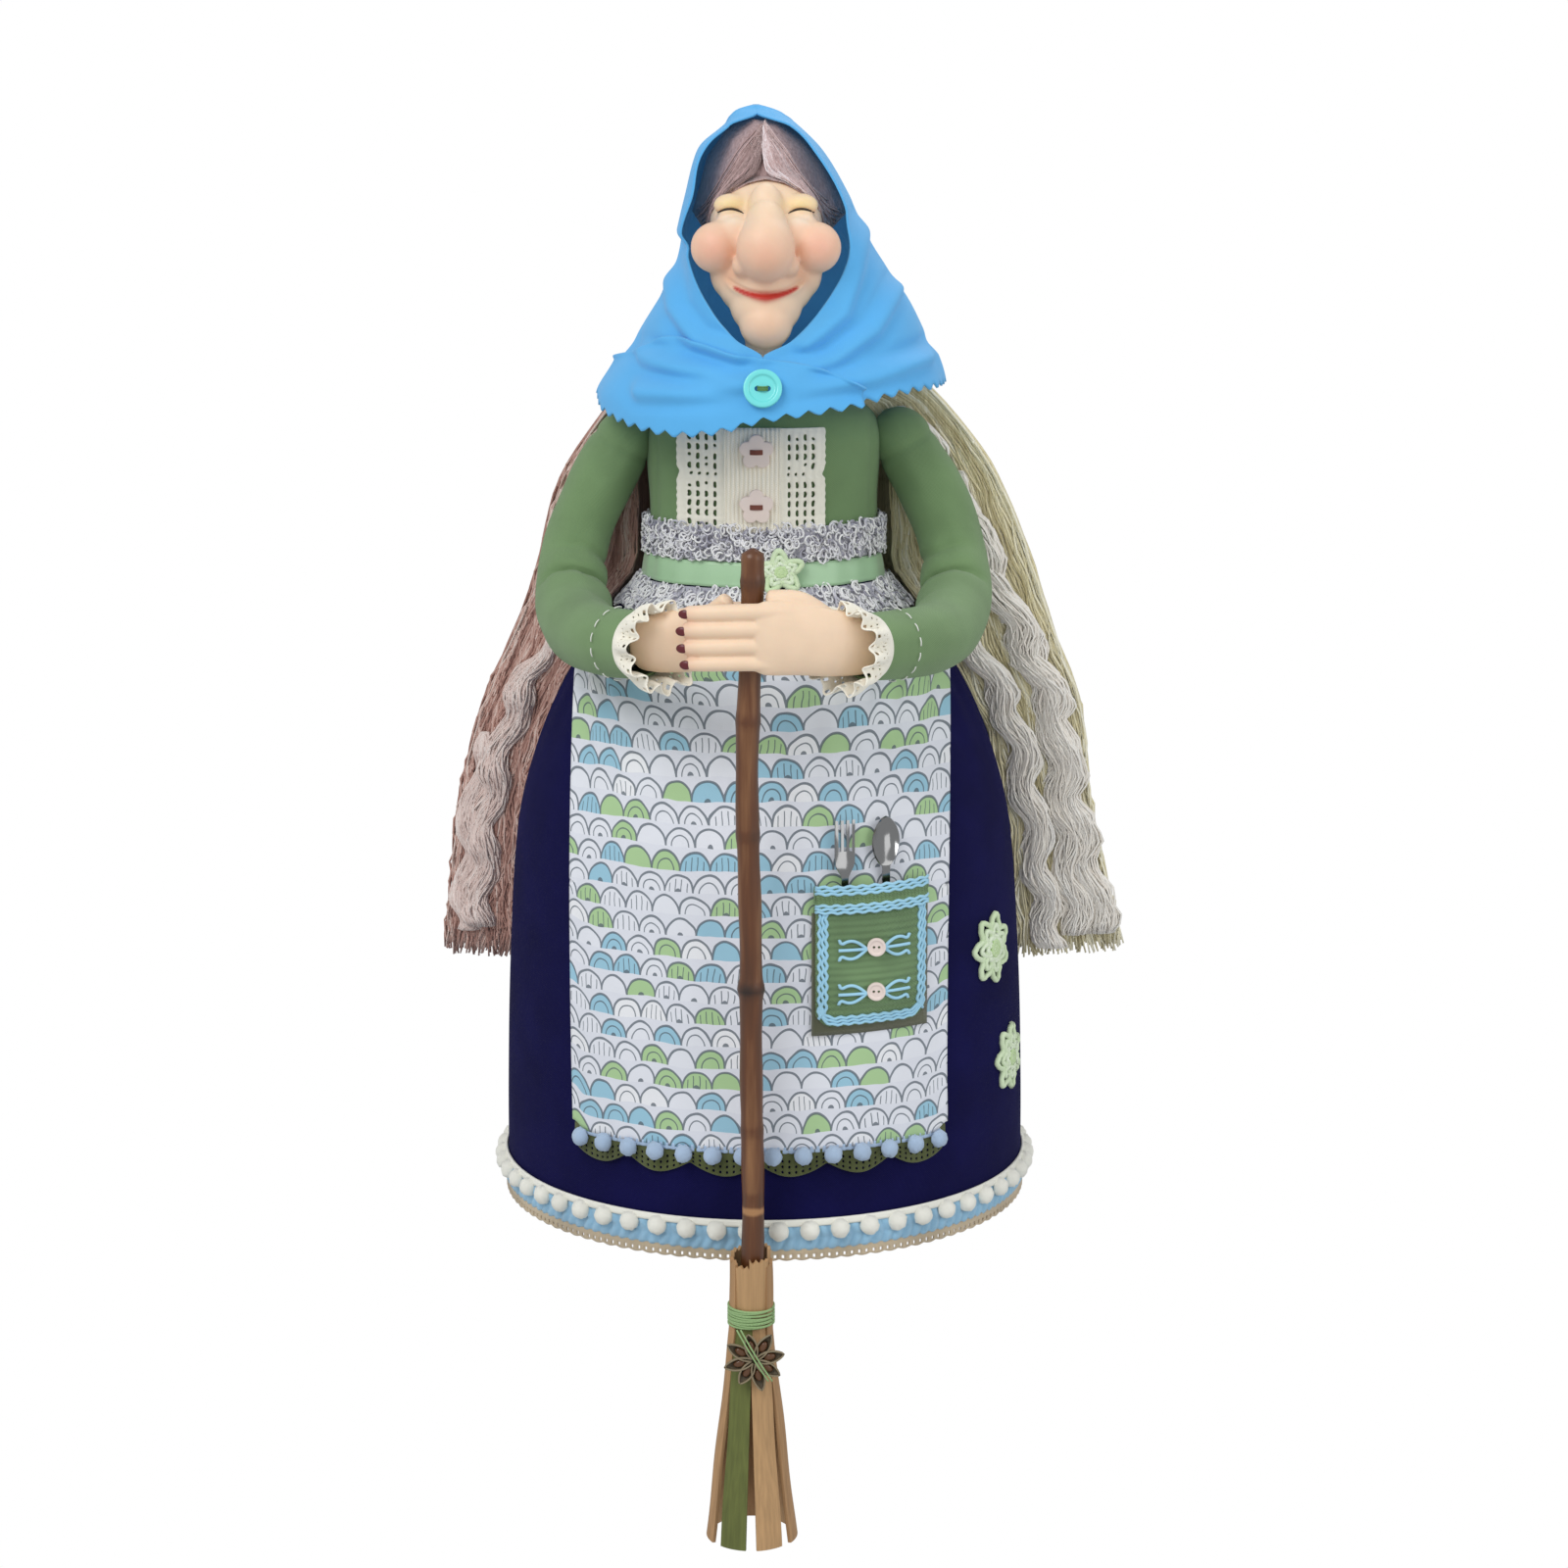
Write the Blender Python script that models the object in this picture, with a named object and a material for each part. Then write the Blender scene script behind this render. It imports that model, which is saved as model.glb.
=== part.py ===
"""Kitchen witch doll: a stuffed cloth figure with a clay head and hands, a broom and a hanging ring.

Metres, +Z up. Inside the empty called doll the hem is at height 0, the body's axis is x = y = 0
and the doll faces -Y. The empty is set so that the top of the hanging ring's hole is the origin.
"""

import math

import bmesh
import bpy
from mathutils import Matrix, Vector

for old_object in list(bpy.data.objects):
    bpy.data.objects.remove(old_object, do_unlink=True)

# Fits and cloths
GAP = 0.0003
WELD = 0.00002
SKIRT_CLOTH = 0.0012
BODICE_CLOTH = 0.0011
APRON_CLOTH = 0.0008
KERCHIEF_CLOTH = 0.0009
TRIM_CLOTH = 0.0010

# Heights above the hem
HEM_TRIM_TOP = 0.0140
BRAID_TOP = 0.0084
LACE_EDGE_TOP = 0.0030
WAIST = 0.2220
RIBBON_HEIGHT = 0.0080
RUFFLE_HEIGHT = 0.0140
LOWER_RUFFLE_HEIGHT = 0.0110
NECK_HEIGHT = 0.2860
KERCHIEF_SEAM_HEIGHT = 0.3005
CROWN_HEIGHT = 0.3815

# Body outline: height, half width, half depth of the dressed body
BODY_OUTLINE = (
    (0.000, 0.0925, 0.0905),
    (0.038, 0.0920, 0.0900),
    (0.085, 0.0905, 0.0880),
    (0.130, 0.0875, 0.0845),
    (0.152, 0.0830, 0.0785),
    (0.176, 0.0740, 0.0670),
    (0.199, 0.0600, 0.0520),
    (0.213, 0.0470, 0.0390),
    (0.222, 0.0405, 0.0320),
    (0.244, 0.0395, 0.0305),
    (0.262, 0.0405, 0.0315),
    (0.272, 0.0400, 0.0308),
    (0.280, 0.0340, 0.0250),
    (0.286, 0.0150, 0.0130),
)
LEVEL_PITCH = 0.0240
SHOULDER_PITCH = 0.0095
SHOULDER_LEVELS_FROM = 0.19

SKIRT_COLUMNS = 36
TORSO_COLUMNS = 24

# Apron and pocket
APRON_HALF_WIDTH = 0.0625
APRON_TOP_HALF_WIDTH = 0.044
APRON_HEM = 0.0400
APRON_SIDE_SHIFT = -0.0012
SCALLOP_DROP = 0.0120
SCALLOP_COUNT = 6
APRON_POMPOMS = 14
POMPOM_RADIUS = 0.0032
HEM_POMPOMS = 40
HEM_POMPOM_RADIUS = 0.0028
POCKET_LEFT = 0.0170
POCKET_RIGHT = 0.0525
POCKET_BOTTOM = 0.0810
POCKET_TOP = 0.1285
POCKET_DEPTH = 0.0030
POCKET_BRAID = 0.0085
FELT_EDGE = 0.0010
POCKET_BUTTON_RADIUS = 0.0030
POCKET_BUTTON_LOWEST = 0.0930
POCKET_BUTTON_PITCH = 0.0150
POCKET_BUTTON_HEIGHTS = {
    "upper": POCKET_BUTTON_LOWEST + POCKET_BUTTON_PITCH, "lower": POCKET_BUTTON_LOWEST
}
FELT = 0.0008
CUTLERY_PLATE = 0.0008
CUTLERY_LOW = 0.0900
FORK_X = 0.0272
SPOON_X = 0.0410
CUTLERY_LENGTH = 0.0600
TINE_FOOT = 0.0505

# Arms: each path runs from shoulder to cuff on the +X side
ARM_PATH = (
    (0.0483, 0.0000, 0.2668),
    (0.0570, -0.0010, 0.2520),
    (0.0645, -0.0050, 0.2340),
    (0.0665, -0.0200, 0.2160),
    (0.0615, -0.0480, 0.2090),
    (0.0520, -0.0740, 0.2090),
    (0.0430, -0.0865, 0.2100),
)
SLEEVE_RADII = (0.0088, 0.0112, 0.0108, 0.0120, 0.0122, 0.0120, 0.0120)
SLEEVE_CLOTH = 0.0010
CUFF_LENGTH = 0.0085
CUFF_FLARE = 0.0130
CUFF_NECK = 0.0078

# Broom
BROOM_X = -0.0040
BROOM_Y = -0.1040
STICK_TOP = 0.2440
STICK_BOTTOM = -0.0180
STICK_RADIUS = 0.0038
STRIP_COUNT = 7
STRIP_THICKNESS = 0.0016
STRIP_END = -0.0930
STRIP_TOPS = (0.0070, 0.0050, 0.0095, 0.0030, 0.0080, 0.0060, 0.0020)
BINDING_HEIGHT = -0.0140
BINDING_WIDTH = 0.0050
ANISE_HEIGHT = -0.0262
ANISE_RADIUS = 0.0092
ANISE_LOBES = 8

# Hair
HAIR_SIDE = math.radians(104)
HAIR_TURN = math.radians(128)
HAIR_PART = math.radians(150)
HAIR_BACK_THICKNESS = 0.0090
HAIR_TOP = 0.2900
HAIR_BOTTOM = 0.0790
HAIR_REACH_LEFT = (
    (0.079, 0.1160),
    (0.135, 0.1095),
    (0.173, 0.0990),
    (0.209, 0.0830),
    (0.253, 0.0700),
    (0.281, 0.0510),
    (0.290, 0.0430),
)
HAIR_REACH_RIGHT = (
    (0.079, 0.1300),
    (0.132, 0.1175),
    (0.170, 0.1125),
    (0.192, 0.1040),
    (0.230, 0.0910),
    (0.258, 0.0780),
    (0.281, 0.0600),
    (0.290, 0.0500),
)

# Head
HEAD_CENTRE = Vector((0.0010, -0.0140, 0.3370))
SKULL = Vector((0.0185, 0.0240, 0.0205))
NECK_RADIUS = 0.0075
LINING_CLEARANCE = 0.0012
WIG_SEAT = 0.0009
LINING_STEP = 0.0004
DOWEL_RADIUS = 0.0020
DOWEL_TOP = 0.3260
DOWEL_ABOVE_WAIST = 0.0130
DOWEL_BOTTOM = WAIST + DOWEL_ABOVE_WAIST

# Buttons
KERCHIEF_BUTTON_RADIUS = 0.0064
KERCHIEF_BUTTON_DROP = 0.0090
KERCHIEF_BUTTON_HEIGHT = KERCHIEF_SEAM_HEIGHT - KERCHIEF_BUTTON_DROP
BUTTON_THICKNESS = 0.0024
THREAD_HOLE_RADIUS = 0.0008
THREAD_HOLE_PITCH = 0.0030
FLOWER_BUTTON_RADIUS = 0.0056
FLOWER_BUTTON_RISE = 0.0065
FLOWER_BUTTON_PITCH = 0.0130
FLOWER_BUTTON_LOWEST = WAIST + RIBBON_HEIGHT + RUFFLE_HEIGHT + FLOWER_BUTTON_RISE
FLOWER_BUTTON_HEIGHTS = {
    "upper": FLOWER_BUTTON_LOWEST + FLOWER_BUTTON_PITCH, "lower": FLOWER_BUTTON_LOWEST
}

# Hanging ring
RING_HEIGHT = 0.3300
RING_RADIUS = 0.0090
RING_WIRE = 0.0009
TAB_WIDTH = 0.0032
TAB_CLOTH = 0.0006
TAB_REACH = 0.0060

# Colours, as linear values
SKY_BLUE = (0.115, 0.43, 0.83)
TURQUOISE = (0.16, 0.75, 0.75)
LEAF_GREEN = (0.14, 0.27, 0.115)
NAVY = (0.006, 0.006, 0.065)
CREAM = (0.87, 0.83, 0.68)
PALE_BLUE = (0.30, 0.58, 0.78)
PALE_GREEN = (0.60, 0.75, 0.45)
MINT = (0.38, 0.65, 0.38)
MELANGE = (0.58, 0.58, 0.62)
APRON_GREY = (0.70, 0.72, 0.80)
OLIVE = (0.10, 0.12, 0.03)
SKIN = (0.91, 0.64, 0.46)
MAUVE_HAIR = (0.31, 0.17, 0.14)
BEIGE_HAIR = (0.52, 0.46, 0.26)
CREAM_HAIR = (0.63, 0.56, 0.49)
BARK = (0.13, 0.035, 0.008)
STRIP_TAN = (0.40, 0.21, 0.09)
ANISE_BROWN = (0.09, 0.07, 0.045)
STEEL = (0.55, 0.55, 0.55)
PINKISH_WOOD = (0.80, 0.65, 0.60)
COTTON_WADDING = (0.75, 0.73, 0.68)
BRASS = (0.60, 0.42, 0.15)
CARDBOARD = (0.42, 0.30, 0.18)

doll = bpy.data.objects.new("doll", None)
bpy.context.collection.objects.link(doll)


def finish(item, colour, roughness=0.85, metallic=0.0, smooth=True):
    """Gives the piece its own material, smooth shading and its parent."""
    material = bpy.data.materials.new(item.name)
    material.use_nodes = True
    shader = material.node_tree.nodes["Principled BSDF"]
    shader.inputs["Base Color"].default_value = (*colour, 1.0)
    shader.inputs["Roughness"].default_value = roughness
    shader.inputs["Metallic"].default_value = metallic
    item.data.materials.clear()
    item.data.materials.append(material)
    if smooth:
        item.data.shade_smooth()
        item.data.set_sharp_from_angle(angle=math.radians(50))
    item.parent = doll
    return item


def object_from(name, bm, closed=True):
    """Welds the mesh, turns its faces outward and makes it an object."""
    bmesh.ops.remove_doubles(bm, verts=bm.verts[:], dist=WELD)
    bmesh.ops.dissolve_degenerate(bm, edges=bm.edges[:], dist=WELD)
    if closed:
        bmesh.ops.recalc_face_normals(bm, faces=bm.faces[:])
    mesh = bpy.data.meshes.new(name)
    bm.to_mesh(mesh)
    bm.free()
    item = bpy.data.objects.new(name, mesh)
    bpy.context.collection.objects.link(item)
    return item


def add_grid(bm, rows, around=False):
    """Adds points row by row with faces between them, and returns the rows of vertices."""
    placed = [[bm.verts.new(point) for point in row] for row in rows]
    for low, high in zip(placed, placed[1:]):
        last = len(low) if around else len(low) - 1
        for at in range(last):
            beside = (at + 1) % len(low)
            bm.faces.new((low[at], low[beside], high[beside], high[at]))
    return placed


def add_cap(bm, ring):
    """Closes a ring of vertices with a fan round its middle."""
    middle = bm.verts.new(sum((vertex.co for vertex in ring), Vector()) / len(ring))
    for at, vertex in enumerate(ring):
        bm.faces.new((vertex, ring[(at + 1) % len(ring)], middle))


def loft(name, rings):
    """A solid through closed rings of points, with both ends capped."""
    bm = bmesh.new()
    placed = add_grid(bm, rings, around=True)
    add_cap(bm, placed[0])
    add_cap(bm, placed[-1])
    return object_from(name, bm)


def sleeve_loft(name, outer, inner):
    """A tube with a wall: outer and inner rings joined at both open ends."""
    bm = bmesh.new()
    outside = add_grid(bm, outer, around=True)
    inside = add_grid(bm, inner, around=True)
    for out_ring, in_ring in ((outside[0], inside[0]), (outside[-1], inside[-1])):
        for at, vertex in enumerate(out_ring):
            beside = (at + 1) % len(out_ring)
            bm.faces.new((vertex, out_ring[beside], in_ring[beside], in_ring[at]))
    return object_from(name, bm)


def slab(name, front, back):
    """A patch of cloth: two grids of the same size, joined round their edges."""
    bm = bmesh.new()
    near = add_grid(bm, front)
    far = add_grid(bm, back)
    edges = (
        (near[0], far[0]),
        (near[-1], far[-1]),
        ([row[0] for row in near], [row[0] for row in far]),
        ([row[-1] for row in near], [row[-1] for row in far]),
    )
    for near_edge, far_edge in edges:
        for at in range(len(near_edge) - 1):
            bm.faces.new((near_edge[at], near_edge[at + 1], far_edge[at + 1], far_edge[at]))
    return object_from(name, bm)


def through(keys, at, column=1):
    """A smooth curve through (place, value, ...) keys, flat beyond its ends."""
    if at <= keys[0][0]:
        return keys[0][column]
    if at >= keys[-1][0]:
        return keys[-1][column]
    step = next(i for i in range(len(keys) - 1) if at <= keys[i + 1][0])
    (start, low), (end, high) = ((keys[i][0], keys[i][column]) for i in (step, step + 1))
    slopes = []
    for i in (step, step + 1):
        before, after = keys[max(i - 1, 0)], keys[min(i + 1, len(keys) - 1)]
        slopes.append((after[column] - before[column]) / (after[0] - before[0]))
    span = end - start
    t = (at - start) / span
    bow_in = slopes[0] * span - (high - low)
    bow_out = (high - low) - slopes[1] * span
    return low + t * (high - low) + t * (1 - t) * ((1 - t) * bow_in + t * bow_out)


def blend(t):
    """Smooth step from 0 to 1."""
    t = min(max(t, 0.0), 1.0)
    return t * t * (3 - 2 * t)


def body_levels():
    """Heights at which every layer on the body has a row, so that the layers stay nested."""
    levels = []
    height = 0.0
    while height < SHOULDER_LEVELS_FROM - WELD:
        levels.append(height)
        height += LEVEL_PITCH
    while height < NECK_HEIGHT:
        levels.append(height)
        height += SHOULDER_PITCH
    return levels + [NECK_HEIGHT]


LEVELS = body_levels()
WIDTHS = [through(BODY_OUTLINE, level, 1) for level in LEVELS]
DEPTHS = [through(BODY_OUTLINE, level, 2) for level in LEVELS]


def body_size(height):
    """Half width and half depth of the dressed body, straight between its levels."""
    if height <= LEVELS[0]:
        return WIDTHS[0], DEPTHS[0]
    for at in range(len(LEVELS) - 1):
        if height <= LEVELS[at + 1]:
            t = (height - LEVELS[at]) / (LEVELS[at + 1] - LEVELS[at])
            width = WIDTHS[at] + t * (WIDTHS[at + 1] - WIDTHS[at])
            depth = DEPTHS[at] + t * (DEPTHS[at + 1] - DEPTHS[at])
            return width, depth
    return WIDTHS[-1], DEPTHS[-1]


def rows_between(low, high):
    """The ends and every body level between them."""
    inner = [level for level in LEVELS if low + WELD * 10 < level < high - WELD * 10]
    return [low] + inner + [high]


def on_body(angle, height, out=0.0):
    """A point on the body, by its angle from the front towards +X, lifted out by a distance."""
    width, depth = body_size(height)
    return Vector(((width + out) * math.sin(angle), -(depth + out) * math.cos(angle), height))


def angle_at(x, height):
    """Angle from the front at which the body's surface has this x."""
    width, _ = body_size(height)
    return math.asin(max(-0.995, min(0.995, x / width)))


def turns(count):
    return [2 * math.pi * at / count for at in range(count)]


def body_ring(height, out, columns):
    return [on_body(angle, height, out) for angle in turns(columns)]


def frames_along(points):
    """Each point of a path with two directions square to it, carried along without twist."""
    tangents = []
    for at in range(len(points)):
        ahead = points[min(at + 1, len(points) - 1)]
        behind = points[max(at - 1, 0)]
        tangents.append((ahead - behind).normalized())
    side = tangents[0].orthogonal().normalized()
    frames = []
    for point, tangent in zip(points, tangents):
        side = (side - tangent * side.dot(tangent)).normalized()
        frames.append((point, side, tangent.cross(side)))
    return frames


def smooth_path(keys, count):
    """A smooth curve of count points through hand-picked points."""
    numbered = [(at, *key) for at, key in enumerate(keys)]
    last = len(keys) - 1
    places = [last * at / (count - 1) for at in range(count)]
    return [Vector([through(numbered, place, axis) for axis in (1, 2, 3)]) for place in places]


def tube_rings(points, radius_at, sides):
    rings = []
    for at, (point, side, across) in enumerate(frames_along(points)):
        radius = radius_at(at / (len(points) - 1))
        rings.append(
            [point + radius * (side * math.cos(a) + across * math.sin(a)) for a in turns(sides)]
        )
    return rings


def disc_on_body(name, x, height, reach_at, spokes, low, high, dome=0.0):
    """A flat ornament that follows the body: an outline by its reach at each angle."""
    width, _ = body_size(height)
    centre = angle_at(x, height)
    rings = []
    for share, out in ((1.0, low), (1.0, high), (0.5, high + dome)):
        ring = []
        for turn in turns(spokes):
            reach = reach_at(turn) * share
            angle = centre + reach * math.cos(turn) / width
            ring.append(on_body(angle, height + reach * math.sin(turn), out))
        rings.append(ring)
    return loft(name, rings)


def petals(radius, count, depth):
    """Outline of a flower with round petals."""
    return lambda turn: radius * (1 - depth + depth * abs(math.cos(count * turn / 2)))


def make_torso():
    """Stuffed cloth trunk and the cone of wadding that fills the skirt."""
    inside = -BODICE_CLOTH - GAP
    rows = rows_between(WAIST + GAP, NECK_HEIGHT)
    torso = loft("torso_stuffing", [body_ring(row, inside, 24) for row in rows])
    bore(torso, (0, 0, DOWEL_BOTTOM), NECK_HEIGHT + GAP)
    finish(torso, COTTON_WADDING, 0.95)

    floor = base_top() + GAP
    inside = -SKIRT_CLOTH - 2 * GAP
    rows = rows_between(floor, WAIST)
    form = loft("skirt_stuffing", [body_ring(row, inside, 24) for row in rows])
    finish(form, COTTON_WADDING, 0.95)

    outer = body_ring(0.0, -SKIRT_CLOTH - 2 * GAP, SKIRT_COLUMNS)
    disc = loft(
        "base_disc",
        [[Vector((p.x, p.y, h)) for p in outer] for h in (LACE_EDGE_TOP + GAP, base_top())],
    )
    finish(disc, CARDBOARD, 0.9)


def base_top():
    return LACE_EDGE_TOP + GAP + 0.0020


def bore(item, foot, top):
    """Cuts the dowel's hole, upward from a point on its axis."""
    bpy.ops.mesh.primitive_cylinder_add(
        vertices=12, radius=DOWEL_RADIUS + GAP, depth=top - foot[2],
        location=(foot[0], foot[1], (top + foot[2]) / 2),
    )
    cutter = bpy.context.object
    cutter.name = item.name + "_cutter"
    cut = item.modifiers.new("bore", "BOOLEAN")
    cut.object = cutter
    cut.operation = "DIFFERENCE"
    cutter.hide_render = True
    cutter.display_type = "WIRE"
    cutter.parent = doll


def make_clothes():
    """Blouse body, skirt and its three rows of hem trim."""
    rows = rows_between(WAIST + GAP, NECK_HEIGHT - GAP)
    bodice = sleeve_loft(
        "bodice",
        [body_ring(row, 0.0, TORSO_COLUMNS) for row in rows],
        [body_ring(row, -BODICE_CLOTH, TORSO_COLUMNS) for row in rows],
    )
    finish(bodice, LEAF_GREEN)

    rows = rows_between(LACE_EDGE_TOP + GAP, WAIST)
    skirt = sleeve_loft(
        "skirt",
        [body_ring(row, 0.0, SKIRT_COLUMNS) for row in rows],
        [body_ring(row, -SKIRT_CLOTH, SKIRT_COLUMNS) for row in rows],
    )
    finish(skirt, NAVY)

    pompoms = hem_band(
        "hem_pompom_braid", BRAID_TOP + GAP, HEM_TRIM_TOP, HEM_POMPOMS * 3,
        lambda turn, rise: GAP + TRIM_CLOTH
        + HEM_POMPOM_RADIUS * rise * pompom_swell(turn * HEM_POMPOMS / (2 * math.pi)),
    )
    finish(pompoms, CREAM)
    braid = hem_band(
        "hem_blue_braid", LACE_EDGE_TOP + GAP, BRAID_TOP, 48,
        lambda turn, rise: GAP + TRIM_CLOTH * (1 + 0.6 * rise),
    )
    finish(braid, PALE_BLUE)
    edge = hem_band(
        "hem_lace_edge", 0.0, LACE_EDGE_TOP, 48,
        lambda turn, rise: GAP + TRIM_CLOTH, inner=-SKIRT_CLOTH,
    )
    finish(edge, CREAM)


def pompom_swell(place):
    """0 between two pompoms and 1 on the middle of one."""
    return abs(math.sin(math.pi * place)) ** 0.7


def hem_band(name, low, high, columns, out_at, inner=GAP):
    """A ring of trim round the skirt's foot, swelling in the middle of its height."""
    heights = (low, (low + high) / 2, high)
    outer = []
    for rise, height in zip((0, 1, 0), heights):
        outer.append([on_body(turn, height, out_at(turn, rise)) for turn in turns(columns)])
    inside = [[on_body(turn, height, inner) for turn in turns(columns)] for height in heights]
    return sleeve_loft(name, outer, inside)


def make_waist():
    """Two curly ruffles, the satin ribbon between them and the lace flower on it."""
    ribbon_low = WAIST
    ribbon_high = WAIST + RIBBON_HEIGHT
    ruffles = {
        "waist_ruffle_upper": (ribbon_high + GAP, ribbon_high + GAP + RUFFLE_HEIGHT),
        "waist_ruffle_lower": (ribbon_low - GAP - LOWER_RUFFLE_HEIGHT, ribbon_low - GAP),
    }
    columns = 36
    for name, (low, high) in ruffles.items():
        rows = rows_between(low, high)
        if len(rows) < 3:
            rows = [low, (low + high) / 2, high]
        outer = []
        for at, row in enumerate(rows):
            swell = 0.0018 if at in (0, len(rows) - 1) else 0.0036
            outer.append(
                [on_body(turn, row, GAP + swell + 0.0008 * (-1) ** (col + at))
                 for col, turn in enumerate(turns(columns))]
            )
        inner = [body_ring(row, GAP, columns) for row in rows]
        finish(sleeve_loft(name, outer, inner), MELANGE)
    rows = rows_between(ribbon_low, ribbon_high)
    ribbon = sleeve_loft(
        "waist_ribbon",
        [body_ring(row, GAP + TRIM_CLOTH, 32) for row in rows],
        [body_ring(row, GAP, 32) for row in rows],
    )
    finish(ribbon, MINT, 0.35)
    flower = disc_on_body(
        "waist_flower", 0.0045, 0.2262, petals(0.0085, 6, 0.3), 24, 0.0052, 0.0062, 0.0008
    )
    finish(flower, PALE_GREEN)


def patch(name, low, high, half_angles, inner, outer, columns, shape=None):
    """A patch of cloth on the body between two heights; half_angles gives its sides at a height."""
    rows = rows_between(low, high)
    front, back = [], []
    for row in rows:
        start, end = half_angles(row)
        places = [start + (end - start) * at / columns for at in range(columns + 1)]
        lift = shape or (lambda place, height: 0.0)
        front.append(
            [on_body(a, row, outer + lift((a - start) / (end - start), row)) for a in places]
        )
        back.append(
            [on_body(a, row, inner + lift((a - start) / (end - start), row)) for a in places]
        )
    return slab(name, front, back)


def apron_sides(height):
    """Angles of the apron's two side edges at a height."""
    share = blend((height - 0.185) / 0.03)
    half = APRON_HALF_WIDTH + (APRON_TOP_HALF_WIDTH - APRON_HALF_WIDTH) * share
    return angle_at(-half + APRON_SIDE_SHIFT, height), angle_at(half + APRON_SIDE_SHIFT, height)


def make_apron():
    """Printed cotton apron, the scalloped lace behind its hem and the row of pompoms on it."""
    top = WAIST - 2 * GAP - LOWER_RUFFLE_HEIGHT
    apron = patch(
        "apron", APRON_HEM, top, apron_sides, 2 * GAP, 2 * GAP + APRON_CLOTH, 20
    )
    finish(apron, APRON_GREY)

    start, end = apron_sides(APRON_HEM)
    columns = SCALLOP_COUNT * 4
    front, back = [], []
    lace_top = APRON_HEM - GAP
    for share in (0.0, 0.5, 1.0):
        near_row, far_row = [], []
        for at in range(columns + 1):
            angle = start + (end - start) * at / columns
            bow = abs(math.sin(math.pi * SCALLOP_COUNT * at / columns))
            drop = SCALLOP_DROP * (0.62 + 0.38 * bow) * share
            near_row.append(on_body(angle, lace_top - drop, 2 * GAP + APRON_CLOTH))
            far_row.append(on_body(angle, lace_top - drop, 2 * GAP))
        front.append(near_row)
        back.append(far_row)
    finish(slab("apron_scallop_lace", front, back), OLIVE)

    columns = APRON_POMPOMS * 4
    tape = 3 * GAP + APRON_CLOTH
    front, back = [], []
    heights = (0.0015, -POMPOM_RADIUS * 0.7, -POMPOM_RADIUS * 2)
    for rise, height in zip((0.1, 1.0, 0.1), heights):
        near_row, far_row = [], []
        for at in range(columns + 1):
            angle = start + (end - start) * at / columns
            swell = pompom_swell(APRON_POMPOMS * at / columns)
            place = APRON_HEM + (height if height > 0 else height * (0.35 + 0.65 * swell))
            near_row.append(
                on_body(angle, place, tape + TRIM_CLOTH + 1.5 * POMPOM_RADIUS * rise * swell)
            )
            far_row.append(on_body(angle, place, tape))
        front.append(near_row)
        back.append(far_row)
    finish(slab("apron_pompom_trim", front, back), PALE_BLUE)


def make_pocket():
    """Felt backing, knitted pocket with its braid and two buttons, and a fork and a spoon in it."""
    felt_out = 3 * GAP + APRON_CLOTH

    def sides(height):
        return angle_at(POCKET_LEFT, height), angle_at(POCKET_RIGHT, height)

    def wide(height):
        left = angle_at(POCKET_LEFT - FELT_EDGE, height)
        return left, angle_at(POCKET_RIGHT + FELT_EDGE, height)

    backing = patch(
        "pocket_backing", POCKET_BOTTOM - 3 * FELT_EDGE, POCKET_TOP - 0.004, wide,
        felt_out, felt_out + FELT, 8,
    )
    finish(backing, OLIVE)

    def belly(place, height):
        """The pocket's hollow: none at its sides and foot, full in the middle and at its mouth."""
        across = math.sin(math.pi * min(max(place, 0.0), 1.0)) ** 0.5
        up = blend((height - POCKET_BOTTOM) / 0.012)
        return POCKET_DEPTH * across * up

    inner = felt_out + FELT + GAP
    pocket = patch(
        "pocket", POCKET_BOTTOM, POCKET_TOP - POCKET_BRAID, sides, inner, inner + TRIM_CLOTH, 10, belly
    )
    finish(pocket, LEAF_GREEN)
    braid = patch(
        "pocket_braid", POCKET_TOP - POCKET_BRAID + GAP, POCKET_TOP, sides,
        inner, inner + TRIM_CLOTH, 10, belly,
    )
    finish(braid, PALE_BLUE)
    for which, height in POCKET_BUTTON_HEIGHTS.items():
        low = inner + TRIM_CLOTH + POCKET_DEPTH + GAP
        button = disc_on_body(
            f"pocket_button_{which}", (POCKET_LEFT + POCKET_RIGHT) / 2, height,
            lambda turn: POCKET_BUTTON_RADIUS, 12, low, low + 0.0012, 0.0003,
        )
        finish(button, PINKISH_WOOD, 0.4)
    make_cutlery("fork", FORK_X, fork_outline(), inner)
    make_cutlery("spoon", SPOON_X, spoon_outline(), inner)


def fork_outline():
    """Half outlines from the handle's foot upward, then the tines as a comb."""
    handle, neck, head = 0.0012, 0.0008, 0.0033
    tine = head * 2 / 7
    length = CUTLERY_LENGTH
    right = [(handle, 0.0), (handle, 0.012), (neck, 0.040), (head, 0.047)]
    tines = []
    for at in range(4):
        outer = head - 2 * tine * at
        tines += [(outer, length), (outer - tine, length)]
        if at < 3:
            tines += [(outer - tine, TINE_FOOT), (outer - 2 * tine, TINE_FOOT)]
    left = [(-x, y) for x, y in reversed(right)]
    return right + tines + left


def spoon_outline():
    handle, neck = 0.0012, 0.0008
    bowl_x, bowl_z = 0.0047, 0.0075
    middle = CUTLERY_LENGTH - bowl_z
    right = [(handle, 0.0), (handle, 0.012), (neck, 0.042)]
    steps = 12
    arc = []
    for at in range(steps + 1):
        turn = -math.pi / 2 + 0.2 + (2 * math.pi - 0.4) * at / steps
        arc.append((bowl_x * math.cos(turn), middle + bowl_z * math.sin(turn)))
    return right + arc + [(-x, y) for x, y in reversed(right)]


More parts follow.
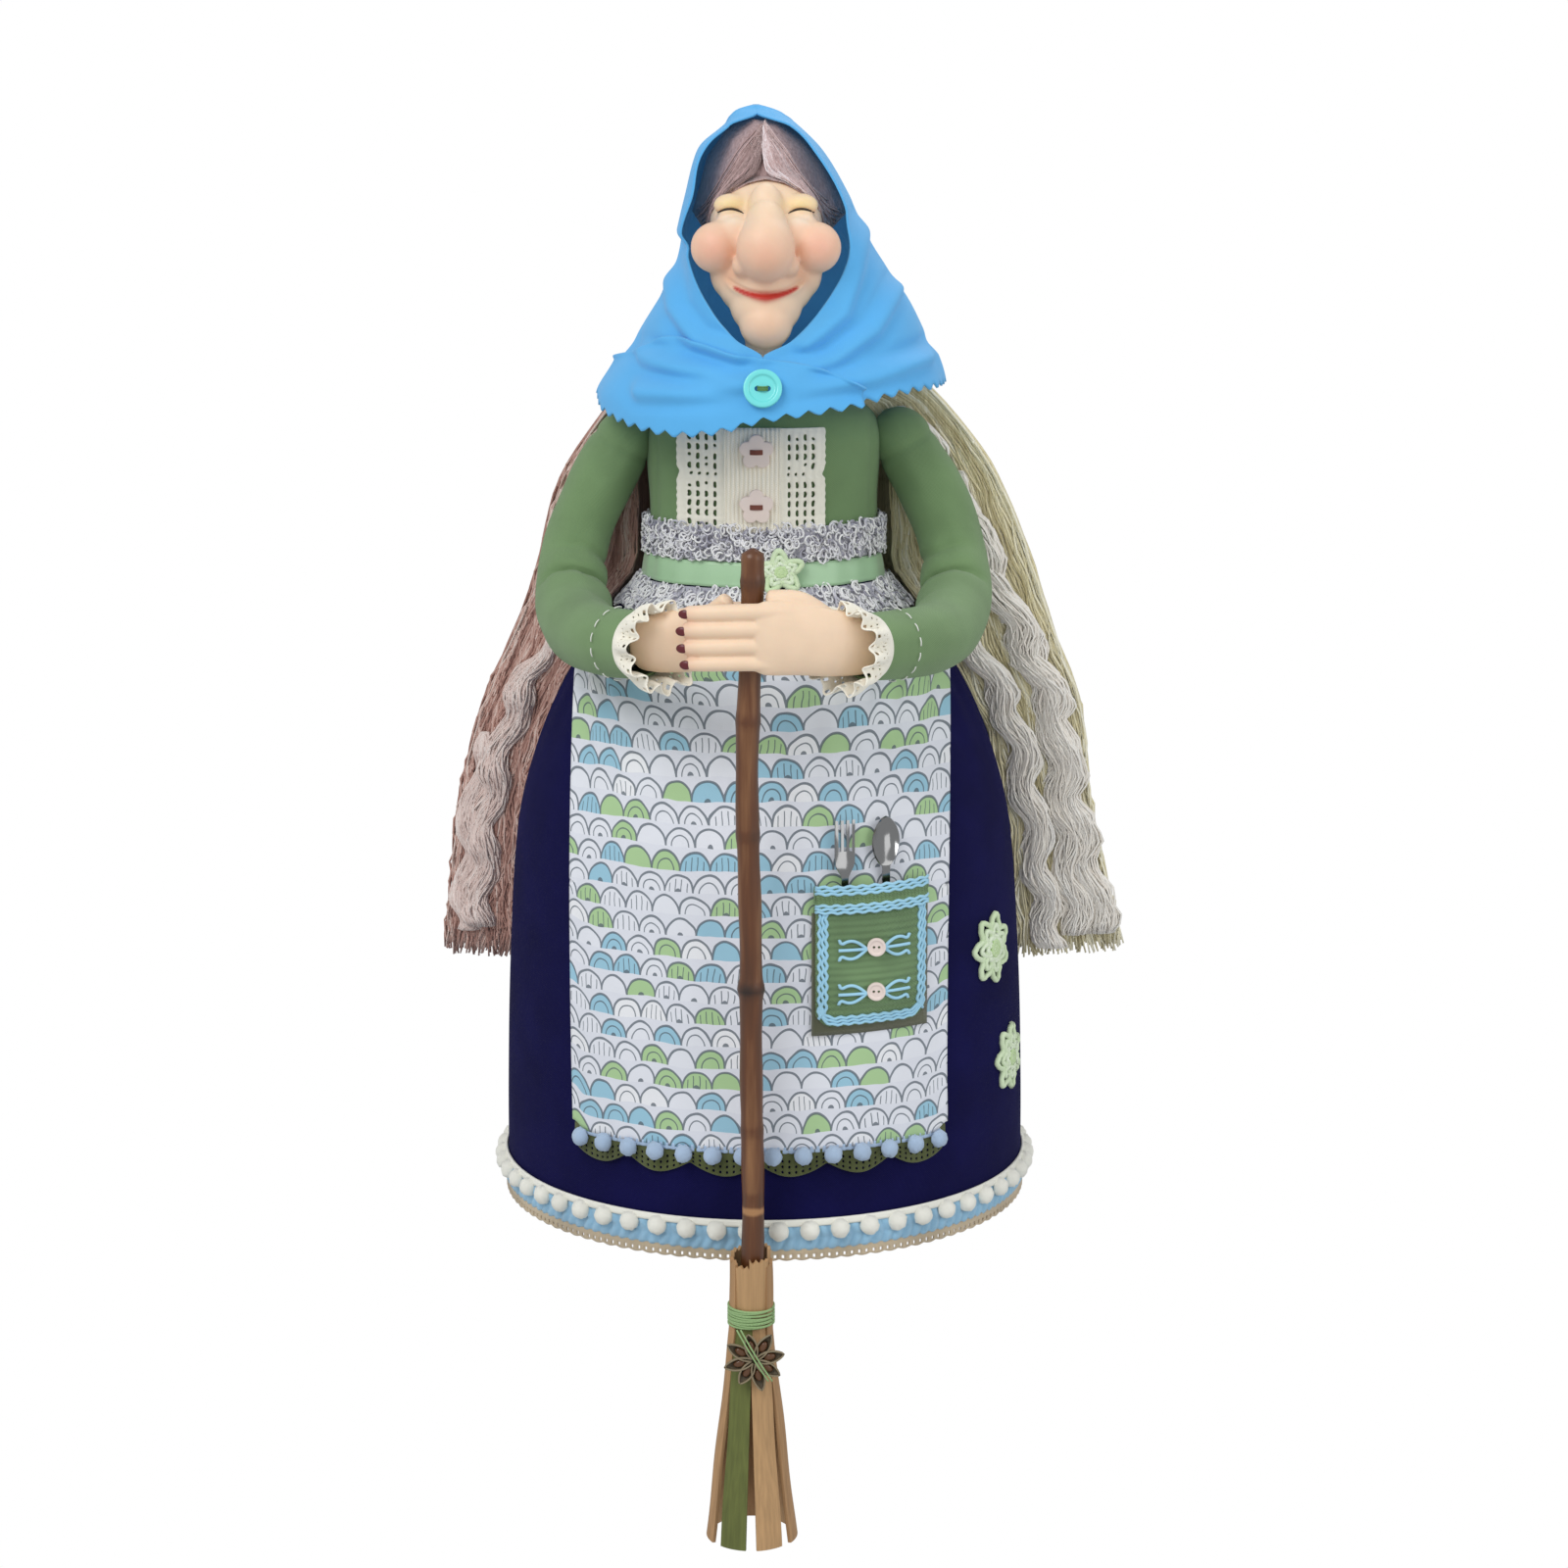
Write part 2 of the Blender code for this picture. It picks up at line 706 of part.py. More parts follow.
def make_cutlery(name, x, outline, inner):
    """A flat pressed piece that stands in the pocket against its backing."""
    angle = angle_at(x, CUTLERY_LOW)
    lean_top = POCKET_TOP - 0.004
    foot = on_body(angle, CUTLERY_LOW, inner + GAP)
    high = on_body(angle, lean_top, inner + GAP)
    up = (high - foot).normalized()
    out = Vector((math.sin(angle), -math.cos(angle), 0.0))
    out = (out - up * out.dot(up)).normalized()
    across = up.cross(out)
    bm = bmesh.new()
    verts = [bm.verts.new(foot + across * px + up * py) for px, py in outline]
    face = bm.faces.new(verts)
    grown = bmesh.ops.extrude_face_region(bm, geom=[face])
    lifted = [v for v in grown["geom"] if isinstance(v, bmesh.types.BMVert)]
    bmesh.ops.translate(bm, verts=lifted, vec=out * CUTLERY_PLATE)
    piece = object_from(name, bm)
    finish(piece, STEEL, 0.25, 1.0, smooth=False)


def make_front():
    """Ribbed placket, two lace panels and two flower buttons on the blouse."""
    top, foot = 0.2745, WAIST + RIBBON_HEIGHT + RUFFLE_HEIGHT + 3 * GAP
    columns = {"placket": (-0.0125, 0.0055, CREAM), "lace_panel_left": (-0.0285, -0.0130, CREAM),
               "lace_panel_right": (0.0060, 0.0200, CREAM)}
    for name, (left, right, colour) in columns.items():
        def ends(height, left=left, right=right):
            return angle_at(left, height), angle_at(right, height)

        piece = patch(name, foot, top, ends, GAP, GAP + TRIM_CLOTH, 6)
        finish(piece, colour)
    low = 3 * GAP + TRIM_CLOTH
    for which, height in FLOWER_BUTTON_HEIGHTS.items():
        button = disc_on_body(
            f"flower_button_{which}", -0.0022, height,
            petals(FLOWER_BUTTON_RADIUS, 5, 0.25), 20, low, low + 0.0018, 0.0003,
        )
        finish(button, PINKISH_WOOD, 0.5)


def mirrored(points, side):
    return [Vector((side * p.x, p.y, p.z)) for p in points]


def make_arms():
    """Padded arms in their sleeves, lace cuffs, and two clay hands, one over the other."""
    radii = [(at, radius) for at, radius in enumerate(SLEEVE_RADII)]
    last = len(SLEEVE_RADII) - 1
    path = smooth_path(ARM_PATH, 11)
    for side, name in ((1, "left"), (-1, "right")):
        points = mirrored(path, side)
        outer = tube_rings(points, lambda t: through(radii, t * last), 12)
        inner = tube_rings(points, lambda t: through(radii, t * last) - SLEEVE_CLOTH, 12)
        finish(sleeve_loft(f"sleeve_{name}", outer, inner), LEAF_GREEN)
        core = tube_rings(
            points, lambda t: through(radii, t * last) - SLEEVE_CLOTH - 1.5 * GAP, 10
        )
        finish(loft(f"arm_{name}", core), COTTON_WADDING)
        make_cuff(name, points)
        make_hand(name, side)


def make_cuff(name, points):
    """A gathered ring of lace that stands off the sleeve's end round the wrist."""
    ahead = (points[-1] - points[-2]).normalized()
    start = points[-1] + ahead * GAP * 2
    run = [start + ahead * CUFF_LENGTH * t for t in (0.0, 0.5, 1.0)]
    columns = 20

    def wavy(radius):
        rings = []
        for at, (point, side, across) in enumerate(frames_along(run)):
            ring = []
            for col, turn in enumerate(turns(columns)):
                reach = radius(at) + (0.0008 * (-1) ** col if at else 0.0)
                ring.append(point + reach * (side * math.cos(turn) + across * math.sin(turn)))
            rings.append(ring)
        return rings

    grow = (0.0, 0.7, 1.0)
    outer = wavy(lambda at: 0.0102 + (CUFF_FLARE - 0.0102) * grow[at])
    inner = wavy(lambda at: CUFF_NECK + (CUFF_FLARE - TRIM_CLOTH - CUFF_NECK) * grow[at])
    finish(sleeve_loft(f"cuff_lace_{name}", outer, inner), CREAM)


# Hands: each key is a place along the hand: x, y, z, half height, half thickness
FRONT_HAND = (
    (0.0408, -0.0901, 0.2112, 0.0050, 0.0048),
    (0.0330, -0.0985, 0.2118, 0.0062, 0.0050),
    (0.0230, -0.1075, 0.2140, 0.0112, 0.0048),
    (0.0100, -0.1114, 0.2160, 0.0122, 0.0040),
    (-0.0040, -0.1119, 0.2162, 0.0122, 0.0037),
    (-0.0170, -0.1110, 0.2158, 0.0116, 0.0032),
    (-0.0262, -0.1080, 0.2152, 0.0100, 0.0020),
)
REAR_HAND = (
    (-0.0408, -0.0901, 0.2112, 0.0050, 0.0048),
    (-0.0345, -0.0945, 0.2118, 0.0062, 0.0046),
    (-0.0230, -0.0970, 0.2135, 0.0108, 0.0034),
    (-0.0100, -0.0971, 0.2145, 0.0112, 0.0029),
    (0.0030, -0.0966, 0.2145, 0.0108, 0.0028),
    (0.0120, -0.0930, 0.2140, 0.0098, 0.0020),
)
FINGER_COUNT = 4


def make_hand(name, side):
    """A hand from wrist to fingertips, its fingers marked by grooves."""
    keys = FRONT_HAND if side > 0 else REAR_HAND
    count = 11
    columns = 20
    numbered = [(at, *key) for at, key in enumerate(keys)]
    last = len(keys) - 1
    rings = []
    for at in range(count):
        place = last * at / (count - 1)
        x, y, z, tall, thick = (through(numbered, place, axis) for axis in range(1, 6))
        fingers = blend((at / (count - 1) - 0.45) / 0.15)
        ring = []
        for turn in turns(columns):
            rise = math.cos(turn)
            lobe = abs(math.sin(math.pi * FINGER_COUNT * (rise + 1) / 2))
            depth = thick * math.sin(turn) * (1 - 0.35 * fingers * (1 - lobe))
            ring.append(Vector((x, y - depth, z + tall * rise)))
        rings.append(ring)
    finish(loft(f"hand_{name}", rings), SKIN, 0.55)


# Kerchief: height, half width left and right, face opening left and right, front or edge
# depth, back depth, middle of the section in x and y
KERCHIEF_LEVELS = (
    (0.2450, 0.0540, 0.0620, 0.0000, 0.0000, 0.0660, 0.0500, 0.0, 0.0000),
    (0.2830, 0.0560, 0.0630, 0.0000, 0.0000, 0.0615, 0.0480, 0.0, 0.0000),
    (0.2960, 0.0480, 0.0600, 0.0000, 0.0000, 0.0560, 0.0420, 0.0, 0.0000),
    (0.3005, 0.0445, 0.0560, 0.0000, 0.0000, 0.0530, 0.0395, 0.0, 0.0000),
    (0.3055, 0.0420, 0.0545, 0.0090, 0.0100, 0.0500, 0.0375, 0.0, 0.0000),
    (0.3170, 0.0355, 0.0490, 0.0185, 0.0210, 0.0430, 0.0340, 0.0, 0.0000),
    (0.3280, 0.0300, 0.0410, 0.0240, 0.0275, 0.0375, 0.0325, 0.0, 0.0000),
    (0.3390, 0.0276, 0.0345, 0.0260, 0.0295, 0.0350, 0.0300, 0.0, 0.0000),
    (0.3520, 0.0245, 0.0285, 0.0225, 0.0262, 0.0340, 0.0275, 0.0, 0.0000),
    (0.3660, 0.0205, 0.0200, 0.0190, 0.0178, 0.0290, 0.0235, 0.0, -0.0020),
    (0.3750, 0.0125, 0.0120, 0.0110, 0.0100, 0.0210, 0.0180, -0.0010, -0.0050),
    (0.3785, 0.0080, 0.0080, 0.0000, 0.0000, 0.0150, 0.0130, -0.0020, -0.0070),
    (0.3800, 0.0050, 0.0050, 0.0000, 0.0000, 0.0095, 0.0085, -0.0025, -0.0075),
)
KERCHIEF_ROWS = (
    0.3800, 0.3785, 0.3750, 0.3660, 0.3520, 0.3390, 0.3280, 0.3170, 0.3055, KERCHIEF_SEAM_HEIGHT
)
KERCHIEF_BACK_POINT = 0.2500
KERCHIEF_FRONT_EDGE = 0.2800
KERCHIEF_SIDE_EDGE = 0.2850
PINK_DEPTH = 0.0013
KERCHIEF_COLUMNS = 38


def kerchief_level(height):
    """The kerchief's section at a height, straight between its rows as its faces are."""
    columns = range(1, 9)
    for high, low in zip(KERCHIEF_ROWS, KERCHIEF_ROWS[1:]):
        if low <= height <= high:
            t = (height - low) / (high - low)
            return [
                t * through(KERCHIEF_LEVELS, high, at) + (1 - t) * through(KERCHIEF_LEVELS, low, at)
                for at in columns
            ]
    return [through(KERCHIEF_LEVELS, height, at) for at in columns]


def kerchief_point(share, height):
    """A point on the kerchief: share runs from its left front edge round the back to its right."""
    left, right, gap_left, gap_right, front, back, mid_x, mid_y = kerchief_level(height)
    on_left = share < 0.5
    half = left if on_left else right
    opening = max(gap_left if on_left else gap_right, 0.0)
    start = math.asin(min(opening / half, 0.97))
    along = share * 2 if on_left else (1 - share) * 2
    angle = start + (math.pi - start) * along
    reach = (front - abs(mid_y)) / math.cos(start) if angle < math.pi / 2 else back
    x = half * math.sin(angle) * (-1 if on_left else 1)
    return Vector((mid_x + x, mid_y - reach * math.cos(angle), height)), angle


def kerchief_edge(share):
    """Height of the kerchief's cut edge."""
    turned = math.pi * (1 - abs(1 - 2 * share))
    side = KERCHIEF_FRONT_EDGE + (KERCHIEF_SIDE_EDGE - KERCHIEF_FRONT_EDGE) * blend(turned)
    droop = blend((turned - math.radians(118)) / math.radians(62))
    return side + (KERCHIEF_BACK_POINT - side) * droop


def make_kerchief():
    """Cotton square folded to a triangle, wrapped round head and neck, with a pinked edge."""
    shares = [at / KERCHIEF_COLUMNS for at in range(KERCHIEF_COLUMNS + 1)]
    rows = [[Vector((-0.0025, -0.0075, CROWN_HEIGHT))] * len(shares)]
    for height in KERCHIEF_ROWS:
        rows.append([kerchief_point(share, height)[0] for share in shares])
    for part in (0.45, 1.0):
        row = []
        for at, share in enumerate(shares):
            edge = kerchief_edge(share)
            height = KERCHIEF_SEAM_HEIGHT + (edge - KERCHIEF_SEAM_HEIGHT) * part
            if part == 1.0:
                height += PINK_DEPTH * (-1) ** at
            row.append(kerchief_point(share, height)[0])
        rows.append(row)
    bm = bmesh.new()
    add_grid(bm, rows)
    kerchief = object_from("kerchief", bm, closed=False)
    wall = kerchief.modifiers.new("cloth", "SOLIDIFY")
    wall.thickness = KERCHIEF_CLOTH
    wall.offset = 0.0
    finish(kerchief, SKY_BLUE)


def make_kerchief_button():
    """Two-hole button that pins the kerchief's ends together."""
    low, high = KERCHIEF_BUTTON_HEIGHT - 0.003, KERCHIEF_BUTTON_HEIGHT + 0.003
    below, above = kerchief_point(0.0, low)[0], kerchief_point(0.0, high)[0]
    up = (above - below).normalized()
    out = Vector((1, 0, 0)).cross(up).normalized()
    if out.y > 0:
        out = -out
    middle = kerchief_point(0.0, KERCHIEF_BUTTON_HEIGHT)[0]
    stand = KERCHIEF_CLOTH / 2 + 3 * GAP
    centre = middle + out * (stand + BUTTON_THICKNESS / 2)
    turn = out.to_track_quat("Z", "X").to_matrix().to_4x4()
    placed = Matrix.Translation(centre) @ turn
    bm = bmesh.new()
    bmesh.ops.create_cone(
        bm, cap_ends=True, segments=24, radius1=KERCHIEF_BUTTON_RADIUS,
        radius2=KERCHIEF_BUTTON_RADIUS, depth=BUTTON_THICKNESS,
    )
    button = object_from("kerchief_button", bm)
    button.matrix_local = placed
    for place in (-1, 1):
        bm = bmesh.new()
        bmesh.ops.create_cone(
            bm, cap_ends=True, segments=10, radius1=THREAD_HOLE_RADIUS,
            radius2=THREAD_HOLE_RADIUS, depth=3 * BUTTON_THICKNESS,
        )
        cutter = object_from(f"thread_hole_{place}", bm)
        cutter.parent = button
        cutter.location = (place * THREAD_HOLE_PITCH / 2, 0, 0)
        cutter.hide_render = True
        cutter.display_type = "WIRE"
        cut = button.modifiers.new("hole", "BOOLEAN")
        cut.object = cutter
        cut.operation = "DIFFERENCE"
    finish(button, TURQUOISE, 0.3)


# Lumps of the clay face: middle, from the head's middle, and half sizes
FACE_LUMPS = (
    ((0.0, -0.0140, 0.0060), (0.0165, 0.0135, 0.0143)),
    ((0.0, -0.0375, -0.0008), (0.0095, 0.0115, 0.0115)),
    ((0.0, -0.0290, 0.0100), (0.0060, 0.0085, 0.0090)),
    ((-0.0160, -0.0265, -0.0015), (0.0088, 0.0095, 0.0090)),
    ((0.0160, -0.0265, -0.0015), (0.0088, 0.0095, 0.0090)),
    ((0.0, -0.0240, -0.0150), (0.0130, 0.0135, 0.0125)),
    ((0.0, -0.0310, -0.0262), (0.0082, 0.0085, 0.0082)),
    ((0.0, -0.0150, -0.0210), (0.0095, 0.0140, 0.0095)),
)


def lump(name, middle, sizes, sides, steps):
    """An egg-shaped ball of clay."""
    bm = bmesh.new()
    bmesh.ops.create_uvsphere(bm, u_segments=sides, v_segments=steps, radius=1.0)
    bmesh.ops.scale(bm, verts=bm.verts[:], vec=sizes)
    bmesh.ops.translate(bm, verts=bm.verts[:], vec=middle)
    return object_from(name, bm)


def merge_into(item, other):
    """Joins another closed form to the piece, and keeps the form as a hidden guide."""
    join = item.modifiers.new(other.name, "BOOLEAN")
    join.object = other
    join.operation = "UNION"
    other.hide_render = True
    other.display_type = "WIRE"
    other.parent = doll


def make_head():
    """Clay head with its neck in one, on a dowel, under a wig of wool."""
    head = lump("head", HEAD_CENTRE, SKULL, 18, 12)
    for at, (offset, sizes) in enumerate(FACE_LUMPS):
        merge_into(head, lump(f"face_form_{at}", HEAD_CENTRE + Vector(offset), sizes, 12, 8))
    bpy.ops.mesh.primitive_cylinder_add(
        vertices=16, radius=NECK_RADIUS, depth=HEAD_CENTRE.z - NECK_HEIGHT - GAP,
        location=(0, 0, (HEAD_CENTRE.z + NECK_HEIGHT + GAP) / 2),
    )
    neck = bpy.context.object
    neck.name = "neck_form"
    merge_into(head, neck)
    bore(head, (0, 0, NECK_HEIGHT - GAP), DOWEL_TOP)
    finish(head, SKIN, 0.55)

    bpy.ops.mesh.primitive_cylinder_add(
        vertices=12, radius=DOWEL_RADIUS, depth=DOWEL_TOP - DOWEL_BOTTOM - 2 * GAP,
        location=(0, 0, (DOWEL_TOP + DOWEL_BOTTOM) / 2),
    )
    dowel = bpy.context.object
    dowel.name = "neck_dowel"
    finish(dowel, STRIP_TAN, 0.7)
    make_wig()


def head_direction(azimuth, elevation):
    flat = math.cos(elevation)
    return Vector((flat * math.sin(azimuth), -flat * math.cos(azimuth), math.sin(elevation)))


def egg_reach(direction, middle, sizes):
    """Distance from the head's middle to the far side of an egg-shaped lump, or 0 past it."""
    square = sum((direction[axis] / sizes[axis]) ** 2 for axis in range(3))
    along = sum(direction[axis] * middle[axis] / sizes[axis] ** 2 for axis in range(3))
    away = sum((middle[axis] / sizes[axis]) ** 2 for axis in range(3))
    under = along * along - square * (away - 1)
    return (along + math.sqrt(under)) / square if under > 0 else 0.0


def head_reach(direction):
    """Distance from the head's middle to the clay's surface in a direction."""
    lumps = [egg_reach(direction, middle, sizes) for middle, sizes in FACE_LUMPS]
    return max(lumps + [egg_reach(direction, Vector(), SKULL)])


def lining_reach(direction):
    """Distance from the head's middle to the kerchief's inner side in a direction."""
    reach = min(SKULL)
    while True:
        point = HEAD_CENTRE + direction * (reach + LINING_CLEARANCE)
        if point.z > KERCHIEF_ROWS[1] or not inside_kerchief(point):
            return reach
        reach += LINING_STEP


def inside_kerchief(point):
    left, right, _, _, front, back, mid_x, mid_y = kerchief_level(point.z)
    across = (point.x - mid_x) / (left if point.x < mid_x else right)
    along = (point.y - mid_y) / (front - abs(mid_y) if point.y < mid_y else back)
    return across * across + along * along < 1


def make_wig():
    """Wool glued over the skull: it fills the kerchief, with a tuft above the forehead."""
    columns, rows = 22, 6
    outer, inner = [], []
    for at in range(rows):
        out_ring, in_ring = [], []
        for azimuth in turns(columns):
            turned = min(azimuth, 2 * math.pi - azimuth)
            low = math.radians(46) * (1 - blend(turned / math.radians(95)))
            elevation = low + (math.radians(84) - low) * at / (rows - 1)
            direction = head_direction(azimuth, elevation)
            reach = head_reach(direction)
            tuft = 0.0125 * math.exp(-(((elevation - 1.10) / 0.45) ** 2))
            side = 0.0040 + 0.0200 * blend((turned - 1.2) / 0.6) + 0.0200 * blend(elevation - 0.5)
            wool = max(tuft, side) if at else 0.0022
            limit = lining_reach(direction) - reach
            out_ring.append(HEAD_CENTRE + direction * (reach + max(min(wool, limit), 0.0020)))
            in_ring.append(HEAD_CENTRE + direction * (reach + WIG_SEAT))
        outer.append(out_ring)
        inner.append(in_ring)
    bm = bmesh.new()
    outside = add_grid(bm, outer, around=True)
    inside = add_grid(bm, inner, around=True)
    for at, vertex in enumerate(outside[0]):
        beside = (at + 1) % columns
        bm.faces.new((vertex, outside[0][beside], inside[0][beside], inside[0][at]))
    add_cap(bm, outside[-1])
    add_cap(bm, inside[-1])
    finish(object_from("hair_front", bm), CREAM_HAIR)


def hair_clearance(height):
    """Distance from the body at which the hair starts, wider past the waist's ruffles."""
    past_ruffles = blend((height - WAIST + 0.036) / 0.02) * blend((WAIST + 0.046 - height) / 0.02)
    return 0.0013 + 0.0055 * past_ruffles


def hair_point(angle, height, depth_share):
    """A point in the hair: depth_share is 0 next to the body and 1 on the hair's outer face."""
    inner = hair_clearance(height)
    keys = HAIR_REACH_LEFT if angle < 0 else HAIR_REACH_RIGHT
    width, _ = body_size(height)
    side = through(keys, height) / math.sin(HAIR_SIDE) - width - inner
    turned = blend((abs(angle) - HAIR_SIDE) / (HAIR_TURN - HAIR_SIDE))
    thick = side + (HAIR_BACK_THICKNESS - side) * turned
    fold = 0.0009 * math.cos(abs(angle) * 42)
    return on_body(angle, height, inner + depth_share * (thick + fold))


def make_hair():
    """Long wool down both sides and the back, with crimped locks over it."""
    parts = {
        "hair_left": (-HAIR_PART + 0.004, -HAIR_SIDE, 6, MAUVE_HAIR),
        "hair_back": (-2 * math.pi + HAIR_PART, -HAIR_PART, 6, CREAM_HAIR),
        "hair_right": (HAIR_SIDE, HAIR_PART - 0.004, 6, BEIGE_HAIR),
    }
    rows = rows_between(HAIR_BOTTOM, HAIR_TOP)
    for name, (start, end, columns, colour) in parts.items():
        front, back = [], []
        for row in rows:
            angles = [start + (end - start) * at / columns for at in range(columns + 1)]
            angles = [a + 2 * math.pi if a < -math.pi else a for a in angles]
            front.append([hair_point(a, row, 1.0) for a in angles])
            back.append([hair_point(a, row, 0.0) for a in angles])
        finish(slab(name, front, back), colour)
    locks = {
        "lock_right_long": (1, 0.66, 0.2480, 0.0850, 0.0046, 0.0032, CREAM_HAIR),
        "lock_left": (-1, 0.55, 0.1900, 0.0880, 0.0042, 0.0024, CREAM_HAIR),
    }
    for name, (side, place, top, foot, radius, wave, colour) in locks.items():
        count = 19
        points = []
        for at in range(count):
            height = top + (foot - top) * at / (count - 1)
            share = place + 0.25 * at / (count - 1)
            point = hair_point(side * HAIR_SIDE, height, share)
            sway = wave * math.sin(2 * math.pi * (top - height) / 0.052)
            points.append(point + Vector((side * sway, -radius - 0.0008, 0.0)))
        rings = tube_rings(points, lambda t: radius * (1 - 0.35 * t), 8)
        finish(loft(name, rings), colour)


def make_skirt_flowers():
    """Two crocheted flowers sewn to the skirt's left side."""
    for which, x, height in (("upper", 0.0780, 0.0965), ("lower", 0.0850, 0.0545)):
        flower = disc_on_body(
            f"skirt_flower_{which}", x, height, petals(0.0118, 7, 0.32), 28,
            2 * GAP, 2 * GAP + TRIM_CLOTH, 0.0006,
        )
        finish(flower, PALE_GREEN)


def stick_middle(height):
    """The stick's axis: a cut branch, a little crooked."""
    bend = 0.0007 * math.sin(height * 31) + 0.0004 * math.sin(height * 57 + 1)
    return Vector((BROOM_X + bend, BROOM_Y, height))


def make_broom():
    """A branch for the handle, split strips bound to its foot and a dried star anise."""
    count = 17
    points = [
        stick_middle(STICK_TOP + (STICK_BOTTOM - STICK_TOP) * at / (count - 1))
        for at in range(count)
    ]
    rings = tube_rings(points, lambda t: STICK_RADIUS * (0.72 if t == 0 else 1.0), 12)
    finish(loft("broom_stick", rings), BARK, 0.6)

    seat = STICK_RADIUS + 0.0016
    for at in range(STRIP_COUNT):
        turn = 2 * math.pi * (at + 0.5) / STRIP_COUNT
        rings = []
        for share in (0.0, 0.15, 0.3, 0.5, 0.75, 1.0):
            height = STRIP_TOPS[at] + (STRIP_END - STRIP_TOPS[at]) * share
            flare = max(BINDING_HEIGHT - BINDING_WIDTH - height, 0.0)
            near = seat + 0.11 * flare
            half = 0.0027 + 0.02 * flare
            spread = math.asin(half / (near + STRIP_THICKNESS))
            ring = []
            for reach, angle in (
                (near, -spread), (near, spread),
                (near + STRIP_THICKNESS, spread), (near + STRIP_THICKNESS, -spread),
            ):
                swing = turn + angle
                offset = Vector((reach * math.sin(swing), -reach * math.cos(swing), 0.0))
                ring.append(Vector((BROOM_X, BROOM_Y, height)) + offset)
            rings.append(ring)
        colour = OLIVE if at == STRIP_COUNT - 1 else STRIP_TAN
        finish(loft(f"broom_strip_{at + 1}", rings), colour, 0.8, smooth=False)

    wrap = seat + STRIP_THICKNESS + GAP
    high, low = BINDING_HEIGHT + BINDING_WIDTH / 2, BINDING_HEIGHT - BINDING_WIDTH / 2
    middle = Vector((BROOM_X, BROOM_Y, 0.0))

    def hoop(radius, height):
        return [
            middle + Vector((radius * math.sin(t), -radius * math.cos(t), height))
            for t in turns(20)
        ]

    outer = [hoop(wrap + TRIM_CLOTH, h) for h in (low, BINDING_HEIGHT, high)]
    inner = [hoop(wrap, h) for h in (low, BINDING_HEIGHT, high)]
    finish(sleeve_loft("broom_binding", outer, inner), LEAF_GREEN)

    reach_at = petals(ANISE_RADIUS, ANISE_LOBES, 0.42)
    face_y = BROOM_Y - wrap - TRIM_CLOTH - 2 * GAP
    rings = []
    for share, depth in ((0.85, 0.0), (1.0, 0.0018), (0.55, 0.0040), (0.2, 0.0028)):
        ring = []
        for turn in turns(32):
            reach = reach_at(turn) * share
            ring.append(
                Vector((BROOM_X + 0.0012 + reach * math.cos(turn), face_y - depth,
                        ANISE_HEIGHT + reach * math.sin(turn)))
            )
        rings.append(ring)
    finish(loft("star_anise", rings), ANISE_BROWN, 0.6)


def make_hanger():
    """A small ring on a cloth tab, sewn to the kerchief behind the head."""
    low = RING_HEIGHT - RING_RADIUS
    stand = KERCHIEF_CLOTH / 2 + GAP + TAB_CLOTH / 2
    sewn = kerchief_point(0.5, low - TAB_REACH)[0].y + stand
    wire_y = sewn + TAB_CLOTH / 2 + GAP + RING_WIRE
    bpy.ops.mesh.primitive_torus_add(
        major_segments=24, minor_segments=8, major_radius=RING_RADIUS, minor_radius=RING_WIRE,
        location=(0, wire_y, RING_HEIGHT), rotation=(math.pi / 2, 0, 0),
    )
    ring = bpy.context.object
    ring.name = "hanging_ring"
    finish(ring, BRASS, 0.3, 1.0)

    reach = RING_WIRE + GAP + TAB_CLOTH / 2
    path = [(sewn, low - TAB_REACH)]
    for at in range(7):
        turn = math.pi - math.pi * at / 6
        path.append((wire_y + reach * math.cos(turn), low + reach * math.sin(turn)))
    path.append((sewn + TAB_CLOTH + GAP, low - TAB_REACH))
    bm = bmesh.new()
    row = []
    for y, z in path:
        row.append([Vector((-TAB_WIDTH / 2, y, z)), Vector((TAB_WIDTH / 2, y, z))])
    add_grid(bm, row)
    tab = object_from("ring_tab", bm, closed=False)
    wall = tab.modifiers.new("cloth", "SOLIDIFY")
    wall.thickness = TAB_CLOTH
    wall.offset = 0.0
    finish(tab, SKY_BLUE)
    doll.location = (0.0, -wire_y, -(RING_HEIGHT + RING_RADIUS - RING_WIRE))


make_torso()
make_clothes()
make_waist()
make_apron()
make_pocket()
make_front()
make_arms()
make_head()
make_kerchief()
make_kerchief_button()
make_hair()
make_skirt_flowers()
make_broom()
make_hanger()
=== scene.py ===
import math
import random

import bpy
import numpy as np
from mathutils import Euler, Matrix, Vector, noise


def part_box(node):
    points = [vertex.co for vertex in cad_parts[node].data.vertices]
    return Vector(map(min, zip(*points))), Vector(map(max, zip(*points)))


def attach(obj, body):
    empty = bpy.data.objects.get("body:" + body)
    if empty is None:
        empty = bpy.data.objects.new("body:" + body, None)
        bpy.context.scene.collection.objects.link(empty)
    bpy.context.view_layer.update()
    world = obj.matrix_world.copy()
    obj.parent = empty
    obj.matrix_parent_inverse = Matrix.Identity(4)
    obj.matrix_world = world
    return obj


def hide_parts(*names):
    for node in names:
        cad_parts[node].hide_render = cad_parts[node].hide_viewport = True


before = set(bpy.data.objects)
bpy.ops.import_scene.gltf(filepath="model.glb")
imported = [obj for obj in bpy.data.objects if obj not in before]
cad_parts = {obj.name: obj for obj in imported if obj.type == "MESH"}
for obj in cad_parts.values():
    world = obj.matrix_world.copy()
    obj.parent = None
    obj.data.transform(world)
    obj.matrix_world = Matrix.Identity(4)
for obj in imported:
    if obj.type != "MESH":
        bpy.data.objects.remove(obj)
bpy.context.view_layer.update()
bpy.ops.object.select_all(action="DESELECT")

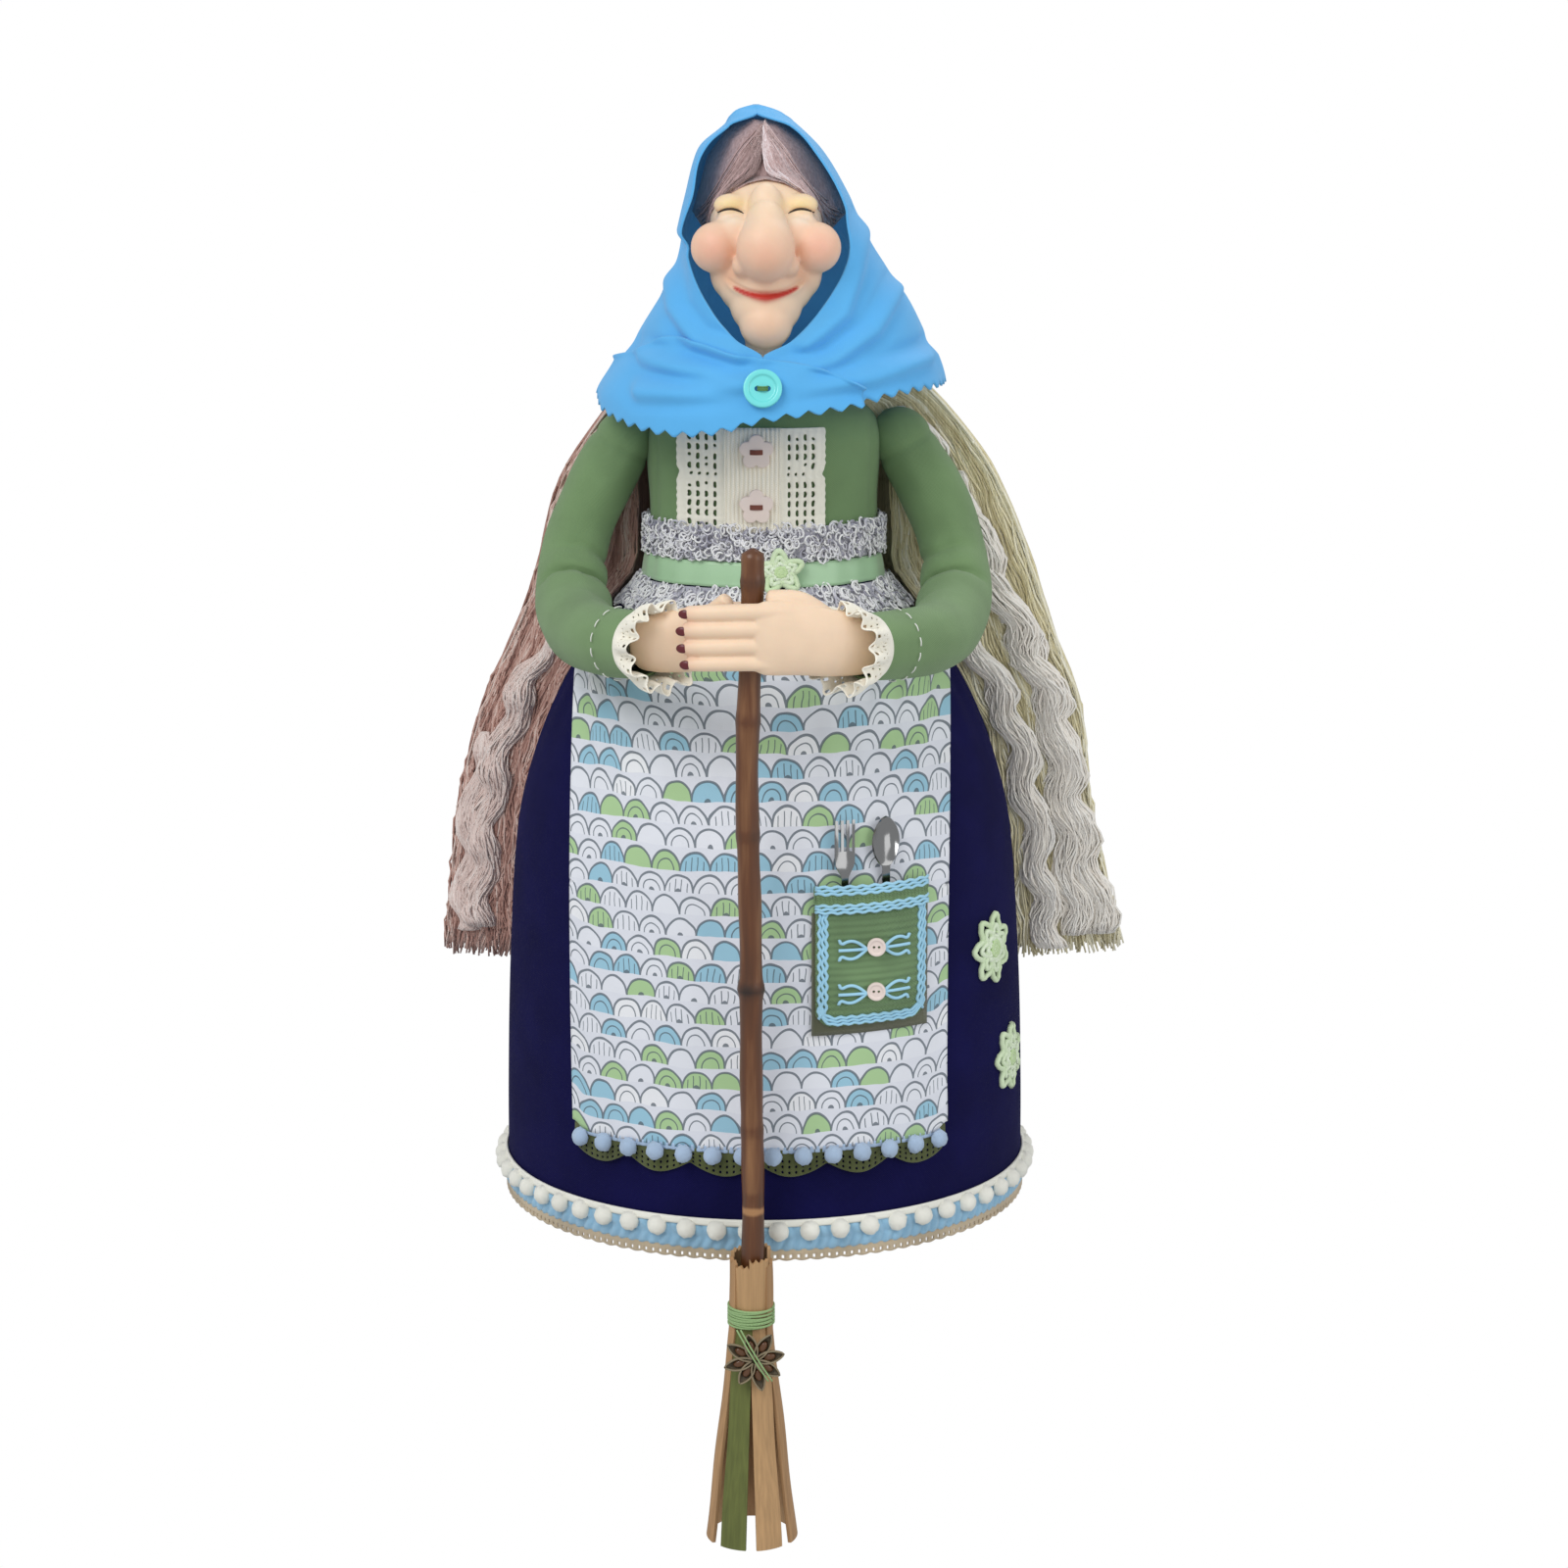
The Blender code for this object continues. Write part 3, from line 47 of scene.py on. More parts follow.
# Camera, light and background
# The photograph's view: a long lens a little above the doll's middle, soft light from all
# round, and a white background.
CAMERA_PLACE, CAMERA_TILT, CAMERA_LENS = (0.007, -1.2372, 0.0619), math.radians(78), 79.4
scene = bpy.context.scene
scene.view_settings.view_transform = "Standard"

bpy.ops.object.camera_add(location=CAMERA_PLACE, rotation=(CAMERA_TILT, 0, 0))
camera = bpy.context.object
camera.data.lens = CAMERA_LENS
camera.data.sensor_width = 36
scene.camera = camera

world = bpy.data.worlds.new("studio")
scene.world = world
world.use_nodes = True
nodes, links = world.node_tree.nodes, world.node_tree.links
light_path = nodes.new("ShaderNodeLightPath")
seen = nodes.new("ShaderNodeMath")
seen.operation = "MAXIMUM"
links.new(light_path.outputs["Is Camera Ray"], seen.inputs[0])
links.new(light_path.outputs["Is Transmission Ray"], seen.inputs[1])
white = nodes.new("ShaderNodeBackground")
white.inputs["Color"].default_value = (1, 1, 1, 1)
white.inputs["Strength"].default_value = 1.0
soft = nodes["Background"]
soft.inputs["Color"].default_value = (0.96, 0.98, 1.0, 1)
soft.inputs["Strength"].default_value = 0.62
either = nodes.new("ShaderNodeMixShader")
links.new(seen.outputs[0], either.inputs[0])
links.new(soft.outputs[0], either.inputs[1])
links.new(white.outputs[0], either.inputs[2])
links.new(either.outputs[0], nodes["World Output"].inputs[0])

for name, place, size, power, aim in (
    ("key_light", (-0.75, -1.15, 1.05), 0.9, 13.0, (0, 0, -0.1)),
    ("fill_light", (1.1, -0.9, 0.35), 1.0, 4.5, (0, 0, -0.15)),
    ("back_light", (0.3, 1.0, 0.9), 0.8, 5.0, (0, 0, -0.1)),
):
    bpy.ops.object.light_add(type="AREA", location=place)
    lamp = bpy.context.object
    lamp.name = name
    lamp.data.energy = power
    lamp.data.size = size
    way = Vector(aim) - Vector(place)
    lamp.rotation_euler = way.to_track_quat("-Z", "Y").to_euler()

# The doll's own frame
# Sizes below are taken from the doll's axis and its hem, as it is built; the frame's origin is
# the ring it hangs by, so each finished mesh is moved there by the skirt trim's box.
hem_low, hem_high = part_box("hem_lace_edge")
TO_FRAME = Vector((0.0, (hem_low[1] + hem_high[1]) / 2, hem_low[2]))
GAP = 0.0003
HEM_TO_WAIST = 0.2220


def through(keys, at, column=1):
    """A smooth curve through (place, value, ...) keys, flat beyond its ends."""
    if at <= keys[0][0]:
        return keys[0][column]
    if at >= keys[-1][0]:
        return keys[-1][column]
    step = next(i for i in range(len(keys) - 1) if at <= keys[i + 1][0])
    (start, low), (end, high) = ((keys[i][0], keys[i][column]) for i in (step, step + 1))
    slopes = []
    for i in (step, step + 1):
        before, after = keys[max(i - 1, 0)], keys[min(i + 1, len(keys) - 1)]
        slopes.append((after[column] - before[column]) / (after[0] - before[0]))
    span = end - start
    t = (at - start) / span
    bow_in = slopes[0] * span - (high - low)
    bow_out = (high - low) - slopes[1] * span
    return low + t * (high - low) + t * (1 - t) * ((1 - t) * bow_in + t * bow_out)


def blend(t):
    t = min(max(t, 0.0), 1.0)
    return t * t * (3 - 2 * t)


def smooth_path(keys, count):
    """A smooth curve of count points through given points."""
    numbered = [(at, *key) for at, key in enumerate(keys)]
    last = len(keys) - 1
    places = [last * at / (count - 1) for at in range(count)]
    return [Vector([through(numbered, place, axis) for axis in (1, 2, 3)]) for place in places]


# height, half width, half depth of the dressed body
BODY = (
    (0.000, 0.0925, 0.0905), (0.038, 0.0920, 0.0900), (0.085, 0.0905, 0.0880),
    (0.130, 0.0875, 0.0845), (0.152, 0.0830, 0.0785), (0.176, 0.0740, 0.0670),
    (0.199, 0.0600, 0.0520), (0.213, 0.0470, 0.0390), (0.222, 0.0405, 0.0320),
    (0.244, 0.0395, 0.0305), (0.262, 0.0405, 0.0315), (0.272, 0.0400, 0.0308),
    (0.280, 0.0340, 0.0250), (0.286, 0.0150, 0.0130),
)


def body_size(height):
    return through(BODY, height, 1), through(BODY, height, 2)


def on_body(angle, height, out=0.0):
    """A point on the body, by its angle from the front towards +X, lifted out by a distance."""
    width, depth = body_size(height)
    return Vector(((width + out) * math.sin(angle), -(depth + out) * math.cos(angle), height))


def angle_at(x, height):
    width, _ = body_size(height)
    return math.asin(max(-0.995, min(0.995, x / width)))


def grid(name, columns, rows, place, size, around=False):
    """A grid of cloth: place(u, v) gives each point, size its width and length for the UV map."""
    bpy.ops.mesh.primitive_grid_add(
        x_subdivisions=columns, y_subdivisions=rows, size=1, calc_uvs=True
    )
    piece = bpy.context.object
    piece.name = name
    for vertex in piece.data.vertices:
        vertex.co = place(vertex.co.x + 0.5, vertex.co.y + 0.5)
    uv = piece.data.uv_layers.active.data
    for loop in uv:
        loop.uv = (loop.uv[0] * size[0], loop.uv[1] * size[1])
    if around:
        weld(piece)
    return piece


def chosen(*pieces):
    """Selects these pieces alone and makes the first one active."""
    bpy.ops.object.select_all(action="DESELECT")
    for piece in pieces:
        piece.select_set(True)
    bpy.context.view_layer.objects.active = pieces[0]


def edited(piece, work, **values):
    """Runs one of Blender's mesh operators over the whole of a piece."""
    chosen(piece)
    bpy.ops.object.mode_set(mode="EDIT")
    bpy.ops.mesh.select_all(action="SELECT")
    work(**values)
    bpy.ops.object.mode_set(mode="OBJECT")


def weld(piece):
    edited(piece, bpy.ops.mesh.remove_doubles, threshold=1e-5)


def outward(piece):
    edited(piece, bpy.ops.mesh.normals_make_consistent, inside=False)


def faces_picked(piece, picks):
    """Selects the faces of a piece whose pick is true."""
    chosen(piece)
    bpy.ops.object.mode_set(mode="EDIT")
    bpy.ops.mesh.select_mode(type="FACE")
    bpy.ops.mesh.select_all(action="DESELECT")
    bpy.ops.object.mode_set(mode="OBJECT")
    piece.data.polygons.foreach_set("select", picks)


def applied(piece, kind, **values):
    """Adds a modifier with its values and applies it."""
    chosen(piece)
    modifier = piece.modifiers.new(kind.lower(), kind)
    for name, value in values.items():
        setattr(modifier, name, value)
    bpy.ops.object.modifier_apply(modifier=modifier.name)
    return piece


def joined(name, pieces):
    chosen(*pieces)
    bpy.ops.object.join()
    pieces[0].name = name
    return pieces[0]


def placed(piece, location=(0, 0, 0), rotation=(0, 0, 0), scale=(1, 1, 1)):
    """Moves a piece by its mesh, so that its object stays at the origin."""
    turned = Matrix.LocRotScale(Vector(location), Euler(rotation), Vector(scale))
    piece.data.transform(turned @ piece.matrix_world)
    piece.matrix_world = Matrix.Identity(4)
    return piece


def finished(piece, material, slot, *nodes, smooth=True, sharp=None):
    """Puts a finished mesh in the frame, with its material, on the doll's one body.

    Where sharp is given, edges steeper than that many degrees stay sharp.
    """
    piece.data.materials.clear()
    piece.data.materials.append(material)
    piece.data.transform(Matrix.Translation(TO_FRAME))
    if smooth:
        piece.data.shade_smooth()
    if sharp:
        piece.data.set_sharp_from_angle(angle=math.radians(sharp))
    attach(piece, "root")
    if nodes:
        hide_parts(*nodes)
    return piece


def shaded(piece, values):
    """Keeps a shade, one number for the whole piece or one for each point, for the material."""
    if isinstance(values, float):
        values = [values] * len(piece.data.vertices)
    layer = piece.data.attributes.new("shade", "FLOAT", "POINT")
    layer.data.foreach_set("value", values)


def painted(piece, colours):
    """Keeps a colour for each point of a piece, for the material."""
    layer = piece.data.attributes.new("paint", "FLOAT_COLOR", "POINT")
    layer.data.foreach_set("color", [part for colour in colours for part in (*colour, 1.0)])


def tubes(name, paths, radii, sides=3, shades=None, closed=False):
    """Thin tubes along many paths of the same number of points, as one mesh.

    paths is strands x points x 3, radii strands x points, shades one value for each strand or
    one for each point.
    """
    paths = np.asarray(paths, dtype=float)
    radii = np.asarray(radii, dtype=float)
    count, points, _ = paths.shape
    if closed:
        along = np.roll(paths, -1, axis=1) - np.roll(paths, 1, axis=1)
    else:
        along = np.gradient(paths, axis=1)
    along /= np.maximum(np.linalg.norm(along, axis=2, keepdims=True), 1e-9)
    guide = np.zeros_like(along)
    guide[..., 1] = 1.0
    steep = np.abs(along[..., 1]) > 0.92
    guide[steep] = (1.0, 0.0, 0.0)
    side = np.cross(along, guide)
    side /= np.maximum(np.linalg.norm(side, axis=2, keepdims=True), 1e-9)
    over = np.cross(side, along)
    rings = []
    for at in range(sides):
        turn = 2 * math.pi * at / sides
        rings.append(paths + radii[..., None] * (side * math.cos(turn) + over * math.sin(turn)))
    vertices = np.stack(rings, axis=2).reshape(-1, 3)
    index = np.arange(count * points * sides).reshape(count, points, sides)
    here = index if closed else index[:, :-1]
    there = np.roll(index, -1, axis=1) if closed else index[:, 1:]
    faces = np.stack(
        [here, there, np.roll(there, -1, axis=2), np.roll(here, -1, axis=2)], axis=3
    ).reshape(-1, 4)
    mesh = bpy.data.meshes.new(name)
    mesh.vertices.add(len(vertices))
    mesh.vertices.foreach_set("co", vertices.ravel())
    lists = [faces]
    if not closed:
        lists += [index[:, 0, :], index[:, -1, ::-1]]
    loops = np.concatenate([part.ravel() for part in lists])
    sizes = np.concatenate([np.full(len(part), part.shape[1]) for part in lists])
    starts = np.concatenate([[0], np.cumsum(sizes)[:-1]])
    mesh.loops.add(len(loops))
    mesh.loops.foreach_set("vertex_index", loops.astype(np.int32))
    mesh.polygons.add(len(sizes))
    mesh.polygons.foreach_set("loop_start", starts.astype(np.int32))
    mesh.polygons.foreach_set("loop_total", sizes.astype(np.int32))
    mesh.update(calc_edges=True)
    piece = bpy.data.objects.new(name, mesh)
    bpy.context.collection.objects.link(piece)
    if shades is not None:
        shades = np.asarray(shades, dtype=float)
        if shades.ndim == 1:
            shades = np.repeat(shades[:, None], points, axis=1)
        shaded(piece, np.repeat(shades.ravel(), sides).astype(np.float32))
    outward(piece)
    return piece


def node(tree, kind, **values):
    made = tree.nodes.new(kind)
    for name, value in values.items():
        setattr(made, name, value)
    return made


def maths(tree, operation, first, second=None, third=None, clamp=False):
    """One math node; each operand is a socket or a number."""
    made = node(tree, "ShaderNodeMath", operation=operation, use_clamp=clamp)
    for at, operand in enumerate((first, second, third)):
        if operand is None:
            continue
        if isinstance(operand, (int, float)):
            made.inputs[at].default_value = operand
        else:
            tree.links.new(operand, made.inputs[at])
    return made.outputs[0]


def mixed(tree, factor, first, second):
    """One colour mix; each colour is a socket or three numbers."""
    made = node(tree, "ShaderNodeMix", data_type="RGBA")
    if isinstance(factor, (int, float)):
        made.inputs[0].default_value = factor
    else:
        tree.links.new(factor, made.inputs[0])
    for socket, operand in ((made.inputs[6], first), (made.inputs[7], second)):
        if isinstance(operand, tuple):
            socket.default_value = (*operand, 1)
        else:
            tree.links.new(operand, socket)
    return made.outputs[2]


def attribute(tree, name, output="Fac"):
    return node(tree, "ShaderNodeAttribute", attribute_name=name).outputs[output]


def lit_by(tree, colour, factor):
    """A colour made lighter or darker by a factor, each a socket."""
    made = node(tree, "ShaderNodeVectorMath", operation="SCALE")
    tree.links.new(colour, made.inputs[0])
    tree.links.new(factor, made.inputs["Scale"])
    return made.outputs[0]


def noisy(tree, scale, detail, stretch=None):
    """Noise on the object's own coordinates, drawn out where stretch is given."""
    place = node(tree, "ShaderNodeTexCoord").outputs["Object"]
    if stretch:
        mapping = node(tree, "ShaderNodeMapping")
        mapping.inputs["Scale"].default_value = stretch
        tree.links.new(place, mapping.inputs["Vector"])
        place = mapping.outputs[0]
    made = node(tree, "ShaderNodeTexNoise")
    made.inputs["Scale"].default_value = scale
    made.inputs["Detail"].default_value = detail
    tree.links.new(place, made.inputs["Vector"])
    return made


def raised(tree, shader, height, strength, distance):
    """Makes the surface feel a height as a bump."""
    bump = node(tree, "ShaderNodeBump")
    bump.inputs["Strength"].default_value = strength
    bump.inputs["Distance"].default_value = distance
    tree.links.new(height, bump.inputs["Height"])
    tree.links.new(bump.outputs[0], shader.inputs["Normal"])


def ramped(tree, factor, *stops, interpolation="LINEAR"):
    """A run of colours: each stop is its place and its colour, from low to high."""
    made = node(tree, "ShaderNodeValToRGB")
    made.color_ramp.interpolation = interpolation
    elements = made.color_ramp.elements
    for element, (place, colour) in zip(elements, (stops[0], stops[-1])):
        element.position = place
        element.color = (*colour, 1)
    for place, colour in stops[1:-1]:
        elements.new(place).color = (*colour, 1)
    tree.links.new(factor, made.inputs[0])
    return made.outputs[0]


def new_material(name, roughness=0.8, metallic=0.0, sheen=0.0, colour=None):
    material = bpy.data.materials.new(name)
    material.use_nodes = True
    shader = material.node_tree.nodes["Principled BSDF"]
    shader.inputs["Roughness"].default_value = roughness
    shader.inputs["Metallic"].default_value = metallic
    shader.inputs["Sheen Weight"].default_value = sheen
    if colour:
        shader.inputs["Base Color"].default_value = (*colour, 1)
    return material, material.node_tree, shader


def weave_group():
    """Fine cloth: a thread grid on the UV map, with soft mottling, as a colour and a normal."""
    group = bpy.data.node_groups.new("weave", "ShaderNodeTree")
    for name, kind, value in (
        ("Colour", "NodeSocketColor", (0.5, 0.5, 0.5, 1)),
        ("Pitch", "NodeSocketFloat", 0.0006),
        ("Depth", "NodeSocketFloat", 0.25),
        ("Mottle", "NodeSocketFloat", 0.12),
    ):
        socket = group.interface.new_socket(name, in_out="INPUT", socket_type=kind)
        socket.default_value = value
    group.interface.new_socket("Colour", in_out="OUTPUT", socket_type="NodeSocketColor")
    group.interface.new_socket("Normal", in_out="OUTPUT", socket_type="NodeSocketVector")
    inside = node(group, "NodeGroupInput")
    out = node(group, "NodeGroupOutput")
    uv = node(group, "ShaderNodeUVMap")
    split = node(group, "ShaderNodeSeparateXYZ")
    group.links.new(uv.outputs[0], split.inputs[0])
    waves = []
    for axis in (0, 1):
        turn = maths(group, "DIVIDE", split.outputs[axis], inside.outputs["Pitch"])
        waves.append(maths(group, "SINE", maths(group, "MULTIPLY", turn, 2 * math.pi)))
    over = maths(group, "MULTIPLY", waves[0], waves[1])
    rough = noisy(group, 210, 3)
    height = maths(group, "ADD", over, maths(group, "MULTIPLY", rough.outputs[0], 2.5))
    bump = node(group, "ShaderNodeBump")
    bump.inputs["Distance"].default_value = 0.0003
    group.links.new(inside.outputs["Depth"], bump.inputs["Strength"])
    group.links.new(height, bump.inputs["Height"])
    shift = maths(group, "SUBTRACT", noisy(group, 45, 4).outputs[0], 0.5)
    thread = maths(group, "MULTIPLY", over, 0.25)
    change = maths(group, "MULTIPLY", maths(group, "ADD", shift, thread), inside.outputs["Mottle"])
    value = maths(group, "ADD", maths(group, "MULTIPLY", change, 2.0), 1.0)
    group.links.new(lit_by(group, inside.outputs["Colour"], value), out.inputs["Colour"])
    group.links.new(bump.outputs[0], out.inputs["Normal"])
    return group


WEAVE = weave_group()


def fabric(name, colour, pitch=0.0006, depth=0.25, mottle=0.12, roughness=0.85, sheen=0.2):
    """Woven cloth of one colour; colour is three numbers or a function of the node tree."""
    material, tree, shader = new_material(name, roughness, 0.0, sheen)
    weave = node(tree, "ShaderNodeGroup", node_tree=WEAVE)
    weave.inputs["Pitch"].default_value = pitch
    weave.inputs["Depth"].default_value = depth
    weave.inputs["Mottle"].default_value = mottle
    if isinstance(colour, tuple):
        weave.inputs["Colour"].default_value = (*colour, 1)
    else:
        tree.links.new(colour(tree), weave.inputs["Colour"])
    tree.links.new(weave.outputs["Colour"], shader.inputs["Base Color"])
    tree.links.new(weave.outputs["Normal"], shader.inputs["Normal"])
    return material


# Kerchief
# A thin cotton square with a pinked edge, folded to a triangle and laid over the head. Its left
# side wraps over the right under the chin, where a button holds both.
KERCHIEF_LEVELS = (
    (0.2450, 0.0540, 0.0620, 0.0000, 0.0000, 0.0660, 0.0500, 0.0, 0.0000),
    (0.2830, 0.0560, 0.0630, 0.0000, 0.0000, 0.0615, 0.0480, 0.0, 0.0000),
    (0.2960, 0.0480, 0.0600, 0.0000, 0.0000, 0.0560, 0.0420, 0.0, 0.0000),
    (0.3005, 0.0445, 0.0560, 0.0000, 0.0000, 0.0530, 0.0395, 0.0, 0.0000),
    (0.3055, 0.0420, 0.0545, 0.0090, 0.0100, 0.0500, 0.0375, 0.0, 0.0000),
    (0.3170, 0.0355, 0.0490, 0.0185, 0.0210, 0.0430, 0.0340, 0.0, 0.0000),
    (0.3280, 0.0300, 0.0410, 0.0240, 0.0275, 0.0375, 0.0325, 0.0, 0.0000),
    (0.3390, 0.0276, 0.0345, 0.0260, 0.0295, 0.0350, 0.0300, 0.0, 0.0000),
    (0.3520, 0.0245, 0.0285, 0.0225, 0.0262, 0.0340, 0.0275, 0.0, 0.0000),
    (0.3660, 0.0205, 0.0200, 0.0190, 0.0178, 0.0290, 0.0235, 0.0, -0.0020),
    (0.3750, 0.0125, 0.0120, 0.0110, 0.0100, 0.0210, 0.0180, -0.0010, -0.0050),
    (0.3785, 0.0080, 0.0080, 0.0000, 0.0000, 0.0150, 0.0130, -0.0020, -0.0070),
    (0.3800, 0.0050, 0.0050, 0.0000, 0.0000, 0.0095, 0.0085, -0.0025, -0.0075),
    (0.3813, 0.0002, 0.0002, 0.0000, 0.0000, 0.0078, 0.0078, -0.0025, -0.0075),
)
KERCHIEF_CREASES = (
    ((-0.0335, 0.3310), (-0.0300, 0.3150), (-0.0215, 0.3050), (-0.0080, 0.3010)),
    ((0.0345, 0.3430), (0.0310, 0.3270), (0.0265, 0.3140), (0.0140, 0.3040)),
    ((0.0450, 0.3200), (0.0370, 0.3080), (0.0230, 0.2990), (0.0060, 0.2945)),
    ((-0.0390, 0.2990), (-0.0250, 0.2960), (-0.0060, 0.2930)),
    ((-0.0400, 0.2880), (-0.0230, 0.2890), (-0.0050, 0.2910)),
    ((0.0560, 0.2980), (0.0360, 0.2930), (0.0080, 0.2910)),
    ((-0.0180, 0.3740), (-0.0230, 0.3560), (-0.0270, 0.3400)),
)
CREASE_RISE, CREASE_DIP, CREASE_HALF = 0.0019, 0.0010, 0.0024
PINK_PITCH, PINK_DEPTH = 0.0065, 0.0024
BUTTON_HEIGHT = 0.2850


def away_from(x, z, line):
    """Distance from a point to a line of points, all seen from the front."""
    least = 1.0
    for (ax, az), (bx, bz) in zip(line, line[1:]):
        run = (bx - ax) ** 2 + (bz - az) ** 2
        t = min(max(((x - ax) * (bx - ax) + (z - az) * (bz - az)) / run, 0), 1)
        least = min(least, math.hypot(x - ax - t * (bx - ax), z - az - t * (bz - az)))
    return least


def crease_lift(x, z):
    """How far the creases lift the cloth; it lies flat under the button."""
    lift = 0.0
    for line in KERCHIEF_CREASES:
        away = away_from(x, z, line)
        lift += CREASE_RISE * math.exp(-((away / CREASE_HALF) ** 2))
        lift -= CREASE_DIP * math.exp(-(((away - 2 * CREASE_HALF) / 0.0022) ** 2))
    calm = math.exp(-((x / 0.011) ** 2) - ((z - BUTTON_HEIGHT) / 0.0100) ** 2)
    return lift * (1 - 0.85 * calm)


def on_kerchief(turn, height, out=0.0, open_front=True):
    """A point on the kerchief at a turn from the front, towards +X, and a height."""
    left, right, gap_left, gap_right, front, back, mid_x, mid_y = (
        through(KERCHIEF_LEVELS, height, at) for at in range(1, 9)
    )
    half, opening = (left, gap_left) if turn < 0 else (right, gap_right)
    start = math.asin(min(max(opening, 0) / half, 0.97)) if open_front else 0.0
    angle = start + (math.pi - start) * abs(turn) / math.pi
    reach = (front - abs(mid_y)) / math.cos(start) if angle < math.pi / 2 else back
    side = -1 if turn < 0 else 1
    point = Vector(
        (mid_x + side * half * math.sin(angle), mid_y - reach * math.cos(angle), height)
    )
    facing = Vector((side * math.sin(angle), -math.cos(angle), 0.0))
    soft_fold = 0.0007 * math.sin(abs(turn) * 13 + height * 40) * blend(abs(turn) - 0.9)
    lift = out + soft_fold
    if point.y < 0.004:
        lift += crease_lift(point.x, point.z) * blend((0.004 - point.y) / 0.012)
    return point + facing * lift


def kerchief_edge(turn):
    """Height of the pinked edge: higher at the sides, a long point behind."""
    turned = abs(turn)
    front = 0.2835 if turn < 0 else 0.2815
    side = front + (0.2880 - front) * blend(turned)
    droop = blend((turned - math.radians(118)) / math.radians(62))
    return side + (0.2500 - side) * droop


def pinked(length):
    """Zigzag of the pinking shears along the edge."""
    return PINK_DEPTH * (abs((length / PINK_PITCH) % 1.0 - 0.5) * 2 - 0.5)


def kerchief_place(u, v):
    turn = 2 * math.pi * (1 - u) + 1e-6 if u > 0.5 else -2 * math.pi * u - 1e-6
    edge = kerchief_edge(turn) + pinked(abs(turn) * 0.055) * (1 - v) ** 14
    bent = v ** 0.9
    return on_kerchief(turn, edge + (0.3813 - edge) * bent)


kerchief = grid("kerchief_cloth", 290, 130, kerchief_place, (0.34, 0.13))

# the wrapped end's upper and lower edge: angle from the front, height
wrap_edge = ((-1.62, 0.2960), (-1.2, 0.3000), (-0.8, 0.3060), (-0.45, 0.3045), (-0.2, 0.3015),
             (0.0, 0.3000), (0.3, 0.2970), (0.55, 0.2900))
wrap_foot = ((-1.62, 0.2845), (-1.1, 0.2790), (-0.6, 0.2752), (-0.3, 0.2762), (0.0, 0.2805),
             (0.3, 0.2830), (0.55, 0.2848))


def wrap_place(u, v):
    turn = -1.60 + 2.15 * u
    low = through(wrap_foot, turn) + pinked(turn * 0.055) * (1 - v) ** 6
    high = through(wrap_edge, turn)
    height = low + (high - low) * v
    sag = 0.0008 * math.sin(turn * 9 + v * 3)
    roll = 0.0012 * math.exp(-(((1 - v) / 0.08) ** 2))
    return on_kerchief(turn, height, 0.0016 + sag * v + roll, open_front=False)


wrap = grid("kerchief_wrap", 130, 38, wrap_place, (0.12, 0.03))
kerchief = joined("kerchief_cloth", [kerchief, wrap])
weld(kerchief)
applied(kerchief, "SOLIDIFY", thickness=0.0007, offset=0.0)
BLUE_CLOTH = fabric("kerchief_cotton", (0.085, 0.40, 0.76), 0.0005, 0.18, 0.10, 0.78, 0.15)
# a faint painted glow over the cotton, lifting the shade on its inside, in place of light through
# the thin cloth
painted_glow = BLUE_CLOTH.node_tree.nodes["Principled BSDF"]
painted_glow.inputs["Emission Color"].default_value = (0.10, 0.40, 0.80, 1)
painted_glow.inputs["Emission Strength"].default_value = 0.09


def front_of(piece, x, z):
    """The foremost point of a piece at x and z."""
    _, point, _, _ = piece.ray_cast(Vector((x, -0.2, z)), Vector((0, 1, 0)))
    return point


# Kerchief button
# A turned two-hole button of pale turquoise plastic with a rim, sewn on with green thread.
button_face = front_of(kerchief, 0.0, 0.2905) + Vector((0, -0.0024, 0.0004))


def round_button(name, radius, thickness, middle, holes, dish=0.3, tilt=90):
    """A button with a rim and a dished face that looks towards -Y."""
    bpy.ops.mesh.primitive_cylinder_add(vertices=64, radius=radius, depth=thickness)
    piece = bpy.context.object
    piece.name = name
    faces_picked(piece, [face.normal.z > 0.9 for face in piece.data.polygons])
    bpy.ops.object.mode_set(mode="EDIT")
    bpy.ops.mesh.inset(thickness=radius * 0.26)
    bpy.ops.mesh.inset(thickness=radius * 0.08)
    bpy.ops.transform.translate(value=(0, 0, -thickness * dish))
    bpy.ops.mesh.inset(thickness=radius * 0.1)
    bpy.ops.object.mode_set(mode="OBJECT")
    applied(piece, "BEVEL", width=thickness * 0.16, segments=3, limit_method="ANGLE")
    for place in holes:
        bpy.ops.mesh.primitive_cylinder_add(
            vertices=20, radius=radius * 0.15, depth=thickness * 3,
            location=(place * radius * 0.27, 0, 0),
        )
        cutter = bpy.context.object
        applied(piece, "BOOLEAN", object=cutter, operation="DIFFERENCE", solver="EXACT")
        bpy.data.objects.remove(cutter, do_unlink=True)
    return placed(piece, middle, (math.radians(tilt), 0, 0))


kerchief_button = round_button(
    "kerchief_button_shell", 0.0064, 0.0022, button_face, (-1, 1), tilt=72
)
applied(kerchief_button, "TRIANGULATE")
turquoise, tree, shader = new_material("turquoise_plastic", 0.25, colour=(0.17, 0.74, 0.74))
shader.inputs["Coat Weight"].default_value = 0.3
finished(kerchief_button, turquoise, "button_plastic", "kerchief_button", sharp=40)


def sewing(name, middle, half, bow, heights, sides):
    """Threads laid side by side over the middle of a button, bowed out towards -Y."""
    lines = [
        [middle + Vector((x * half, -0.0008 - bow * (1 - x * x), height))
         for x in np.linspace(-1, 1, 9)]
        for height in heights
    ]
    return tubes(name, lines, np.full((len(lines), 9), 0.00028), sides)


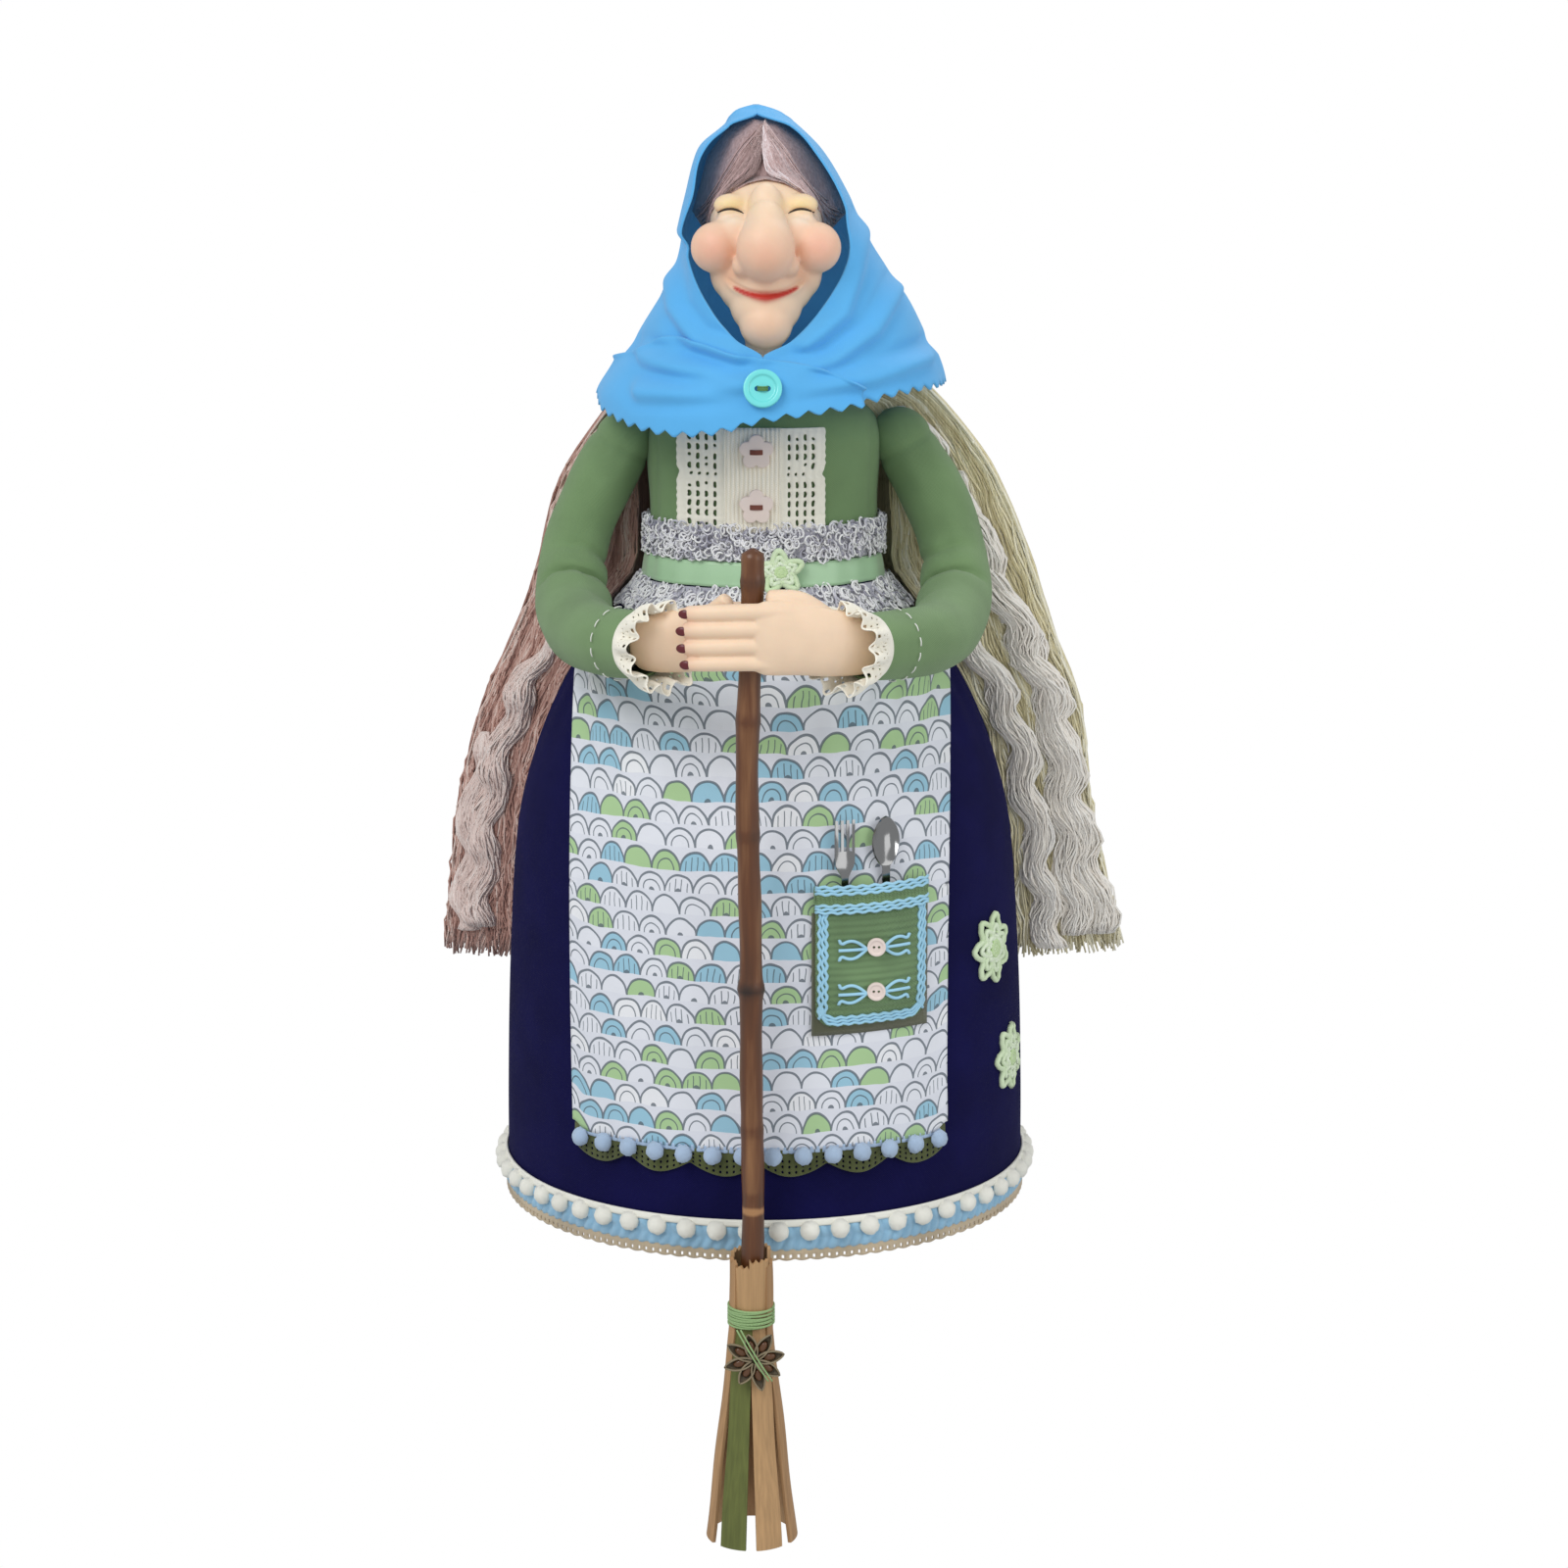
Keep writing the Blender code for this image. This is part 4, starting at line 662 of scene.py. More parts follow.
green_thread, tree, shader = new_material("green_thread", 0.7, colour=(0.10, 0.25, 0.08))
button_stitch = sewing(
    "kerchief_button_thread", button_face, 0.0017, 0.0008, (-0.0003, 0.0002, 0.0007), 8
)
finished(button_stitch, green_thread, "green_cotton")
finished(kerchief, BLUE_CLOTH, "blue_cotton", "kerchief")

# Head
# Matte polymer clay, modelled in one with its neck: round skull, ball cheeks, a long bulbous
# nose, closed smiling eyes, a wide mouth and a long chin, tinted with dry colour.
HEAD = Vector((0.0010, -0.0140, 0.3370))
# each lump's middle, from the middle of the head, and its half sizes
MIDDLE_LUMPS = (
    ((0.0, 0.0, 0.0), (0.0185, 0.0240, 0.0205)),
    ((0.0, -0.0128, 0.0052), (0.0190, 0.0152, 0.0160)),
    ((0.0, -0.0376, -0.0012), (0.0098, 0.0110, 0.0112)),
    ((0.0, -0.0335, 0.0045), (0.0074, 0.0100, 0.0100)),
    ((0.0, -0.0262, 0.0110), (0.0060, 0.0072, 0.0090)),
    ((0.0, -0.0215, -0.0138), (0.0162, 0.0160, 0.0122)),
    ((0.0, -0.0262, -0.0200), (0.0122, 0.0118, 0.0112)),
    ((0.0, -0.0300, -0.0262), (0.0090, 0.0095, 0.0088)),
    ((0.0, -0.0150, -0.0220), (0.0095, 0.0130, 0.0095)),
    ((-0.0010, 0.0140, -0.0280), (0.0070, 0.0070, 0.0240)),
)
# the same for the lumps that come in pairs: cheeks, nostrils, jaw and brows
PAIRED_LUMPS = (
    ((0.0165, -0.0258, -0.0015), (0.0086, 0.0088, 0.0086)),
    ((0.0112, -0.0250, -0.0040), (0.0075, 0.0060, 0.0070)),
    ((0.0076, -0.0348, -0.0068), (0.0038, 0.0048, 0.0040)),
    ((0.0100, -0.0262, 0.0010), (0.0070, 0.0062, 0.0078)),
    ((0.0122, -0.0212, -0.0100), (0.0066, 0.0076, 0.0088)),
    ((0.0118, -0.0222, 0.0122), (0.0058, 0.0042, 0.0040)),
    ((0.0114, -0.0226, 0.0068), (0.0056, 0.0040, 0.0030)),
)
lumps = []
for middle, sizes in (
    *MIDDLE_LUMPS,
    *(((side * x, y, z), sizes) for (x, y, z), sizes in PAIRED_LUMPS for side in (-1, 1)),
):
    bpy.ops.mesh.primitive_uv_sphere_add(segments=40, ring_count=24, radius=1.0)
    lumps.append(placed(bpy.context.object, HEAD + Vector(middle), (0, 0, 0), sizes))
head = joined("clay_head", lumps)
applied(head, "REMESH", mode="VOXEL", voxel_size=0.00055)
applied(head, "SMOOTH", factor=0.5, iterations=30)


def bump_at(point, middle, widths):
    """1 on the middle of a soft spot and 0 away from it; widths are half sizes in x and z."""
    dx = (point.x - HEAD.x - middle[0]) / widths[0]
    dz = (point.z - HEAD.z - middle[1]) / widths[1]
    return math.exp(-(dx * dx + dz * dz)) if point.y < HEAD.y - FACE_BEFORE else 0.0


FACE_BEFORE = 0.010
SMILE_HALF, SMILE_DEEP = 0.0112, 0.0009
EYE_OUT, EYE_DEEP = 0.0118, 0.0008
# the clay's tint; the dry colours rubbed in on cheeks, nose, chin, lids and lips; and a painted
# shade under the cheeks at the mouth's corners
SKIN, CHEEK, NOSE, CHIN = (
    Vector(tone) for tone in (
        (0.88, 0.66, 0.47), (0.84, 0.38, 0.27), (0.82, 0.40, 0.27), (0.76, 0.45, 0.30)
    )
)
UNDER_CHEEK_SHADE, LID, LOW_LID, LIPS = (
    Vector(tone) for tone in (
        (0.62, 0.30, 0.17), (0.88, 0.68, 0.32), (0.90, 0.80, 0.66), (0.47, 0.022, 0.012)
    )
)


def smile(x):
    """Height of the line of the mouth over the middle of the head, lowest in the middle."""
    return -0.0160 + 0.0034 * (x / SMILE_HALF) ** 2


def eye(x):
    """Height of the closed lids' line, x from the eye's own middle."""
    return 0.0098 + 0.0013 * (1 - (x / 0.0042) ** 2)


def face_groove(x, z):
    """How deep the mouth and the closed lids are pressed into the front of the face."""
    groove = 0.0
    if abs(x) < SMILE_HALF + 0.003:
        reach = blend((SMILE_HALF + 0.003 - abs(x)) / 0.003)
        groove += SMILE_DEEP * math.exp(-(((z - smile(x)) / 0.0007) ** 2)) * reach
        groove -= 0.0006 * math.exp(-(((z - smile(x) + 0.0016) / 0.0012) ** 2)) * reach
    for side in (-1, 1):
        ex = x - side * EYE_OUT
        if abs(ex) < 0.0055:
            line = math.exp(-(((z - eye(ex)) / 0.0006) ** 2))
            groove += EYE_DEEP * line * blend((0.0055 - abs(ex)) / 0.0015)
    return groove


def face_tone(point, x, z):
    """The colour of the clay at a point of the head; x and z are from its middle."""
    blush = sum(bump_at(point, (side * 0.0180, -0.0015), (0.0088, 0.0080)) for side in (-1, 1))
    tone = SKIN.lerp(CHEEK, min(0.66 * blush, 0.75))
    tone = tone.lerp(NOSE, 0.66 * bump_at(point, (0.0, -0.0040), (0.0090, 0.0095)))
    tone = tone.lerp(CHIN, 0.55 * bump_at(point, (0.0, -0.0270), (0.0090, 0.0080)))
    # painted shade in the crease under each cheek, at the mouth's corners
    tone = tone.lerp(UNDER_CHEEK_SHADE, 0.50 * max(
        bump_at(point, (side * EYE_OUT, -0.0112), (0.0040, 0.0035)) for side in (-1, 1)
    ))
    for side in (-1, 1):
        lid = bump_at(point, (side * EYE_OUT, 0.0128), (0.0062, 0.0026))
        tone = tone.lerp(LID, min(0.8 * lid, 1))
        low_lid = bump_at(point, (side * 0.0112, 0.0078), (0.0050, 0.0016))
        tone = tone.lerp(LOW_LID, 0.6 * low_lid)
    if point.y < HEAD.y - FACE_BEFORE and abs(x) < SMILE_HALF:
        thick = 0.0014 * (1.2 - abs(x) / 0.0120)
        lip = math.exp(-(((z - smile(x) + 0.0010) / thick) ** 2))
        tone = tone.lerp(LIPS, min(1.3 * lip * blend((SMILE_HALF - abs(x)) / 0.0015), 1))
    return tone


tones = []
head.data.update()
normals = [vertex.normal.copy() for vertex in head.data.vertices]
for vertex, normal in zip(head.data.vertices, normals):
    x, z = vertex.co.x - HEAD.x, vertex.co.z - HEAD.z
    if vertex.co.y < HEAD.y - FACE_BEFORE:
        vertex.co -= normal * face_groove(x, z)
    tones.append(face_tone(vertex.co, x, z))
painted(head, tones)


def clay(name):
    """Matte clay in the colours painted on the piece."""
    material, tree, shader = new_material(name, 0.52)
    shader.inputs["Subsurface Weight"].default_value = 0.12
    shader.inputs["Subsurface Radius"].default_value = (0.004, 0.002, 0.001)
    shader.inputs["Subsurface Scale"].default_value = 0.5
    spots = noisy(tree, 120, 4).outputs[0]
    shade = maths(tree, "ADD", maths(tree, "MULTIPLY", spots, 0.16), 0.92)
    tree.links.new(
        lit_by(tree, attribute(tree, "paint", "Color"), shade), shader.inputs["Base Color"]
    )
    raised(tree, shader, spots, 0.15, 0.0003)
    return material


lash_paths = []
for side in (-1, 1):
    path = []
    for at in np.linspace(-1, 1, 15):
        ex = 0.0044 * at
        point = front_of(head, HEAD.x + side * EYE_OUT + ex, HEAD.z + eye(ex))
        path.append(point + Vector((0, -0.00005, 0)))
    lash_paths.append(path)
lash_radii = np.tile(0.00042 * (1 - 0.75 * np.linspace(-1, 1, 15) ** 4), (2, 1))
lashes = tubes("lash_lines", lash_paths, lash_radii, 8)
finished(head, clay("clay_skin"), "clay", "head")
dark_lash, tree, shader = new_material("dark_lash", 0.6, colour=(0.035, 0.022, 0.015))
finished(lashes, dark_lash, "clay")

# Wool
# Combed sheep's wool in long fibres: every mass of hair is a solid core of the same wool, set
# darker as painted shade for the depth, with hundreds of fine locks laid over it, each with its own
# shade.
draw = random.Random(7)


def wool(name, dark, middle, light):
    """Wool whose colour runs over three tones by the strand's own shade and fine noise."""
    material, tree, shader = new_material(name, 0.75, sheen=0.35)
    fibre = noisy(tree, 1.0, 3, (1500, 1500, 45)).outputs[0]
    mixed_shade = maths(
        tree, "ADD", maths(tree, "MULTIPLY", attribute(tree, "shade"), 0.75),
        maths(tree, "MULTIPLY", maths(tree, "SUBTRACT", fibre, 0.35), 0.8), clamp=True,
    )
    colour = ramped(tree, mixed_shade, (0.0, dark), (0.5, middle), (1.0, light))
    tree.links.new(colour, shader.inputs["Base Color"])
    raised(tree, shader, fibre, 0.5, 0.0004)
    return material


def cored(name, node_name, shrink=0.0006, shade=0.15):
    """A welded copy of a CAD solid, a little smaller, as the core under the strands; its low shade
    is painted shade for the depth under them.
    """
    source = bpy.data.objects[node_name]
    core = bpy.data.objects.new(name, source.data.copy())
    bpy.context.collection.objects.link(core)
    core.data.transform(source.matrix_world)
    core.data.transform(Matrix.Translation(-TO_FRAME))
    weld(core)
    applied(core, "SUBSURF", levels=1, render_levels=1, subdivision_type="SIMPLE")
    for vertex, normal in [(v, v.normal.copy()) for v in core.data.vertices]:
        vertex.co -= normal * shrink
    shaded(core, shade)
    return core


# Hair above the forehead
# A tuft of wool glued over the skull and combed from a parting down to both temples: olive grey
# on the doll's right, mauve on its left and pale beside the parting.
wig_core = cored("wig_core", "hair_front", 0.0008, 0.12)


def on_wig(azimuth, elevation, out):
    """A point on the wool's outer side, seen from the middle of the head."""
    flat = math.cos(elevation)
    way = Vector((flat * math.sin(azimuth), -flat * math.cos(azimuth), math.sin(elevation)))
    far = HEAD + way * 0.12
    hit, point, normal, _ = wig_core.ray_cast(far, -way)
    if not hit:
        point = HEAD + way * 0.02
    return point + way * out


tuft_paths, tuft_shades, tuft_turns = [], [], []
TUFT_STRANDS, TUFT_POINTS = 760, 16
PARTING, CROWN = -0.10, math.radians(86)
for at in range(TUFT_STRANDS):
    side = -1 if at % 2 else 1
    reach = draw.uniform(0.42, 1.75) if at % 5 else draw.uniform(0.30, 0.70)
    slow = draw.uniform(1.3, 2.7)
    above = draw.uniform(-0.03, 0.50) * draw.random()
    lift = draw.uniform(0.0002, 0.0014)
    wave = draw.uniform(0, 6.28)
    path = []
    for t in np.linspace(0, 1, TUFT_POINTS):
        turn = PARTING + side * reach * t ** slow + 0.03 * math.sin(8 * t + wave)
        low = math.radians(50) * (1 - blend(abs(turn) / math.radians(95))) + above
        fall = math.sin(min(1.15 * t, 1.0) * math.pi / 2)
        curl = 0.0012 * math.sin(math.pi * min(t * 1.2, 1.0))
        path.append(on_wig(turn, CROWN + (low - CROWN) * fall, lift + curl - 0.0010 * (t > 0.95)))
    tuft_paths.append(path)
    pale = 0.50 * (side > 0) * blend((1.0 - reach) / 0.5)
    tuft_shades.append(draw.uniform(0.25, 0.62) + pale - 0.20 * blend((reach - 1.0) / 0.5))
    tuft_turns.append(side * reach)
MAUVE_GREY = wool("mauve_grey_wool", (0.28, 0.17, 0.16), (0.64, 0.46, 0.45), (0.94, 0.87, 0.90))
OLIVE_GREY = wool("olive_grey_wool", (0.24, 0.18, 0.10), (0.60, 0.51, 0.32), (0.88, 0.82, 0.66))
finished(wig_core, MAUVE_GREY, "cream_wool")
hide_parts("hair_front")
for name, material, low, high in (
    ("wig_strands_olive", OLIVE_GREY, -1.30, -0.20), ("wig_strands_mauve", MAUVE_GREY, 9, 9),
):
    picked = [
        at for at, turn in enumerate(tuft_turns)
        if (low < turn + 0.12 * math.sin(at * 2.3) < high) == (low < 0)
    ]
    radii = 0.00046 * (1 - 0.45 * np.linspace(0, 1, TUFT_POINTS))
    radii = np.tile(radii, (len(picked), 1))
    tuft = tubes(
        name, [tuft_paths[at] for at in picked], radii, 3, [tuft_shades[at] for at in picked]
    )
    finished(tuft, material, "cream_wool")

# Long hair
# Wool hung from under the kerchief down both sides and the back to a blunt cut end: reddish
# mauve on the doll's right, olive beige on its left, pale behind, all a little crimped.
HAIR_SIDE = math.radians(104)
HAIR_TURN = math.radians(128)
HAIR_PART = math.radians(150)
HAIR_BACK = 0.0090
HAIR_TOP, HAIR_FOOT = 0.2900, 0.0790
REACH_LEFT = (
    (0.079, 0.1160), (0.135, 0.1095), (0.173, 0.0990), (0.209, 0.0830), (0.253, 0.0700),
    (0.281, 0.0510), (0.290, 0.0430),
)
REACH_RIGHT = (
    (0.079, 0.1300), (0.132, 0.1175), (0.170, 0.1125), (0.192, 0.1040), (0.230, 0.0910),
    (0.258, 0.0780), (0.281, 0.0600), (0.290, 0.0500),
)


def in_hair(angle, height, depth_share, out=0.0):
    """A point in the hair: depth_share is 0 next to the body and 1 on the outer face."""
    inner = 0.0013 + 0.0055 * blend((height - 0.186) / 0.02) * blend((0.268 - height) / 0.02)
    keys = REACH_LEFT if angle < 0 else REACH_RIGHT
    width, _ = body_size(height)
    side = through(keys, height) / math.sin(HAIR_SIDE) - width - inner
    turned = blend((abs(angle) - HAIR_SIDE) / (HAIR_TURN - HAIR_SIDE))
    thick = side + (HAIR_BACK - side) * turned
    return on_body(angle, height, inner + depth_share * thick + out)


def hair_strands(name, count, face, points=40, radius=0.00062):
    """Strands over one face of the hair: face(share) gives an angle, a depth and a lift."""
    paths, shades = [], []
    for at in range(count):
        share = (at + draw.random()) / count
        angle, depth, lift = face(share)
        foot = HAIR_FOOT + draw.uniform(-0.003, 0.006)
        wave, size = draw.uniform(0, 6.28), draw.uniform(0.0004, 0.0015)
        group = math.floor(share * 17)
        crimp = 0.0014 * (0.6 + 0.4 * math.sin(group * 2.4))
        tone = 0.42 + 0.38 * math.sin(group * 1.7) + draw.uniform(-0.28, 0.28)
        path = []
        for t in np.linspace(0, 1, points):
            height = HAIR_TOP + (foot - HAIR_TOP) * t
            point = in_hair(angle, height, depth, lift)
            sway = size * math.sin(34 * t + wave)
            sway += crimp * (0.35 + 0.65 * t) * math.sin(72 * t + group * 1.3 + 0.25 * wave)
            side = Vector((math.cos(angle), math.sin(angle), 0))
            over = Vector((math.sin(angle), -math.cos(angle), 0))
            grown = blend(t / 0.08)
            point += (over if depth < 0.98 else side) * sway * grown
            path.append(point)
        paths.append(path)
        shades.append(tone)
    radii = np.tile(radius * (1 - 0.35 * np.linspace(0, 1, points) ** 2), (count, 1))
    return tubes(name, paths, radii, 3, shades)


RED_WOOL = wool("mauve_wool", (0.26, 0.12, 0.095), (0.58, 0.34, 0.28), (0.90, 0.76, 0.69))
OLIVE_WOOL = wool("beige_wool", (0.47, 0.40, 0.20), (0.84, 0.76, 0.48), (0.97, 0.94, 0.78))
CREAM_WOOL = wool("cream_wool", (0.74, 0.64, 0.55), (0.95, 0.89, 0.80), (0.99, 0.97, 0.92))
for side, name, material, slot in (
    (-1, "hair_left", RED_WOOL, "mauve_wool"), (1, "hair_right", OLIVE_WOOL, "beige_wool"),
):
    front = hair_strands(
        f"{name}_front", 284,
        lambda share: (side * (HAIR_SIDE - 0.012 - 0.02 * draw.random()), share, 0.0),
    )
    outer = hair_strands(
        f"{name}_outer", 218,
        lambda share: (
            side * (HAIR_SIDE + (HAIR_PART - HAIR_SIDE) * share
                    + draw.uniform(-0.04, 0.22) * share ** 6),
            1.0, draw.uniform(0.0, 0.0016),
        ),
    )
    strands = joined(f"{name}_strands", [front, outer])
    core = cored(f"{name}_core", name, 0.0010, 0.25)
    finished(core, material, slot, name)
    finished(strands, material, slot)
back = hair_strands(
    "hair_back_strands", 380,
    lambda share: ((HAIR_PART + (2 * math.pi - 2 * HAIR_PART) * share + math.pi) % (2 * math.pi)
                   - math.pi, 1.0, draw.uniform(0.0, 0.0012)),
    36, 0.0007,
)
back_core = cored("hair_back_core", "hair_back", 0.0008, 0.3)
finished(back_core, CREAM_WOOL, "cream_wool", "hair_back")
finished(back, CREAM_WOOL, "cream_wool")

# Crimped locks
# Thick wavy locks of cream wool that were plaited wet: four on the doll's left, two on its
# right, each a bundle of fibres that swell and narrow together. Each lock is given by the start
# of its wave, its place across the hair at its top and foot, those heights and its half width.
LOCK_STRANDS, LOCK_POINTS, LOCK_WAVE = 150, 50, 0.0265
for name, nodes_here, side, locks, material, slot in (
    ("crimped_locks_left_side", ("lock_right_long",), 1,
     ((0.30, 0.62, 0.86, 0.2550, 0.0840, 0.0074), (0.45, 0.26, 0.36, 0.2000, 0.0800, 0.0062),
      (0.2, 0.80, 0.61, 0.2000, 0.0840, 0.0068), (0.8, 0.48, 0.70, 0.2780, 0.2000, 0.0046)),
     CREAM_WOOL, "cream_wool"),
    ("crimped_locks_right_side", ("lock_left",), -1,
     ((0.1, 0.52, 0.60, 0.1950, 0.0880, 0.0058), (0.6, 0.80, 0.78, 0.1600, 0.0860, 0.0046)),
     wool("grey_mauve_wool", (0.45, 0.31, 0.27), (0.78, 0.62, 0.57), (0.95, 0.88, 0.84)),
     "cream_wool"),
):
    paths, shades = [], []
    for phase, share_top, share_foot, top, foot, thick in locks:
        for at in range(LOCK_STRANDS):
            turn, reach = draw.uniform(0, 6.28), math.sqrt(draw.random())
            frizz, stray = draw.uniform(0, 6.28), draw.uniform(0.0003, 0.0011)
            path = []
            for t in np.linspace(0, 1, LOCK_POINTS):
                height = top + (foot - top) * t
                share = share_top + (share_foot - share_top) * t
                middle = in_hair(side * HAIR_SIDE, height, share)
                wave = 2 * math.pi * ((top - height) / LOCK_WAVE + phase)
                wave += 1.5 * noise.noise(Vector((height * 22, phase * 9, side)))
                swell = thick * (0.86 + 0.14 * math.cos(2 * wave + 0.6)) * min(1, 8 * t + 0.15)
                middle += Vector((0.0020 * math.sin(wave), -0.0040, 0))
                spin = turn + 0.10 * wave
                loose = stray * math.sin(1.3 * wave + frizz)
                path.append(middle + Vector((
                    side * reach * swell * math.cos(spin) + loose,
                    -abs(reach * swell * 0.62 * math.sin(spin)) - 0.0009 * math.cos(wave), 0,
                )))
            paths.append(path)
            # each strand's tone is random, times a painted light and shade: lighter on the lock's
            # front, darker at its sides
            shades.append(0.36 + 0.60 * draw.uniform(0.3, 1.0) * abs(math.sin(turn)) ** 0.5)
    bundle = tubes(name, paths, np.full((len(paths), LOCK_POINTS), 0.00046), 3, shades)
    finished(bundle, material, slot, *nodes_here)

# Blouse
# Green cotton sewn tight over the padded body, with an armhole seam each side.
GREEN_CLOTH = fabric("green_cotton", (0.175, 0.285, 0.125), 0.0006, 0.35, 0.22, 0.9, 0.12)


def blouse_place(u, v):
    angle = 2 * math.pi * u
    height = HEM_TO_WAIST + GAP + (0.2855 - HEM_TO_WAIST) * v
    x = on_body(angle, height).x
    seam = math.exp(-(((abs(x) - 0.0372) / 0.0009) ** 2)) if math.cos(angle) > 0 else 0.0
    pucker = 0.00035 * math.sin(40 * angle) * blend((0.238 - height) / 0.014)
    drag = 0.0004 * noise.noise(Vector((x * 90, height * 60, math.cos(angle) * 2)))
    return on_body(angle, height, pucker + drag - 0.0006 * seam)


blouse = grid("blouse", 160, 40, blouse_place, (0.24, 0.064), around=True)
applied(blouse, "SOLIDIFY", thickness=0.0008, offset=-1.0)
finished(blouse, GREEN_CLOTH, "green_cotton", "bodice")

# Skirt
# Navy cotton, gathered at the waist and stretched over the padded cone down to the hem.
NAVY_CLOTH = fabric("navy_cotton", (0.0060, 0.0055, 0.058), 0.0008, 0.5, 0.45, 0.95, 0.0)
navy_shader = NAVY_CLOTH.node_tree.nodes["Principled BSDF"]
navy_shader.inputs["Specular IOR Level"].default_value = 0.12


def skirt_place(u, v):
    angle = 2 * math.pi * u
    height = 0.0033 + (HEM_TO_WAIST - 0.0033) * v
    gather = blend((height - 0.150) / 0.05)
    fold = 0.0006 * gather * math.sin(34 * angle + 2 * math.sin(3 * angle))
    slack = 0.0007 * noise.noise(Vector((math.sin(angle) * 2.2, math.cos(angle) * 2.2, height * 9)))
    return on_body(angle, height, min(fold + slack, 0.0006))


skirt = grid("skirt_cloth", 204, 84, skirt_place, (0.57, 0.23), around=True)
applied(skirt, "SOLIDIFY", thickness=0.0009, offset=-1.0)
finished(skirt, NAVY_CLOTH, "navy_cotton", "skirt")

# Sleeves
# Green cotton tubes over padded arms, bent at the elbow where the cloth folds, with a row of
# white running stitches above each cuff. The padding is blown up as cloth.
ARM_PATH = (
    (0.0483, 0.0000, 0.2668), (0.0570, -0.0010, 0.2520), (0.0645, -0.0050, 0.2340),
    (0.0665, -0.0200, 0.2160), (0.0615, -0.0480, 0.2090), (0.0520, -0.0740, 0.2090),
    (0.0430, -0.0865, 0.2100),
)
SLEEVE_RADII = (0.0104, 0.0114, 0.0112, 0.0122, 0.0122, 0.0116, 0.0108)
SLEEVE_END = {1: (0.0322, -0.0988, 0.2110), -1: (0.0383, -0.0924, 0.2104)}
STITCHES_AT = {1: 0.920, -1: 0.905}
ARM_ROWS, CAP_ROWS, CAP_RISE = 90, 10, 0.0125
SWELL_MOST = 0.0006
STITCHES = 15


def frames_along(points):
    """Each point of a path with two directions square to it, carried along without twist."""
    side = None
    frames = []
    for at, point in enumerate(points):
        ahead = points[min(at + 1, len(points) - 1)] - points[max(at - 1, 0)]
        ahead.normalize()
        side = ahead.orthogonal() if side is None else side
        side = (side - ahead * side.dot(ahead)).normalized()
        frames.append((point, side, ahead.cross(side), ahead))
    return frames


def arm_frame(t, side, count=60):
    """Point and directions at a share of the arm's length, with the arm's radius there."""
    keys = (*ARM_PATH[:-1], SLEEVE_END[side])
    path = [Vector((side * p.x, p.y, p.z)) for p in smooth_path(keys, count)]
    frames = frames_along(path)
    at = min(int(t * (count - 1)), count - 2)
    part = t * (count - 1) - at
    point = frames[at][0].lerp(frames[at + 1][0], part)
    radius = through(list(enumerate(SLEEVE_RADII)), t * (len(SLEEVE_RADII) - 1))
    return (point, *frames[at][1:], radius)


